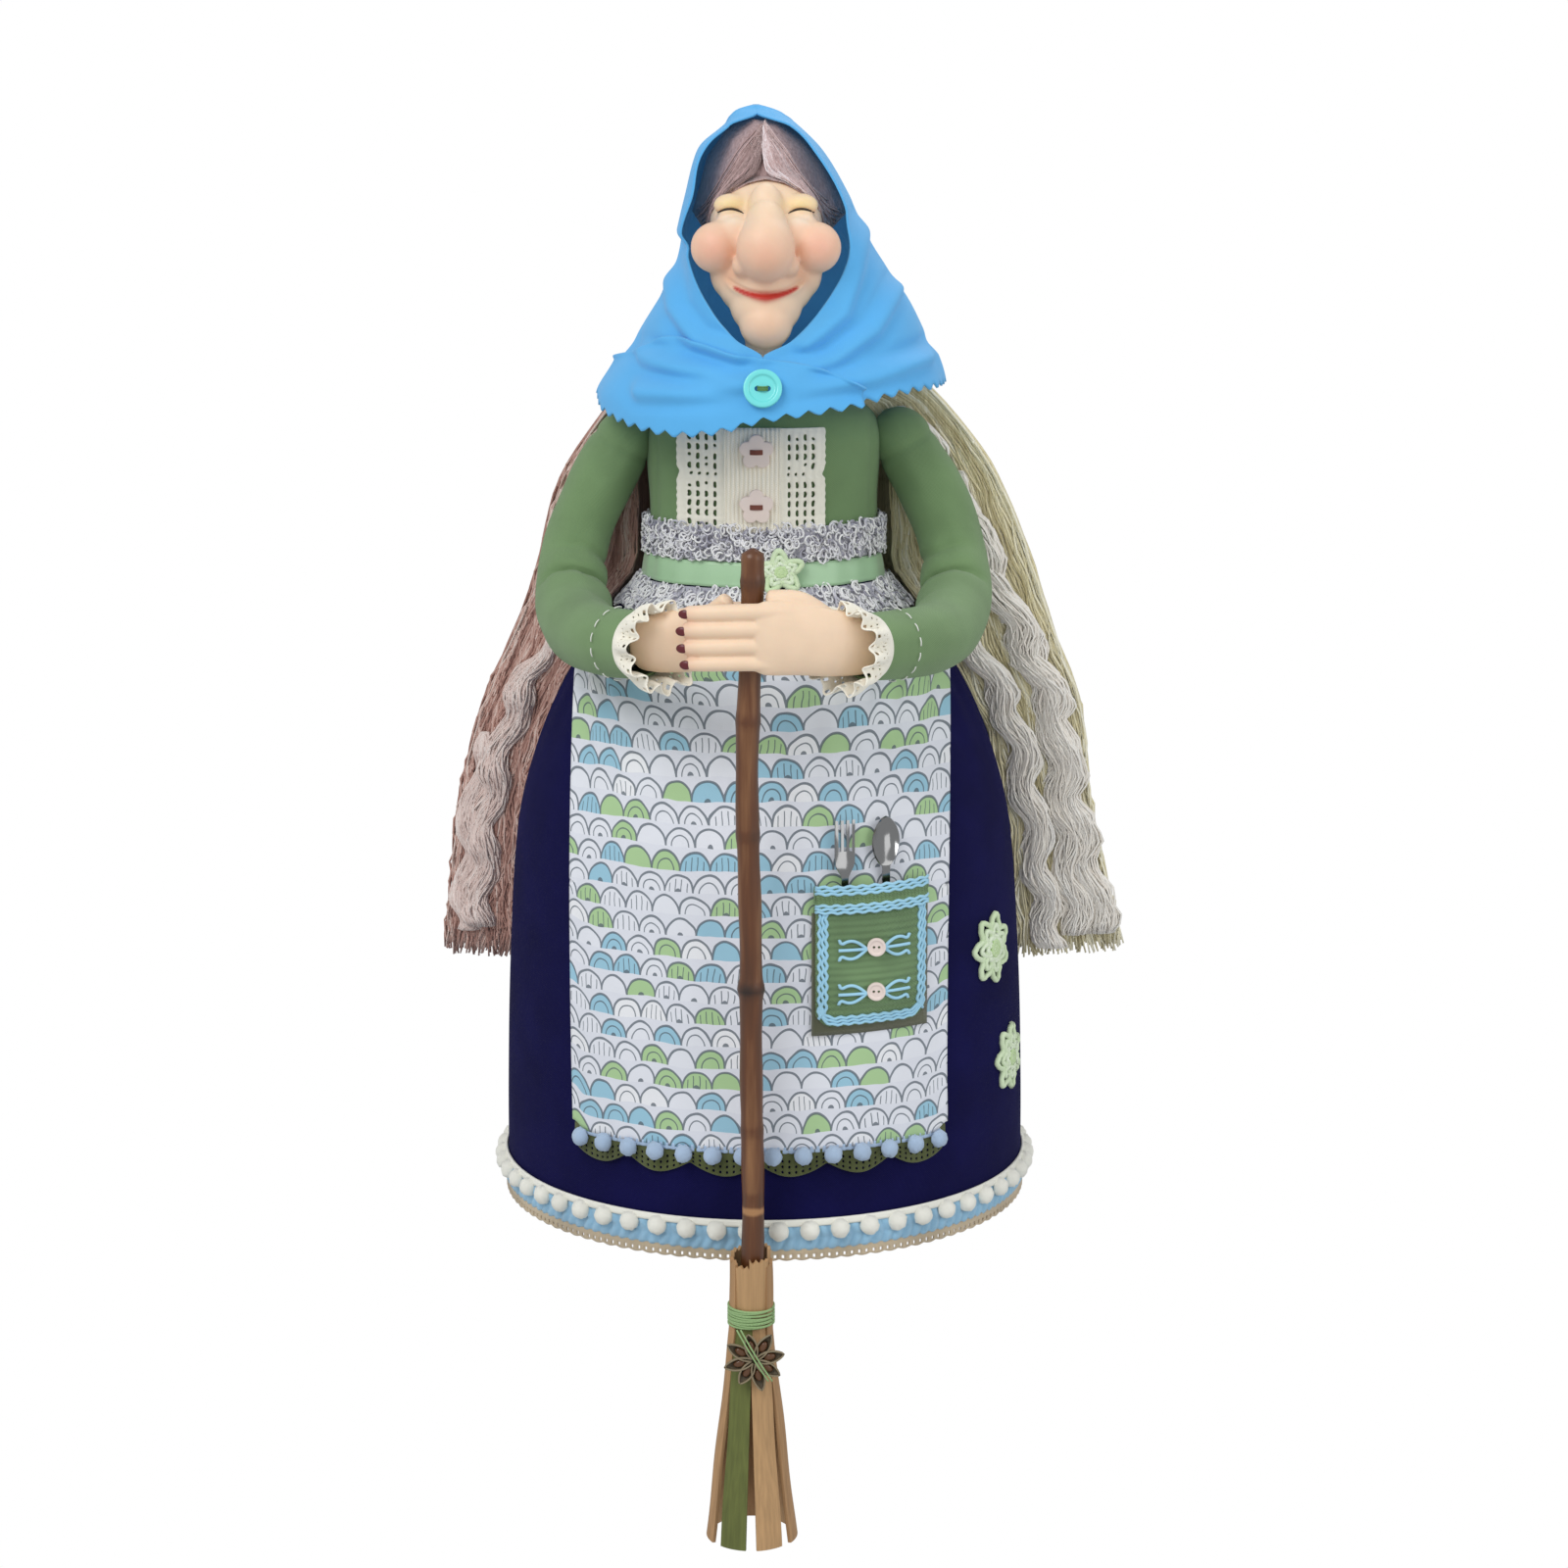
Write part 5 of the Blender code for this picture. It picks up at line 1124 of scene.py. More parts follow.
for side, name in ((1, "left"), (-1, "right")):
    frames = [arm_frame(t, side) for t in np.linspace(0, 1, ARM_ROWS)]
    inward = Vector((-0.85 * side, -0.85, 0.10)).normalized()
    cap = []
    for at in range(CAP_ROWS):
        left = 1 - at / CAP_ROWS
        point, across, over, ahead, radius = frames[0]
        lifted = point - ahead * CAP_RISE * left
        cap.append((lifted, across, over, ahead, radius * math.sqrt(max(1 - left * left, 0.002))))
    frames = [*cap, *frames]

    def sleeve_place(u, v):
        row = int(round(v * (len(frames) - 1)))
        point, across, over, _, radius = frames[row]
        t = (row - CAP_ROWS) / (ARM_ROWS - 1)
        turn = 2 * math.pi * u
        out = across * math.cos(turn) + over * math.sin(turn)
        inner = blend((out.dot(inward) + 0.65) / 1.2)
        drift = 0.012 * noise.noise(Vector((out.x * 1.5, out.z * 1.5, side)))
        folds = -0.0034 * inner * math.exp(-(((t - 0.50 - drift) / 0.015) ** 2))
        folds += 0.0011 * inner * math.exp(-(((t - 0.555 - drift) / 0.032) ** 2))
        folds += 0.0009 * inner * math.exp(-(((t - 0.445 - drift) / 0.032) ** 2))
        deep = blend((out.dot(inward) + 0.1) / 1.0)
        folds -= 0.0013 * deep * math.exp(-(((t - 0.39 + drift) / 0.013) ** 2))
        folds -= 0.0010 * deep * math.exp(-(((t - 0.63 - drift) / 0.014) ** 2))
        folds += 0.0006 * noise.noise(Vector((out.x * 2, out.z * 2, t * 6 + side)))
        seam = 0.0006 * math.exp(-(((t - 0.02) / 0.012) ** 2))
        end = 0.06 * math.exp(-(((1 - t) / 0.02) ** 2))
        return point + out * (radius * (1 - end) + folds * min(1, (row / CAP_ROWS)) - seam)

    sleeve = grid(
        f"sleeve_{name}_cloth", 64, len(frames) - 1, sleeve_place, (0.075, 0.125), around=True
    )
    if side < 0:
        sleeve.data.flip_normals()
    outward(sleeve)
    # wadding pressed into the sleeve fills it out a little, as cloth under pressure
    swell = sleeve.modifiers.new("padding", "CLOTH")
    swell.settings.use_pressure = True
    swell.settings.uniform_pressure_force = 4
    swell.settings.effector_weights.gravity = 0
    swell.settings.tension_stiffness = 60
    swell.settings.compression_stiffness = 60
    before = [vertex.co.copy() for vertex in sleeve.data.vertices]
    for at in range(1, 13):
        scene.frame_set(at)
    swollen = sleeve.evaluated_get(bpy.context.evaluated_depsgraph_get())
    after = [vertex.co.copy() for vertex in swollen.data.vertices]
    sleeve.modifiers.clear()
    scene.frame_set(1)
    for vertex, old, new in zip(sleeve.data.vertices, before, after):
        move = new - old
        if move.length > SWELL_MOST:
            move *= SWELL_MOST / move.length
        vertex.co = old + move
    applied(sleeve, "SOLIDIFY", thickness=0.0008, offset=-1.0)
    finished(sleeve, GREEN_CLOTH, "green_cotton", f"sleeve_{name}")
    paths = []
    point, across, over, _, radius = arm_frame(STITCHES_AT[side], side)
    for at in range(STITCHES):
        run = []
        for part in np.linspace(0, 0.24, 5):
            turn = 2 * math.pi * at / STITCHES + part
            out = across * math.cos(turn) + over * math.sin(turn)
            run.append(point + out * (radius + 0.0007 + 0.0002 * math.sin(part * 13)))
        paths.append(run)
    white_thread, tree, shader = new_material(f"white_thread_{name}", 0.7, colour=(0.8, 0.8, 0.76))
    stitches = tubes(f"sleeve_stitches_{name}", paths, np.full((STITCHES, 5), 0.00022), 5)
    finished(stitches, white_thread, "cream_lace")

# Lace and braid
# Every lace is a mesh of thread with real holes: a grid of cloth with faces taken out, given
# a thickness and rounded.
CREAM = (0.94, 0.90, 0.78)


def cut_open(piece, columns, rows, size, hole):
    """Takes out the faces of a grid for which hole(column, row) is true."""
    uv = piece.data.uv_layers.active.data
    picks = []
    for face in piece.data.polygons:
        u = sum(uv[i].uv[0] for i in face.loop_indices) / 4 / size[0]
        v = sum(uv[i].uv[1] for i in face.loop_indices) / 4 / size[1]
        picks.append(hole(int(u * columns), int(v * rows)))
    faces_picked(piece, picks)
    bpy.ops.object.mode_set(mode="EDIT")
    bpy.ops.mesh.delete(type="FACE")
    bpy.ops.object.mode_set(mode="OBJECT")


def lace(name, columns, rows, place, size, hole, around=False, thick=0.0005, rounded=True):
    """A lace: hole(column, row) says which faces of the grid are open."""
    piece = grid(name, columns, rows, place, size)
    cut_open(piece, columns, rows, size, hole)
    if around:
        weld(piece)
    applied(piece, "SOLIDIFY", thickness=thick, offset=0.0)
    if rounded:
        applied(piece, "SUBSURF", levels=1, render_levels=1)
    return piece


CREAM_LACE = fabric("cream_lace", CREAM, 0.0005, 0.3, 0.12, 0.9, 0.2)

# Blouse front
# A ribbed knitted placket with a panel of openwork lace on each side, sewn to the blouse.
PANEL_FOOT, PANEL_TOP, PANEL_NOTCH = 0.2400, 0.2745, 0.2590
PANEL_CELLS, PANEL_ROWS = 18, 32
PLACKET_LEFT, PLACKET_WIDTH, PLACKET_RIBS = -0.0128, 0.0184, 13
for name, left, right in (
    ("lace_panel_left", -0.0290, -0.0118), ("lace_panel_right", 0.0045, 0.0205),
):
    def panel_place(u, v):
        """A panel whose outer edge has a notch half way up."""
        height = PANEL_FOOT + (PANEL_TOP - PANEL_FOOT) * v
        notch = 0.0012 * math.exp(-(((height - PANEL_NOTCH) / 0.0012) ** 2))
        x_left = left + (notch if left < -0.01 else 0)
        x_right = right - (notch if left > -0.01 else 0)
        edge = 0.0004 * math.sin(height * 2400)
        x = x_left + (x_right - x_left) * u + edge * (u if left > -0.01 else 1 - u)
        wave = 0.0003 * math.sin(u * 40) + 0.0002 * math.sin(v * 90)
        return on_body(angle_at(x, height), height, 0.0010 + wave)

    panel = lace(
        f"{name}_net", PANEL_CELLS, PANEL_ROWS, panel_place, (right - left, 0.031),
        lambda column, row: column % 3 == 1 and row % 3 != 0 and 1 < column < PANEL_CELLS - 2
        and row % 16 not in (0, 15) and draw.random() < 0.93,
    )
    finished(panel, CREAM_LACE, "cream_lace", name)


def placket_place(u, v):
    x = PLACKET_LEFT + PLACKET_WIDTH * u
    height = PANEL_FOOT - 0.001 + (PANEL_TOP + 0.001 - PANEL_FOOT) * v
    rib = 0.0004 * math.cos(2 * math.pi * u * PLACKET_RIBS)
    return on_body(angle_at(x, height), height, 0.0014 + rib)


placket = grid("placket_rib", 130, 24, placket_place, (PLACKET_WIDTH, 0.031))
applied(placket, "SOLIDIFY", thickness=0.0008, offset=0.0)
finished(
    placket, fabric("rib_knit", (0.95, 0.90, 0.78), 0.0007, 0.3, 0.10, 0.9, 0.2), "cream_lace",
    "placket",
)

# Flower buttons
# Painted pinkish white wood, five round petals, sewn on by a bar of brown thread.
PINKISH, tree, shader = new_material("pinkish_wood", 0.45, colour=(0.83, 0.70, 0.64))
brown_thread, tree, shader = new_material("brown_thread", 0.7, colour=(0.20, 0.06, 0.04))
FLOWER_RADIUS, FLOWER_THICK = 0.0060, 0.0018


def flower_button(name, middle):
    """A round button cut to five petals by moving its rim."""
    bpy.ops.mesh.primitive_cylinder_add(vertices=80, radius=FLOWER_RADIUS, depth=FLOWER_THICK)
    piece = bpy.context.object
    piece.name = name
    for vertex in piece.data.vertices:
        turn = math.atan2(vertex.co.x, vertex.co.y)
        reach = 0.72 + 0.28 * abs(math.cos(2.5 * turn)) ** 0.8
        vertex.co.x *= reach
        vertex.co.y *= reach
    applied(piece, "BEVEL", width=FLOWER_THICK / 4, segments=3, limit_method="ANGLE")
    return placed(piece, middle, (math.radians(90), 0, 0))


for which, height in (("upper", 0.2668), ("lower", 0.2480)):
    middle = on_body(angle_at(-0.0022, height), height, 0.0031)
    button = flower_button(f"flower_button_{which}_wood", middle)
    finished(button, PINKISH, "button_wood", f"flower_button_{which}", sharp=50)
    bar = sewing(
        f"flower_button_{which}_thread", middle, 0.0021, 0.0006,
        (-0.0006, -0.0002, 0.0002, 0.0006), 6,
    )
    finished(bar, brown_thread, "mauve_wool")

# Waist ruffles
# Two bands of curly melange yarn, grey, white and lilac, above and below the ribbon.
melange, tree, shader = new_material("melange_yarn", 0.9, sheen=0.3)
yarn = ramped(
    tree, attribute(tree, "shade"), (0.0, (0.24, 0.23, 0.30)), (0.3, (0.52, 0.51, 0.58)),
    (0.6, (0.80, 0.79, 0.82)), (1.0, (0.95, 0.94, 0.93)),
)
tree.links.new(yarn, shader.inputs["Base Color"])
for name, low, high, count, out in (
    ("waist_ruffle_upper", 0.2290, 0.2408, 1250, 0.0016),
    ("waist_ruffle_lower", 0.2105, 0.2198, 960, 0.0020),
):
    paths, shades = [], []
    for at in range(count):
        angle = draw.uniform(-math.pi, math.pi)
        height = draw.uniform(low + 0.0008, high + 0.0002)
        size = draw.uniform(0.0008, 0.0019)
        phase, tip = draw.uniform(0, 6.28), draw.uniform(-0.9, 0.9)
        path = []
        for t in np.linspace(0, 1, 9):
            turn = phase + 5.2 * t
            swing = size * (1 - 0.25 * t) * math.cos(turn)
            rise = size * math.sin(turn)
            lift = out + 0.0012 * math.sin(turn * 0.5 + tip) + draw.uniform(0, 0.0006)
            path.append(on_body(angle + swing / 0.042, height + rise, lift))
        paths.append(path)
        shades.append(draw.random() ** 0.7)
    curls = tubes(f"{name}_curls", paths, np.full((count, 9), 0.00036), 4, shades)
    band = grid(
        f"{name}_band", 96, 6,
        lambda u, v: on_body(2 * math.pi * u, low + (high - low) * v, 0.0009), (0.26, high - low),
        around=True,
    )
    shaded(band, 0.22)
    applied(band, "SOLIDIFY", thickness=0.0006, offset=0.0)
    curls = joined(f"{name}_curls", [band, curls])
    finished(curls, melange, "melange_trim", name)

# Waist ribbon
# Mint satin ribbon round the waist between the ruffles.
satin, tree, shader = new_material("mint_satin", 0.32, sheen=0.3, colour=(0.40, 0.62, 0.38))
RIBBON_FOOT, RIBBON_WIDTH = 0.2204, 0.0084


def ribbon_place(u, v):
    angle = 2 * math.pi * u
    height = RIBBON_FOOT + RIBBON_WIDTH * v
    ripple = 0.00025 * math.sin(9 * angle + 3) + 0.0002 * math.sin(23 * angle)
    return on_body(angle, height, 0.0014 + ripple + 0.0004 * math.sin(math.pi * v))


ribbon = grid("waist_ribbon_satin", 160, 8, ribbon_place, (0.25, RIBBON_WIDTH), around=True)
applied(ribbon, "SOLIDIFY", thickness=0.0004, offset=0.0)
finished(ribbon, satin, "satin_ribbon", "waist_ribbon")

# Crocheted flowers
# Thick cotton thread worked into loops round a knotted middle: one at the waist, two on the
# skirt's side.
pale_green, tree, shader = new_material("pale_green_thread", 0.85, sheen=0.2)
tree.links.new(
    mixed(tree, attribute(tree, "shade"), (0.55, 0.72, 0.38), (0.80, 0.90, 0.70)),
    shader.inputs["Base Color"],
)


def crochet_flower(name, x, height, petals, reach, out, turned=0.0):
    """Loops of thread lying on the body round a small knot."""
    width, _ = body_size(height)
    middle = angle_at(x, height)
    paths, radii, shades = [], [], []
    for ring, (share, thread) in enumerate(((1.0, 0.0010), (0.68, 0.0009), (0.40, 0.0008))):
        for at in range(petals):
            start = turned + 2 * math.pi * at / petals
            path = []
            for t in np.linspace(0, 1, 18):
                swing = math.pi * (2 * t - 1)
                along = reach * share * (0.58 + 0.42 * math.cos(swing))
                aside = reach * share * 0.27 * math.sin(swing) * (1 - 0.35 * math.cos(swing))
                u = along * math.cos(start) - aside * math.sin(start)
                w = along * math.sin(start) + aside * math.cos(start)
                stitch = 0.00035 * math.cos(swing * 9)
                path.append(
                    on_body(middle + u / width, height + w, out + 0.0003 * ring + stitch)
                )
            paths.append(path)
            radii.append([thread] * 18)
            shades.append(0.3 + 0.3 * ring + 0.3 * draw.random())
    loops = tubes(name, paths, radii, 6, shades)
    knot = []
    for at in range(7):
        start = 2 * math.pi * at / 7
        path = []
        for t in np.linspace(0, 1, 18):
            swing = 2 * math.pi * t
            u = reach * 0.13 * (math.cos(start) + 0.8 * math.cos(swing))
            w = reach * 0.13 * (math.sin(start) + 0.8 * math.sin(swing))
            path.append(on_body(middle + u / width, height + w, out + 0.0012))
        knot.append(path)
    knot = tubes(f"{name}_knot", knot, np.full((7, 18), 0.0005), 6, [0.0] * 7)
    return joined(name, [loops, knot])


for name, node_name, x, height, petals, reach, out in (
    ("waist_flower_crochet", "waist_flower", 0.0052, 0.2262, 5, 0.0072, 0.0050),
    ("skirt_flower_upper_crochet", "skirt_flower_upper", 0.0780, 0.0965, 7, 0.0120, 0.0012),
    ("skirt_flower_lower_crochet", "skirt_flower_lower", 0.0850, 0.0545, 7, 0.0115, 0.0012),
):
    flower = crochet_flower(name, x, height, petals, reach, out, 0.4)
    finished(flower, pale_green, "green_trim", node_name)

# Apron
# Printed cotton, cut a little wider than the lap, gathered into the waist. The print is a plain
# repeat of outlined scallops, arcs and dots in mint, light blue and white.
APRON_HEM, APRON_TOP = 0.0400, 0.2095
APRON_HALF, APRON_TOP_HALF = 0.0625, 0.0500
SCALLOP_WIDTH, SCALLOP_RISE = 0.0098, 0.0080


def apron_side(height, side):
    share = blend((height - 0.190) / 0.03)
    half = APRON_HALF + (APRON_TOP_HALF - APRON_HALF) * share
    return angle_at(side * half - 0.0012, height)


def apron_place(u, v):
    corner = 0.0032 * math.exp(-((min(u, 1 - u) / 0.024) ** 2))
    foot = APRON_HEM + (corner if v < 0.5 else 0) - 0.0012
    height = foot + (APRON_TOP - foot) * v
    start, end = apron_side(height, -1), apron_side(height, 1)
    angle = start + (end - start) * u
    gather = blend((v - 0.55) / 0.45)
    fold = 0.0009 * gather * math.sin(2 * math.pi * (u * 11 + 0.3 * math.sin(u * 9)))
    billow = 0.0005 * math.sin(2 * math.pi * (u * 2.6 + v * 0.7)) * blend(v / 0.1)
    edge = 0.0006 * math.exp(-((min(u, 1 - u) / 0.012) ** 2))
    return on_body(angle, height, 0.0016 + max(fold + billow, -0.0010) + edge)


def printed(tree):
    """Scallops in staggered rows, each with its own tint, an outline and arcs or dots in it."""
    uv = node(tree, "ShaderNodeUVMap")
    shift = node(tree, "ShaderNodeVectorMath", operation="MULTIPLY_ADD")
    tree.links.new(noisy(tree, 70, 2).outputs["Color"], shift.inputs[0])
    shift.inputs[1].default_value = (0.0032, 0.0032, 0)
    tree.links.new(uv.outputs[0], shift.inputs[2])
    split = node(tree, "ShaderNodeSeparateXYZ")
    tree.links.new(shift.outputs[0], split.inputs[0])
    x = maths(tree, "DIVIDE", split.outputs[0], SCALLOP_WIDTH)
    y = maths(tree, "DIVIDE", split.outputs[1], SCALLOP_RISE)
    row = maths(tree, "FLOOR", y)
    up = maths(tree, "SUBTRACT", y, row)
    half = maths(tree, "MULTIPLY", maths(tree, "FLOORED_MODULO", row, 2.0), 0.5)

    def cell(offset):
        moved = maths(tree, "ADD", x, offset)
        column = maths(tree, "FLOOR", moved)
        return column, maths(tree, "SUBTRACT", maths(tree, "SUBTRACT", moved, column), 0.5)

    column, across = cell(half)
    other, across_other = cell(maths(tree, "SUBTRACT", 0.5, half))

    def from_foot(aside, height):
        """Distance from the middle of a scallop's foot."""
        tall = maths(tree, "MULTIPLY", height, 0.62)
        return maths(tree, "SQRT", maths(
            tree, "ADD", maths(tree, "MULTIPLY", aside, aside), maths(tree, "MULTIPLY", tall, tall)
        ))

    radius = from_foot(across, up)
    inside = maths(tree, "LESS_THAN", radius, 0.5)
    radius_other = from_foot(across_other, maths(tree, "ADD", up, 1.0))

    def choose(first, second):
        less = maths(tree, "SUBTRACT", 1.0, inside)
        return maths(tree, "ADD", maths(tree, "MULTIPLY", first, inside),
                     maths(tree, "MULTIPLY", second, less))

    which_column = choose(column, maths(tree, "ADD", other, 31.5))
    which_row = choose(row, maths(tree, "SUBTRACT", row, 1.0))
    own_radius = choose(radius, radius_other)
    own_across = choose(across, across_other)
    number = node(tree, "ShaderNodeCombineXYZ")
    tree.links.new(which_column, number.inputs[0])
    tree.links.new(which_row, number.inputs[1])
    chance = node(tree, "ShaderNodeTexWhiteNoise", noise_dimensions="2D")
    tree.links.new(number.outputs[0], chance.inputs["Vector"])
    tint = ramped(
        tree, chance.outputs["Value"], (0.0, (0.80, 0.82, 0.88)), (0.46, (0.33, 0.58, 0.72)),
        (0.66, (0.42, 0.62, 0.32)), (0.86, (0.86, 0.87, 0.90)), interpolation="CONSTANT",
    )
    pick = node(tree, "ShaderNodeSeparateColor")
    tree.links.new(chance.outputs["Color"], pick.inputs[0])
    arcs = maths(tree, "LESS_THAN", maths(
        tree, "ABSOLUTE", maths(tree, "SUBTRACT", own_radius, 0.30)), 0.020)
    arcs = maths(tree, "MULTIPLY", arcs, maths(tree, "LESS_THAN", pick.outputs[1], 0.45))
    spokes = maths(tree, "LESS_THAN", maths(tree, "ABSOLUTE", maths(
        tree, "SUBTRACT", maths(tree, "FRACT", maths(tree, "MULTIPLY", own_across, 5.0)), 0.5)),
        0.085)
    spokes = maths(tree, "MULTIPLY", spokes, maths(tree, "GREATER_THAN", pick.outputs[1], 0.68))
    spokes = maths(tree, "MULTIPLY", spokes, maths(tree, "LESS_THAN", own_radius, 0.40))
    dot = maths(tree, "LESS_THAN", own_radius, 0.10)
    dot = maths(tree, "MULTIPLY", dot, maths(tree, "LESS_THAN", pick.outputs[2], 0.4))
    outline = maths(tree, "LESS_THAN", maths(
        tree, "ABSOLUTE", maths(tree, "SUBTRACT", radius, 0.5)), 0.034)
    lines = maths(tree, "MAXIMUM", maths(tree, "MAXIMUM", outline, arcs),
                  maths(tree, "MAXIMUM", spokes, dot))
    ink = maths(tree, "MULTIPLY", lines, 0.85)
    ground = mixed(tree, inside, (0.76, 0.78, 0.85), tint)
    return mixed(tree, ink, ground, (0.10, 0.13, 0.16))


apron = grid("apron_cloth", 150, 130, apron_place, (0.135, 0.185))
applied(apron, "SOLIDIFY", thickness=0.0005, offset=0.0)
finished(apron, fabric("printed_cotton", printed, 0.0005, 0.25, 0.06, 0.85, 0.15),
         "print_cotton", "apron")

# Apron lace and pompoms
# A drop of olive scalloped lace behind the apron's hem, and a row of light blue pompoms on a
# tape over it.
OLIVE_LACE = fabric("olive_lace", (0.105, 0.125, 0.035), 0.0006, 0.6, 0.3, 0.9, 0.15)
LACE_START, LACE_END = apron_side(APRON_HEM, -1), apron_side(APRON_HEM, 1)
LACE_SCALLOPS, LACE_DROP = 6, 0.0118
APRON_POMPOMS, HEM_POMPOMS = 14, 56


def olive_place(u, v):
    bow = abs(math.sin(math.pi * LACE_SCALLOPS * u))
    drop = LACE_DROP * (0.62 + 0.38 * bow) * (1 - v)
    angle = LACE_START + (LACE_END - LACE_START) * u
    return on_body(angle, APRON_HEM + 0.001 - drop, 0.0012 + 0.0003 * math.sin(u * 60))


olive = lace(
    "apron_scallops", 180, 12, olive_place, (0.135, 0.013),
    lambda column, row: row < 7 and column % 3 == 1 and row % 2 == 1,
)
finished(olive, OLIVE_LACE, "olive_trim", "apron_scallop_lace")


def yarn_ball(name, place, radius, facing, seed):
    """A half ball of yarn: a sphere with a furrowed surface, flattened at its back."""
    bpy.ops.mesh.primitive_uv_sphere_add(segments=16, ring_count=10, radius=radius)
    ball = bpy.context.object
    ball.name = name
    for vertex in ball.data.vertices:
        rough = noise.noise(vertex.co * 900 + Vector((seed, 0, 0)))
        vertex.co *= 1 + 0.16 * rough
        if vertex.co.y > 0.15 * radius:
            vertex.co.y = 0.15 * radius + (vertex.co.y - 0.15 * radius) * 0.25
    turn = math.atan2(facing.x, -facing.y)
    return placed(ball, place, (0, 0, turn))


BLUE_YARN = fabric("pale_blue_yarn", (0.36, 0.66, 0.84), 0.0005, 0.5, 0.18, 0.95, 0.3)
POMPOM_YARN = fabric("periwinkle_yarn", (0.48, 0.63, 0.84), 0.0005, 0.5, 0.18, 0.95, 0.3)
balls = []
for at in range(APRON_POMPOMS):
    angle = LACE_START + (LACE_END - LACE_START) * (at + 0.5) / APRON_POMPOMS
    facing = Vector((math.sin(angle), -math.cos(angle), 0))
    balls.append(yarn_ball(
        "apron_pompom", on_body(angle, APRON_HEM - 0.0030, 0.0034), 0.0031, facing, at
    ))
tape = grid(
    "apron_tape", 120, 4,
    lambda u, v: on_body(
        LACE_START + (LACE_END - LACE_START) * (0.02 + 0.96 * u), APRON_HEM - 0.0024 + 0.0022 * v,
        0.0014 + 0.0003 * math.sin(u * 380),
    ), (0.135, 0.0022),
)
applied(tape, "SOLIDIFY", thickness=0.0008, offset=0.0)
finished(joined("apron_pompoms", [tape, *balls]), POMPOM_YARN, "blue_trim", "apron_pompom_trim")

# Hem trims
# Round the skirt's foot: a row of cream half pompoms, a ribbed crocheted braid in light blue
# and a narrow tan and cream lace edge.
CREAM_YARN = fabric("cream_yarn", (0.94, 0.93, 0.84), 0.0005, 0.4, 0.12, 0.95, 0.3)
balls = []
for at in range(HEM_POMPOMS):
    angle = 2 * math.pi * (at + 0.5) / HEM_POMPOMS
    facing = Vector((math.sin(angle), -math.cos(angle), 0))
    balls.append(yarn_ball("hem_pompom", on_body(angle, 0.0104, 0.0016), 0.0034, facing, at))
tape = grid(
    "hem_tape", 240, 3,
    lambda u, v: on_body(2 * math.pi * u, 0.0117 + 0.0024 * v, 0.0010), (0.57, 0.002),
    around=True,
)
applied(tape, "SOLIDIFY", thickness=0.0008, offset=0.0)
finished(joined("hem_pompoms", [tape, *balls]), CREAM_YARN, "cream_lace", "hem_pompom_braid")


def braid_place(u, v):
    rib = abs(math.sin(math.pi * 150 * u + (0.8 if v > 0.5 else -0.8) * (v - 0.5) * 4))
    row = 0.35 + 0.65 * abs(math.sin(math.pi * 2 * v)) ** 0.6
    return on_body(2 * math.pi * u, 0.0031 + 0.0088 * v, 0.0005 + 0.0012 * rib * row)


braid = grid("hem_braid", 1200, 10, braid_place, (0.57, 0.0088), around=True)
applied(braid, "SOLIDIFY", thickness=0.0006, offset=-1.0)
finished(
    braid, fabric("blue_crochet", (0.33, 0.58, 0.78), 0.0005, 0.5, 0.25, 0.95, 0.3), "blue_trim",
    "hem_blue_braid",
)


def edge_place(u, v):
    scallop = 0.0006 * abs(math.sin(math.pi * 110 * u)) * (1 - v)
    return on_body(2 * math.pi * u, 0.0002 + 0.0034 * v - scallop, 0.0006)


edge = lace(
    "hem_edge_lace", 660, 6, edge_place, (0.57, 0.0034),
    lambda column, row: row in (1, 2) and column % 3 == 1, around=True, thick=0.0006,
    rounded=False,
)
finished(
    edge, fabric("tan_lace", (0.62, 0.50, 0.34), 0.0006, 0.6, 0.45, 0.9, 0.2), "cream_lace",
    "hem_lace_edge",
)

# Pocket
# A knitted green pocket on an olive felt backing, its mouth bound with light blue braid, with
# two frog fastenings of blue cord and pinkish buttons.
POCKET_LEFT, POCKET_RIGHT = 0.0170, 0.0525
POCKET_FOOT, POCKET_TOP = 0.0810, 0.1285
FROG_X, FROG_HEIGHTS = 0.0347, (0.1080, 0.0930)


def pocket_point(x, height, out):
    """A point in front of the apron: the pocket bellies out in its middle."""
    share = (x - POCKET_LEFT) / (POCKET_RIGHT - POCKET_LEFT)
    across = math.sin(math.pi * min(max(share, 0.0), 1.0)) ** 0.5
    up = blend((height - POCKET_FOOT) / 0.012)
    return on_body(angle_at(x, height), height, 0.0025 + 0.0030 * across * up + out)


def felt_place(u, v):
    x = POCKET_LEFT - 0.0012 + (POCKET_RIGHT - POCKET_LEFT + 0.0024) * u
    height = POCKET_FOOT - 0.0030 + (POCKET_TOP - 0.0060 - POCKET_FOOT) * v
    return on_body(angle_at(x, height), height, 0.0024)


felt = grid("pocket_felt", 24, 24, felt_place, (0.038, 0.045))
applied(felt, "SOLIDIFY", thickness=0.0006, offset=0.0)
finished(felt, fabric("olive_felt", (0.105, 0.115, 0.035), 0.0004, 0.8, 0.4, 1.0, 0.5),
         "olive_trim", "pocket_backing")


def rounded_foot(u):
    """Height of the pocket's rounded foot at a share of its width."""
    edge = abs(2 * u - 1)
    return POCKET_FOOT + 0.0040 * max(0.0, (edge - 0.72) / 0.28) ** 2


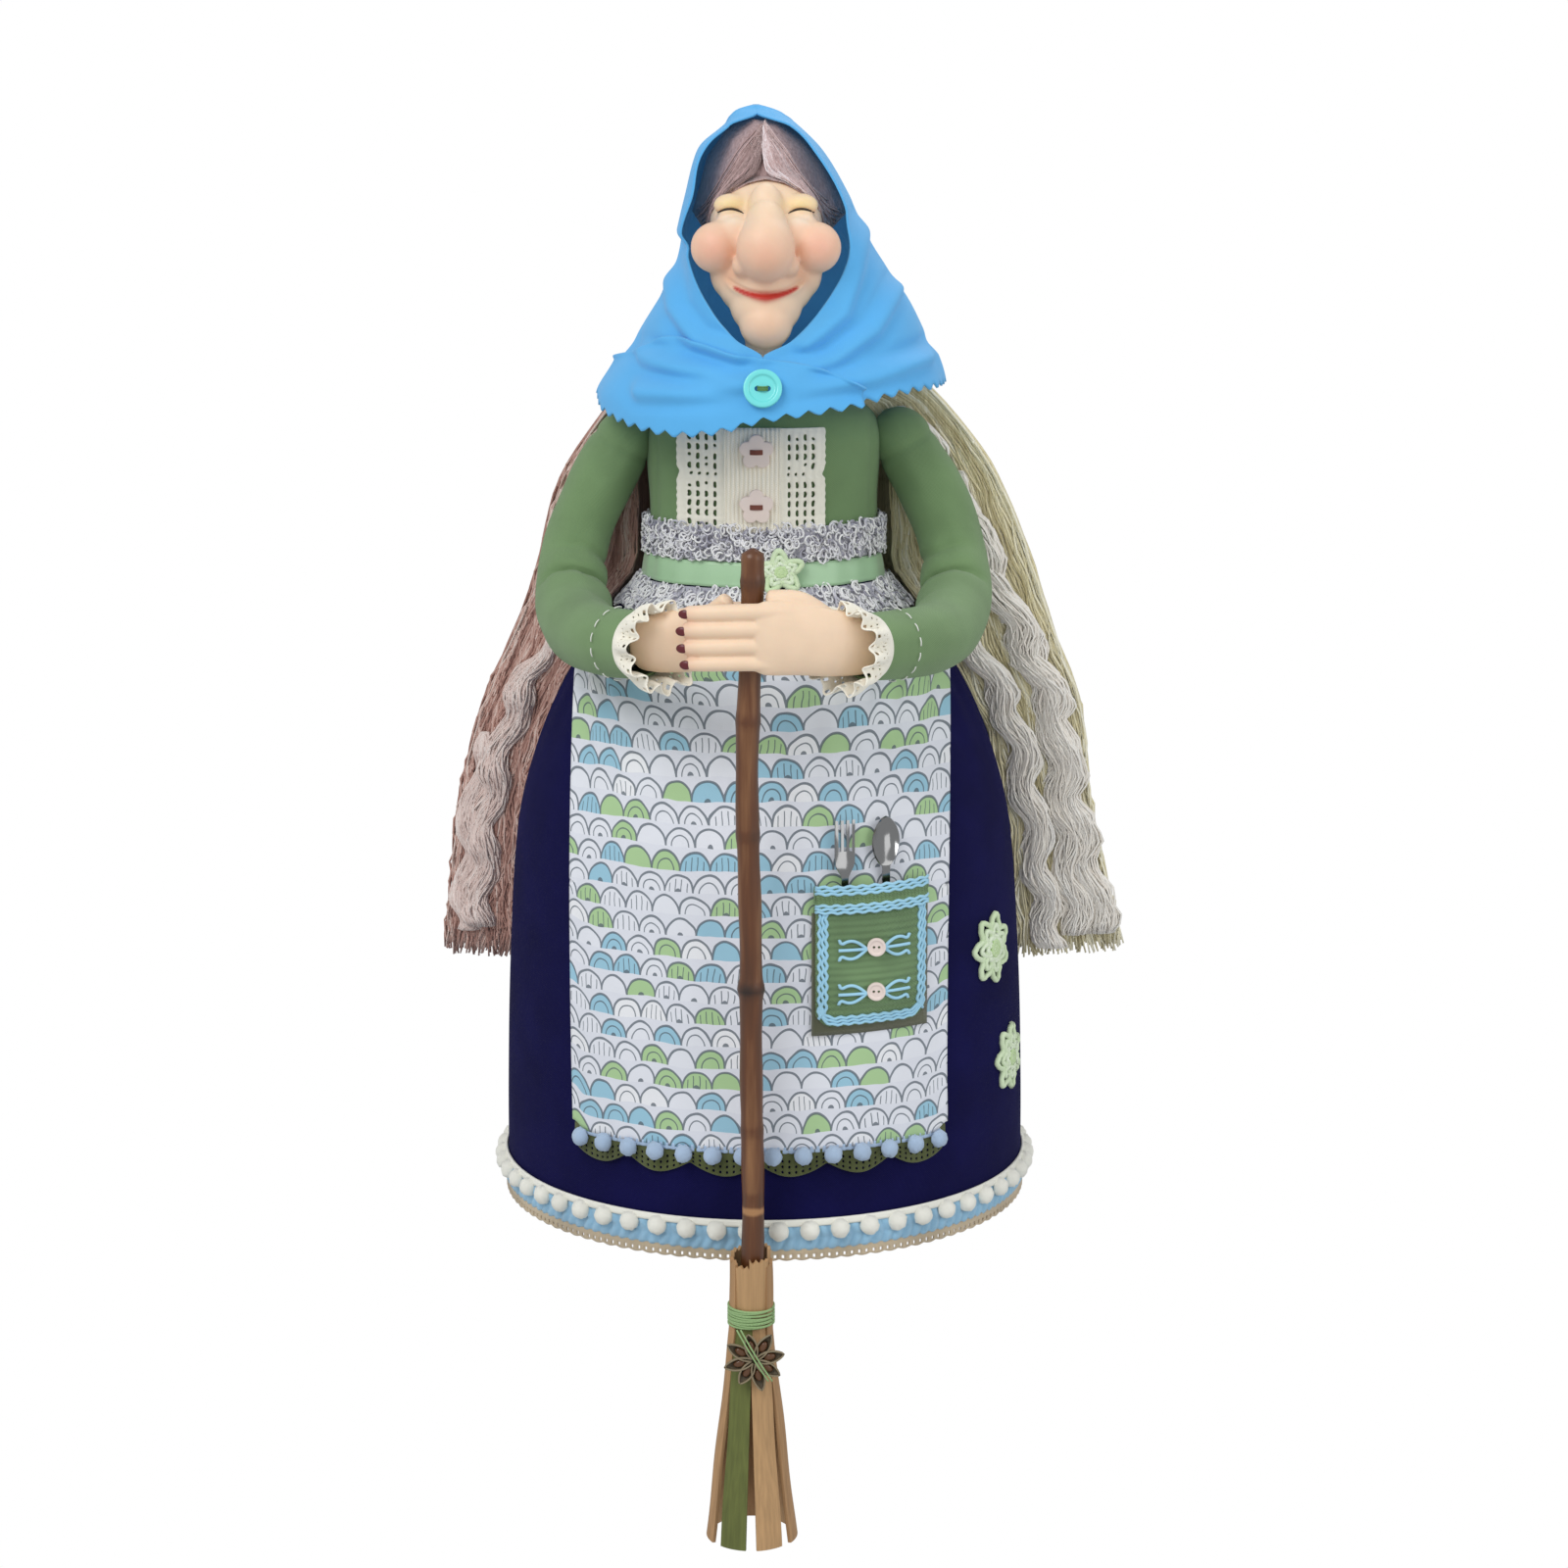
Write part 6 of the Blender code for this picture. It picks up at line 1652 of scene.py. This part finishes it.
def knit_place(u, v):
    x = POCKET_LEFT + (POCKET_RIGHT - POCKET_LEFT) * u
    foot = rounded_foot(u)
    height = foot + (POCKET_TOP - 0.0080 - foot) * v
    stitch = 0.00028 * math.cos(2 * math.pi * 17 * v) * (0.6 + 0.4 * math.cos(2 * math.pi * 26 * u))
    return pocket_point(x, height, 0.0004 + stitch)


knit = grid("pocket_knit", 160, 120, knit_place, (0.036, 0.040))
applied(knit, "SOLIDIFY", thickness=0.0006, offset=0.0)
GREEN_KNIT = fabric("green_knit", (0.175, 0.285, 0.135), 0.0009, 0.7, 0.45, 0.95, 0.1)


def mouth_place(u, v):
    x = POCKET_LEFT - 0.0006 + (POCKET_RIGHT - POCKET_LEFT + 0.0012) * u
    height = POCKET_TOP - 0.0086 + 0.0086 * v
    rib = 0.0003 * abs(math.sin(math.pi * 30 * u + 3 * v)) + 0.0004 * abs(math.sin(2 * math.pi * v))
    return pocket_point(x, height, 0.0006 + rib)


mouth = grid("pocket_mouth", 180, 16, mouth_place, (0.037, 0.009))
applied(mouth, "SOLIDIFY", thickness=0.0008, offset=0.0)
finished(joined("pocket_knit", [knit, mouth]), GREEN_KNIT, "green_cotton", "pocket")


pocket_cords = []
for at in range(6):
    inset = 0.0009 + 0.0010 * (at % 3)
    path = []
    side = -1 if at < 3 else 1
    for t in np.linspace(0, 1, 40):
        edge_x = POCKET_LEFT + inset if side < 0 else POCKET_RIGHT - inset
        height = POCKET_TOP - 0.009 + (POCKET_FOOT + 0.0020 + inset - POCKET_TOP + 0.009) * t
        path.append(pocket_point(edge_x + 0.00035 * math.sin(60 * t + at), height, 0.0010))
    pocket_cords.append(path)
for at in range(3):
    path = []
    for t in np.linspace(0, 1, 40):
        x = POCKET_LEFT + 0.001 + (POCKET_RIGHT - POCKET_LEFT - 0.002) * t
        height = rounded_foot(t) + 0.0008 + 0.0011 * at + 0.0003 * math.sin(60 * t + at)
        path.append(pocket_point(x, height, 0.0010))
    pocket_cords.append(path)
for at, level in enumerate((0.0004, 0.0015, 0.0026, 0.0066, 0.0077, 0.0088)):
    path = []
    for t in np.linspace(0, 1, 40):
        x = POCKET_LEFT - 0.0004 + (POCKET_RIGHT - POCKET_LEFT + 0.0008) * t
        height = POCKET_TOP - 0.0088 + level + 0.0003 * math.sin(60 * t + 2 * at)
        path.append(pocket_point(x, height, 0.0016))
    pocket_cords.append(path)
for height in FROG_HEIGHTS:
    for side in (-1, 1):
        for level in (-1, 0, 1):
            path = []
            for t in np.linspace(0, 1, 40):
                reach = 0.0026 + 0.0098 * t
                curl = 0.0030 * math.sin(math.pi * t) * level
                hook = 0.0030 * level * blend((t - 0.72) / 0.28)
                path.append(pocket_point(
                    FROG_X + side * (reach - 0.0012 * blend((t - 0.8) / 0.2)),
                    height - 0.0006 + curl + hook, 0.0014,
                ))
            pocket_cords.append(path)
cords = tubes(
    "pocket_cords", pocket_cords, np.full((len(pocket_cords), 40), 0.00055), 6
)
finished(cords, BLUE_YARN, "blue_trim", "pocket_braid")
for which, height in zip(("upper", "lower"), FROG_HEIGHTS):
    middle = pocket_point(FROG_X, height, 0.0024)
    button = round_button(f"pocket_button_{which}_wood", 0.0031, 0.0014, middle, (-1, 1), 0.25)
    applied(button, "TRIANGULATE")
    finished(button, PINKISH, "button_wood", f"pocket_button_{which}", sharp=40)

# Fork and spoon
# A doll's pressed steel fork and spoon, bright, standing in the pocket.
steel, tree, shader = new_material("bright_steel", 0.16, 1.0, colour=(0.27, 0.27, 0.27))
FORK_TOP, SPOON_TOP = (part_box(name)[1][2] - TO_FRAME.z for name in ("fork", "spoon"))
FORK_X, SPOON_X, CUTLERY_LENGTH = 0.0272, 0.0410, 0.060


def cutlery_place(x, top, width_at, dish_at):
    """A flat outline with a dish in it; y is the depth behind the rim."""
    def place(u, v):
        side = 2 * u - 1
        bowl = dish_at(v) * (1 - side * side)
        return Vector((x + width_at(v) * side, bowl, top - CUTLERY_LENGTH * (1 - v)))
    return place


BOWL_FROM = 0.74


def spoon_width(v):
    if v < BOWL_FROM:
        return 0.0011 + 0.0004 * (1 - v)
    t = (v - BOWL_FROM) / (1 - BOWL_FROM)
    return max(0.0011 * (1 - t) ** 2, 0.0045 * math.sin(math.pi * min(t * 0.96 + 0.04, 1)) ** 0.55)


def spoon_dish(v):
    return 0.0026 * math.sin(math.pi * max(v - BOWL_FROM, 0) / (1 - BOWL_FROM))


spoon = grid("spoon_pressed", 20, 120, cutlery_place(
    SPOON_X, SPOON_TOP, spoon_width, spoon_dish
), (0.009, CUTLERY_LENGTH))


def fork_width(v):
    return 0.0011 + 0.0022 * blend((v - 0.68) / 0.10)


fork = grid("fork_pressed", 28, 120, cutlery_place(
    FORK_X, FORK_TOP, fork_width,
    lambda v: 0.0010 * math.sin(math.pi * max(v - 0.70, 0) / 0.30),
), (0.007, CUTLERY_LENGTH))
cut_open(
    fork, 28, 120, (0.007, CUTLERY_LENGTH),
    lambda column, row: row > 99 and (column // 4) % 2 == 1,
)
for piece, name in ((spoon, "spoon"), (fork, "fork")):
    for vertex, level in [(v, v.co.y) for v in piece.data.vertices]:
        lean = 0.0030 + 0.0038 * blend((vertex.co.z - 0.124) / 0.012)
        wall = on_body(angle_at(vertex.co.x, vertex.co.z), vertex.co.z, lean)
        vertex.co.y = wall.y + level
    applied(piece, "SOLIDIFY", thickness=0.0006, offset=0.0)
    finished(piece, steel, "steel", name, sharp=60)

# Cuffs
# Gathered cream eyelet lace round each wrist, standing off the sleeve's end.
FRILLS = 11
for side, name in ((1, "left"), (-1, "right")):
    point, across, over, ahead, radius = arm_frame(1.0, side)

    def cuff_place(u, v):
        turn = 2 * math.pi * u
        frill = math.sin(turn * FRILLS) * blend((1 - v) * 1.4)
        reach = 0.0106 + 0.0032 * (1 - v) ** 0.8 + 0.0019 * frill
        scallop = 0.0010 * abs(math.sin(turn * FRILLS))
        out = across * math.cos(turn) + over * math.sin(turn)
        way = -0.0030 + (0.0142 + scallop) * (1 - v) + 0.0010 * math.sin(turn * 4 + 1) * (1 - v)
        return point + ahead * way + out * reach

    cuff = lace(
        f"cuff_{name}_frill", 198, 14, cuff_place, (0.08, 0.0105),
        lambda column, row: (row in (1, 2) and column % 6 in (2, 3))
        or (row == 5 and column % 4 == 1) or (row == 8 and column % 3 == 1),
        around=True, thick=0.0006,
    )
    finished(cuff, CREAM_LACE, "cream_lace", f"cuff_lace_{name}")

# Hands
# Matte clay hands laid one over the other round the stick: a palm, four fingers with dark
# red nails and a thumb, smoothed together.
FRONT = (
    (0.0408, -0.0901, 0.2112), (0.0330, -0.0985, 0.2118), (0.0230, -0.1075, 0.2140),
    (0.0100, -0.1114, 0.2160), (-0.0040, -0.1119, 0.2162), (-0.0170, -0.1110, 0.2158),
    (-0.0262, -0.1080, 0.2152),
)
REAR = (
    (-0.0408, -0.0901, 0.2112), (-0.0345, -0.0945, 0.2118), (-0.0230, -0.0970, 0.2135),
    (-0.0100, -0.0971, 0.2145), (0.0030, -0.0966, 0.2145), (0.0120, -0.0930, 0.2140),
)
# along each palm: half thickness and half height, from the wrist to the fingers
PALMS = {
    "hand_front": ((0.0058, 0.0086), (0.0060, 0.0096), (0.0057, 0.0108), (0.0046, 0.0118),
                   (0.0027, 0.0112)),
    "hand_rear": ((0.0058, 0.0086), (0.0058, 0.0096), (0.0048, 0.0106), (0.0038, 0.0110),
                  (0.0030, 0.0104)),
}
FINGERTIP = Vector((0.80, 0.47, 0.33))
nail_red, tree, shader = new_material("nail_red", 0.3, colour=(0.12, 0.012, 0.018))


def limb(paths, sides=14):
    """Closed round tubes with rounded ends, one for each (points, radii)."""
    made = []
    for points, radii in paths:
        count = 26
        line = smooth_path(points, count)
        widths = [
            through([(at, r) for at, r in enumerate(radii)], (len(radii) - 1) * t)
            for t in np.linspace(0, 1, count)
        ]
        ends = np.linspace(0, 1, count)
        beyond = np.clip(np.abs(2 * ends - 1) - 0.88, 0, 1)
        caps = np.sqrt(np.clip(1 - beyond ** 2 / 0.0144, 0.02, 1))
        made.append(tubes("limb", [line], [np.array(widths) * caps], sides))
    return made


for name, node_name, keys, facing in (
    ("hand_front", "hand_left", FRONT, 1), ("hand_rear", "hand_right", REAR, -1),
):
    knuckle = Vector(keys[3])
    across_palm = [-key[0] * facing for key in keys[:5]]
    palm = limb([(list(keys[:5]), [half for half, tall in PALMS[name]])], 32)[0]
    for vertex in palm.data.vertices:
        level = through(list(zip(across_palm, [key[2] for key in keys])), -vertex.co.x * facing)
        taller = through(
            list(zip(across_palm, [tall / half for half, tall in PALMS[name]])),
            -vertex.co.x * facing,
        )
        vertex.co.z = level + (vertex.co.z - level) * taller
    forms, tips = [palm], []
    for at, (rise, length, thick) in enumerate((
        (0.0085, 0.90, 0.0029), (0.0029, 1.0, 0.0030), (-0.0028, 0.985, 0.0029),
        (-0.0083, 0.88, 0.0026),
    )):
        start = Vector(keys[2]).lerp(knuckle, 0.5) + Vector((0, 0, rise * 0.72))
        run = [start, knuckle + Vector((0, -0.0002, rise * 0.96))]
        for key in keys[4:]:
            run.append(Vector(key) + Vector((0, 0, rise * 0.98)))
        tip = run[-2].lerp(run[-1], length)
        run[-1] = tip
        forms += limb([(run, (thick * 0.9, thick, thick, thick * 0.95, thick * 0.86))])
        tips.append((run[-2], tip, thick))
    if facing > 0:
        thumb = [(0.0215, -0.1040, 0.2205), (0.0120, -0.1080, 0.2275), (0.0010, -0.1075, 0.2285)]
    else:
        thumb = [(-0.0215, -0.0985, 0.2170), (-0.0160, -0.1015, 0.2225), (-0.0105, -0.1050, 0.2280)]
    forms += limb([(thumb, (0.0038, 0.0033, 0.0027))])
    hand = joined(name, forms)
    applied(hand, "REMESH", mode="VOXEL", voxel_size=0.0004)
    applied(hand, "SMOOTH", factor=0.5, iterations=11)
    tones = []
    for vertex in hand.data.vertices:
        tone = SKIN
        for start, tip, thick in tips:
            near = math.exp(-(((vertex.co - tip).length / 0.0045) ** 2))
            tone = tone.lerp(FINGERTIP, 0.55 * near)
        tones.append(tone)
    painted(hand, tones)
    nails = []
    for start, tip, thick in tips:
        way = (tip - start).normalized()
        bpy.ops.mesh.primitive_uv_sphere_add(segments=20, ring_count=12, radius=1.0)
        outer = Vector((way.y, -way.x, 0))
        outer = outer if outer.y < 0 else -outer
        place = tip - way * 0.0012 + outer * (thick * 0.66)
        turn = math.atan2(way.y, way.x)
        nails.append(placed(
            bpy.context.object, place, (0, 0, turn), (0.0021, 0.0007, 0.0015)
        ))
    nails = joined(f"{name}_nails", nails)
    finished(hand, clay(f"{name}_skin"), "clay", node_name)
    finished(nails, nail_red, "clay")

# Broom stick
# A peeled twig, glossy brown with small knots, a little crooked, with a pale ring near its foot.
bark, tree, shader = new_material("bark", 0.42)
shader.inputs["Coat Weight"].default_value = 0.15
streak = noisy(tree, 1.0, 6, (260, 260, 22)).outputs[0]
tone = maths(tree, "ADD", maths(tree, "MULTIPLY", streak, 0.9),
             maths(tree, "SUBTRACT", attribute(tree, "shade"), 0.45), clamp=True)
brown = ramped(
    tree, tone, (0.0, (0.020, 0.007, 0.003)), (0.48, (0.120, 0.038, 0.009)),
    (1.0, (0.40, 0.20, 0.08)),
)
tree.links.new(brown, shader.inputs["Base Color"])
raised(tree, shader, streak, 0.45, 0.0004)

BROOM = Vector((-0.0040, -0.1040, 0.0))
STICK_TOP, STICK_FOOT = 0.2440, -0.0180
KNOTS = ((0.2330, 0.0005), (0.1880, 0.0003), (0.1500, 0.0003), (0.0985, 0.0008), (0.0500, 0.0003))
path, radii, shades = [], [], []
for t in np.linspace(0, 1, 150):
    height = STICK_TOP + (STICK_FOOT - STICK_TOP) * t
    bend = 0.0007 * math.sin(height * 31) + 0.0004 * math.sin(height * 57 + 1)
    path.append(BROOM + Vector((bend, 0, height)))
    knot = sum(size * math.exp(-(((height - at) / 0.0022) ** 2)) for at, size in KNOTS)
    dome = math.sqrt(max(1 - max(1 - t / 0.010, 0) ** 2, 0.03))
    radii.append((0.00375 + knot + 0.00012 * math.sin(height * 210)) * dome)
    dark = sum(size / 0.0009 * math.exp(-(((height - at) / 0.0018) ** 2)) for at, size in KNOTS)
    pale = math.exp(-(((height - 0.0225) / 0.0009) ** 2))
    shades.append(0.5 - 0.42 * min(dark, 1) + 0.9 * pale - 0.12 * (t > 0.82))
stick = tubes("broom_branch", [path], [radii], 24, [shades])
finished(stick, bark, "bark", "broom_stick")

# Broom strips
# Thin split strips of tan wood, one dyed olive, bound round the stick's foot and spreading to a
# blunt end. Their last third is past the photograph's edge.
split_wood, tree, shader = new_material("split_wood", 0.75)
grain = noisy(tree, 1.0, 5, (900, 900, 18)).outputs[0]
streaks = maths(tree, "ADD", maths(tree, "MULTIPLY", grain, 0.8), 0.55)
tree.links.new(
    lit_by(tree, attribute(tree, "paint", "Color"), streaks), shader.inputs["Base Color"]
)
raised(tree, shader, grain, 0.5, 0.0003)
STRIP_TOPS = (0.0070, 0.0050, 0.0095, 0.0030, 0.0080, 0.0060, 0.0050)
STRIP_END, STRIP_SEAT = -0.0930, 0.0054
UNDER_BINDING = -0.0135
TINTS = ((0.50, 0.30, 0.14), (0.42, 0.24, 0.11), (0.55, 0.34, 0.17), (0.36, 0.20, 0.09),
         (0.50, 0.31, 0.15), (0.45, 0.26, 0.12), (0.13, 0.15, 0.035))
for at, top in enumerate(STRIP_TOPS):
    turn = 2 * math.pi * (at + 0.5) / 7

    def strip_place(u, v):
        height = STRIP_END + (top - STRIP_END) * v
        flare = max(-0.0190 - height, 0.0)
        near = STRIP_SEAT + 0.11 * flare + 0.0008
        half = 0.0031 + 0.02 * flare
        spread = math.asin(half / near) * (2 * u - 1)
        jag = 0.0015 * abs(math.sin(u * 9 + at)) * (v > 0.98)
        warp = 0.0002 * math.sin(v * 14 + at * 2) + 0.0005 * (at % 2)
        swing = turn + spread
        return BROOM + Vector((
            (near + warp) * math.sin(swing), -(near + warp) * math.cos(swing), height - jag
        ))

    strip = grid(f"broom_strip_{at + 1}_split", 12, 60, strip_place, (0.006, 0.10))
    applied(strip, "SOLIDIFY", thickness=0.0012, offset=0.0)
    painted(strip, [
        TINTS[at] if at < 6 or vertex.co.z < UNDER_BINDING else TINTS[0]
        for vertex in strip.data.vertices
    ])
    finished(
        strip, split_wood, "olive_strip" if at == 6 else "wood", f"broom_strip_{at + 1}",
        smooth=False,
    )

# Broom binding
# Fine green thread wound many times round the strips, with a turn carried over the pod.
BIND_HIGH, BIND_LOW, BIND_RADIUS, BIND_TURNS = -0.0113, -0.0167, 0.0076, 13
path = []
for t in np.linspace(0, 1, 520):
    turn = 2 * math.pi * BIND_TURNS * t
    level = BIND_LOW + (BIND_HIGH - BIND_LOW) * (0.5 + 0.5 * math.sin(math.pi * (t * 3.3 - 0.5)))
    path.append(BROOM + Vector((
        BIND_RADIUS * math.sin(turn), -BIND_RADIUS * math.cos(turn),
        level + 0.0005 * math.sin(turn * 0.37),
    )))
winding = tubes("broom_binding_thread", [path], np.full((1, 520), 0.00042), 6)
pod = BROOM + Vector((0.0012, -0.0098, -0.0262))
over = []
for shift in (-0.0009, 0.0004):
    line = []
    for t in np.linspace(0, 1, 24):
        line.append(pod + Vector((
            -0.0050 + 0.0105 * t + shift, -0.0030 - 0.0016 * math.sin(math.pi * t),
            0.0110 - 0.0180 * t,
        )))
    over.append(line)
over = tubes("broom_binding_over", over, np.full((2, 24), 0.00028), 6)
binding_thread, tree, shader = new_material("binding_thread", 0.7, colour=(0.30, 0.46, 0.20))
finished(joined("broom_binding_thread", [winding, over]), binding_thread, "green_trim",
         "broom_binding")

# Star anise
# A dried pod: eight boat-shaped carpels open along their upper edge, each with a glossy seed.
anise, tree, shader = new_material("anise_pod", 0.6)
rough = noisy(tree, 700, 4).outputs[0]
tone = maths(tree, "ADD", maths(tree, "MULTIPLY", rough, 0.45),
             maths(tree, "SUBTRACT", attribute(tree, "shade"), 0.2), clamp=True)
tree.links.new(
    mixed(tree, tone, (0.028, 0.018, 0.009), (0.29, 0.23, 0.14)), shader.inputs["Base Color"]
)
raised(tree, shader, rough, 0.5, 0.0004)
CARPELS = 8
carpels, seeds = [], []
for at in range(CARPELS):
    start = 2 * math.pi * (at + 0.3) / CARPELS
    long_way = 0.0093 + 0.0007 * math.sin(at * 2.3)
    outline = Vector((math.cos(start), 0, math.sin(start)))
    square = Vector((-math.sin(start), 0, math.cos(start)))

    def carpel_place(u, v):
        """v runs from the middle outward, u across from lip over the keel to the other lip."""
        along = 0.0008 + long_way * v
        wide = 0.0021 * math.sin(math.pi * min(v * 0.92 + 0.08, 1)) ** 0.7
        turn = math.pi * 1.12 * (u - 0.5)
        aside = wide * math.sin(turn) * (1 if abs(turn) < 1.6 else 0.97)
        deep = 0.0022 * math.cos(turn) * math.sin(math.pi * min(v * 0.85 + 0.15, 1)) ** 0.5
        return pod + outline * along + square * aside + Vector((0, deep - 0.0026, 0))

    carpel = grid("carpel", 14, 16, carpel_place, (0.004, 0.009))
    shaded(carpel, [
        0.85 if abs((index % 15) - 7) > 5 else 0.25 for index in range(len(carpel.data.vertices))
    ])
    applied(carpel, "SOLIDIFY", thickness=0.0005, offset=0.0)
    carpels.append(carpel)
    bpy.ops.mesh.primitive_uv_sphere_add(segments=16, ring_count=10, radius=1.0)
    seeds.append(placed(
        bpy.context.object, pod + outline * (long_way * 0.55) + Vector((0, -0.0018, 0)),
        (0, -start, 0), (0.0021, 0.0010, 0.0013),
    ))
finished(joined("star_anise_pod", carpels), anise, "anise", "star_anise")
seed_gloss, tree, shader = new_material("anise_seed", 0.2, colour=(0.12, 0.05, 0.02))
finished(joined("star_anise_seeds", seeds), seed_gloss, "anise")

# Hanging ring
# A small brass ring on a tab of the kerchief's cotton, sewn on behind the head.
RING_WIRE, TAB_CLOTH = 0.0009, 0.0006
ring_low, ring_high = (Vector(corner) - TO_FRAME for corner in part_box("hanging_ring"))
ring_middle = (ring_low + ring_high) / 2
bpy.ops.mesh.primitive_torus_add(
    major_segments=72, minor_segments=20, major_radius=0.0090, minor_radius=RING_WIRE
)
ring = placed(bpy.context.object, ring_middle, (math.radians(90), 0, 0))
ring.name = "hanging_ring_wire"
brass, tree, shader = new_material("brass", 0.25, 1.0, colour=(0.72, 0.52, 0.22))
finished(ring, brass, "brass", "hanging_ring")
tab_low, tab_high = (Vector(corner) - TO_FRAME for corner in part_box("ring_tab"))
wire = Vector((ring_middle.x, ring_middle.y, ring_low.z + RING_WIRE))


def tab_place(u, v):
    """v runs from the sewn end up before the wire, over it inside the ring, and down behind.

    Both ends lie on the kerchief, where they are sewn.
    """
    bend = RING_WIRE + 0.0001 + TAB_CLOTH / 2
    turn = math.pi * min(max((v - 0.40) / 0.20, 0.0), 1.0)
    down = max(0.40 - v, v - 0.60, 0.0) / 0.40
    apart = bend + (TAB_CLOTH * 0.6 - bend) * blend(down)
    return Vector((
        tab_low.x + (tab_high.x - tab_low.x) * u,
        wire.y - apart * math.cos(turn) + (tab_low.y + TAB_CLOTH - wire.y) * blend(down),
        wire.z + bend * math.sin(turn) - (wire.z - tab_low.z) * down,
    ))


tab = grid("ring_tab_cloth", 10, 40, tab_place, (0.004, 0.012))
applied(tab, "SOLIDIFY", thickness=TAB_CLOTH, offset=0.0)
finished(tab, BLUE_CLOTH, "blue_cotton", "ring_tab")

# Stuffing and base
# Cotton wadding fills body and arms, a card disc closes the foot and a dowel holds the head.
# They are hidden by the clothes and keep the shape of the solids.
wadding, tree, shader = new_material("wadding", 0.95, sheen=0.4, colour=(0.74, 0.72, 0.66))
card, tree, shader = new_material("card", 0.85, colour=(0.40, 0.30, 0.19))
dowel_wood, tree, shader = new_material("dowel_wood", 0.7, colour=(0.50, 0.32, 0.16))
for side in ("left", "right"):
    arm = cored(f"arm_{side}_padding", f"arm_{side}", 0.0030)
    finished(arm, wadding, "wadding", f"arm_{side}")
for node_name, material in (
    ("torso_stuffing", wadding), ("skirt_stuffing", wadding), ("base_disc", card),
    ("neck_dowel", dowel_wood),
):
    for place in bpy.data.objects[node_name].material_slots:
        place.material = material
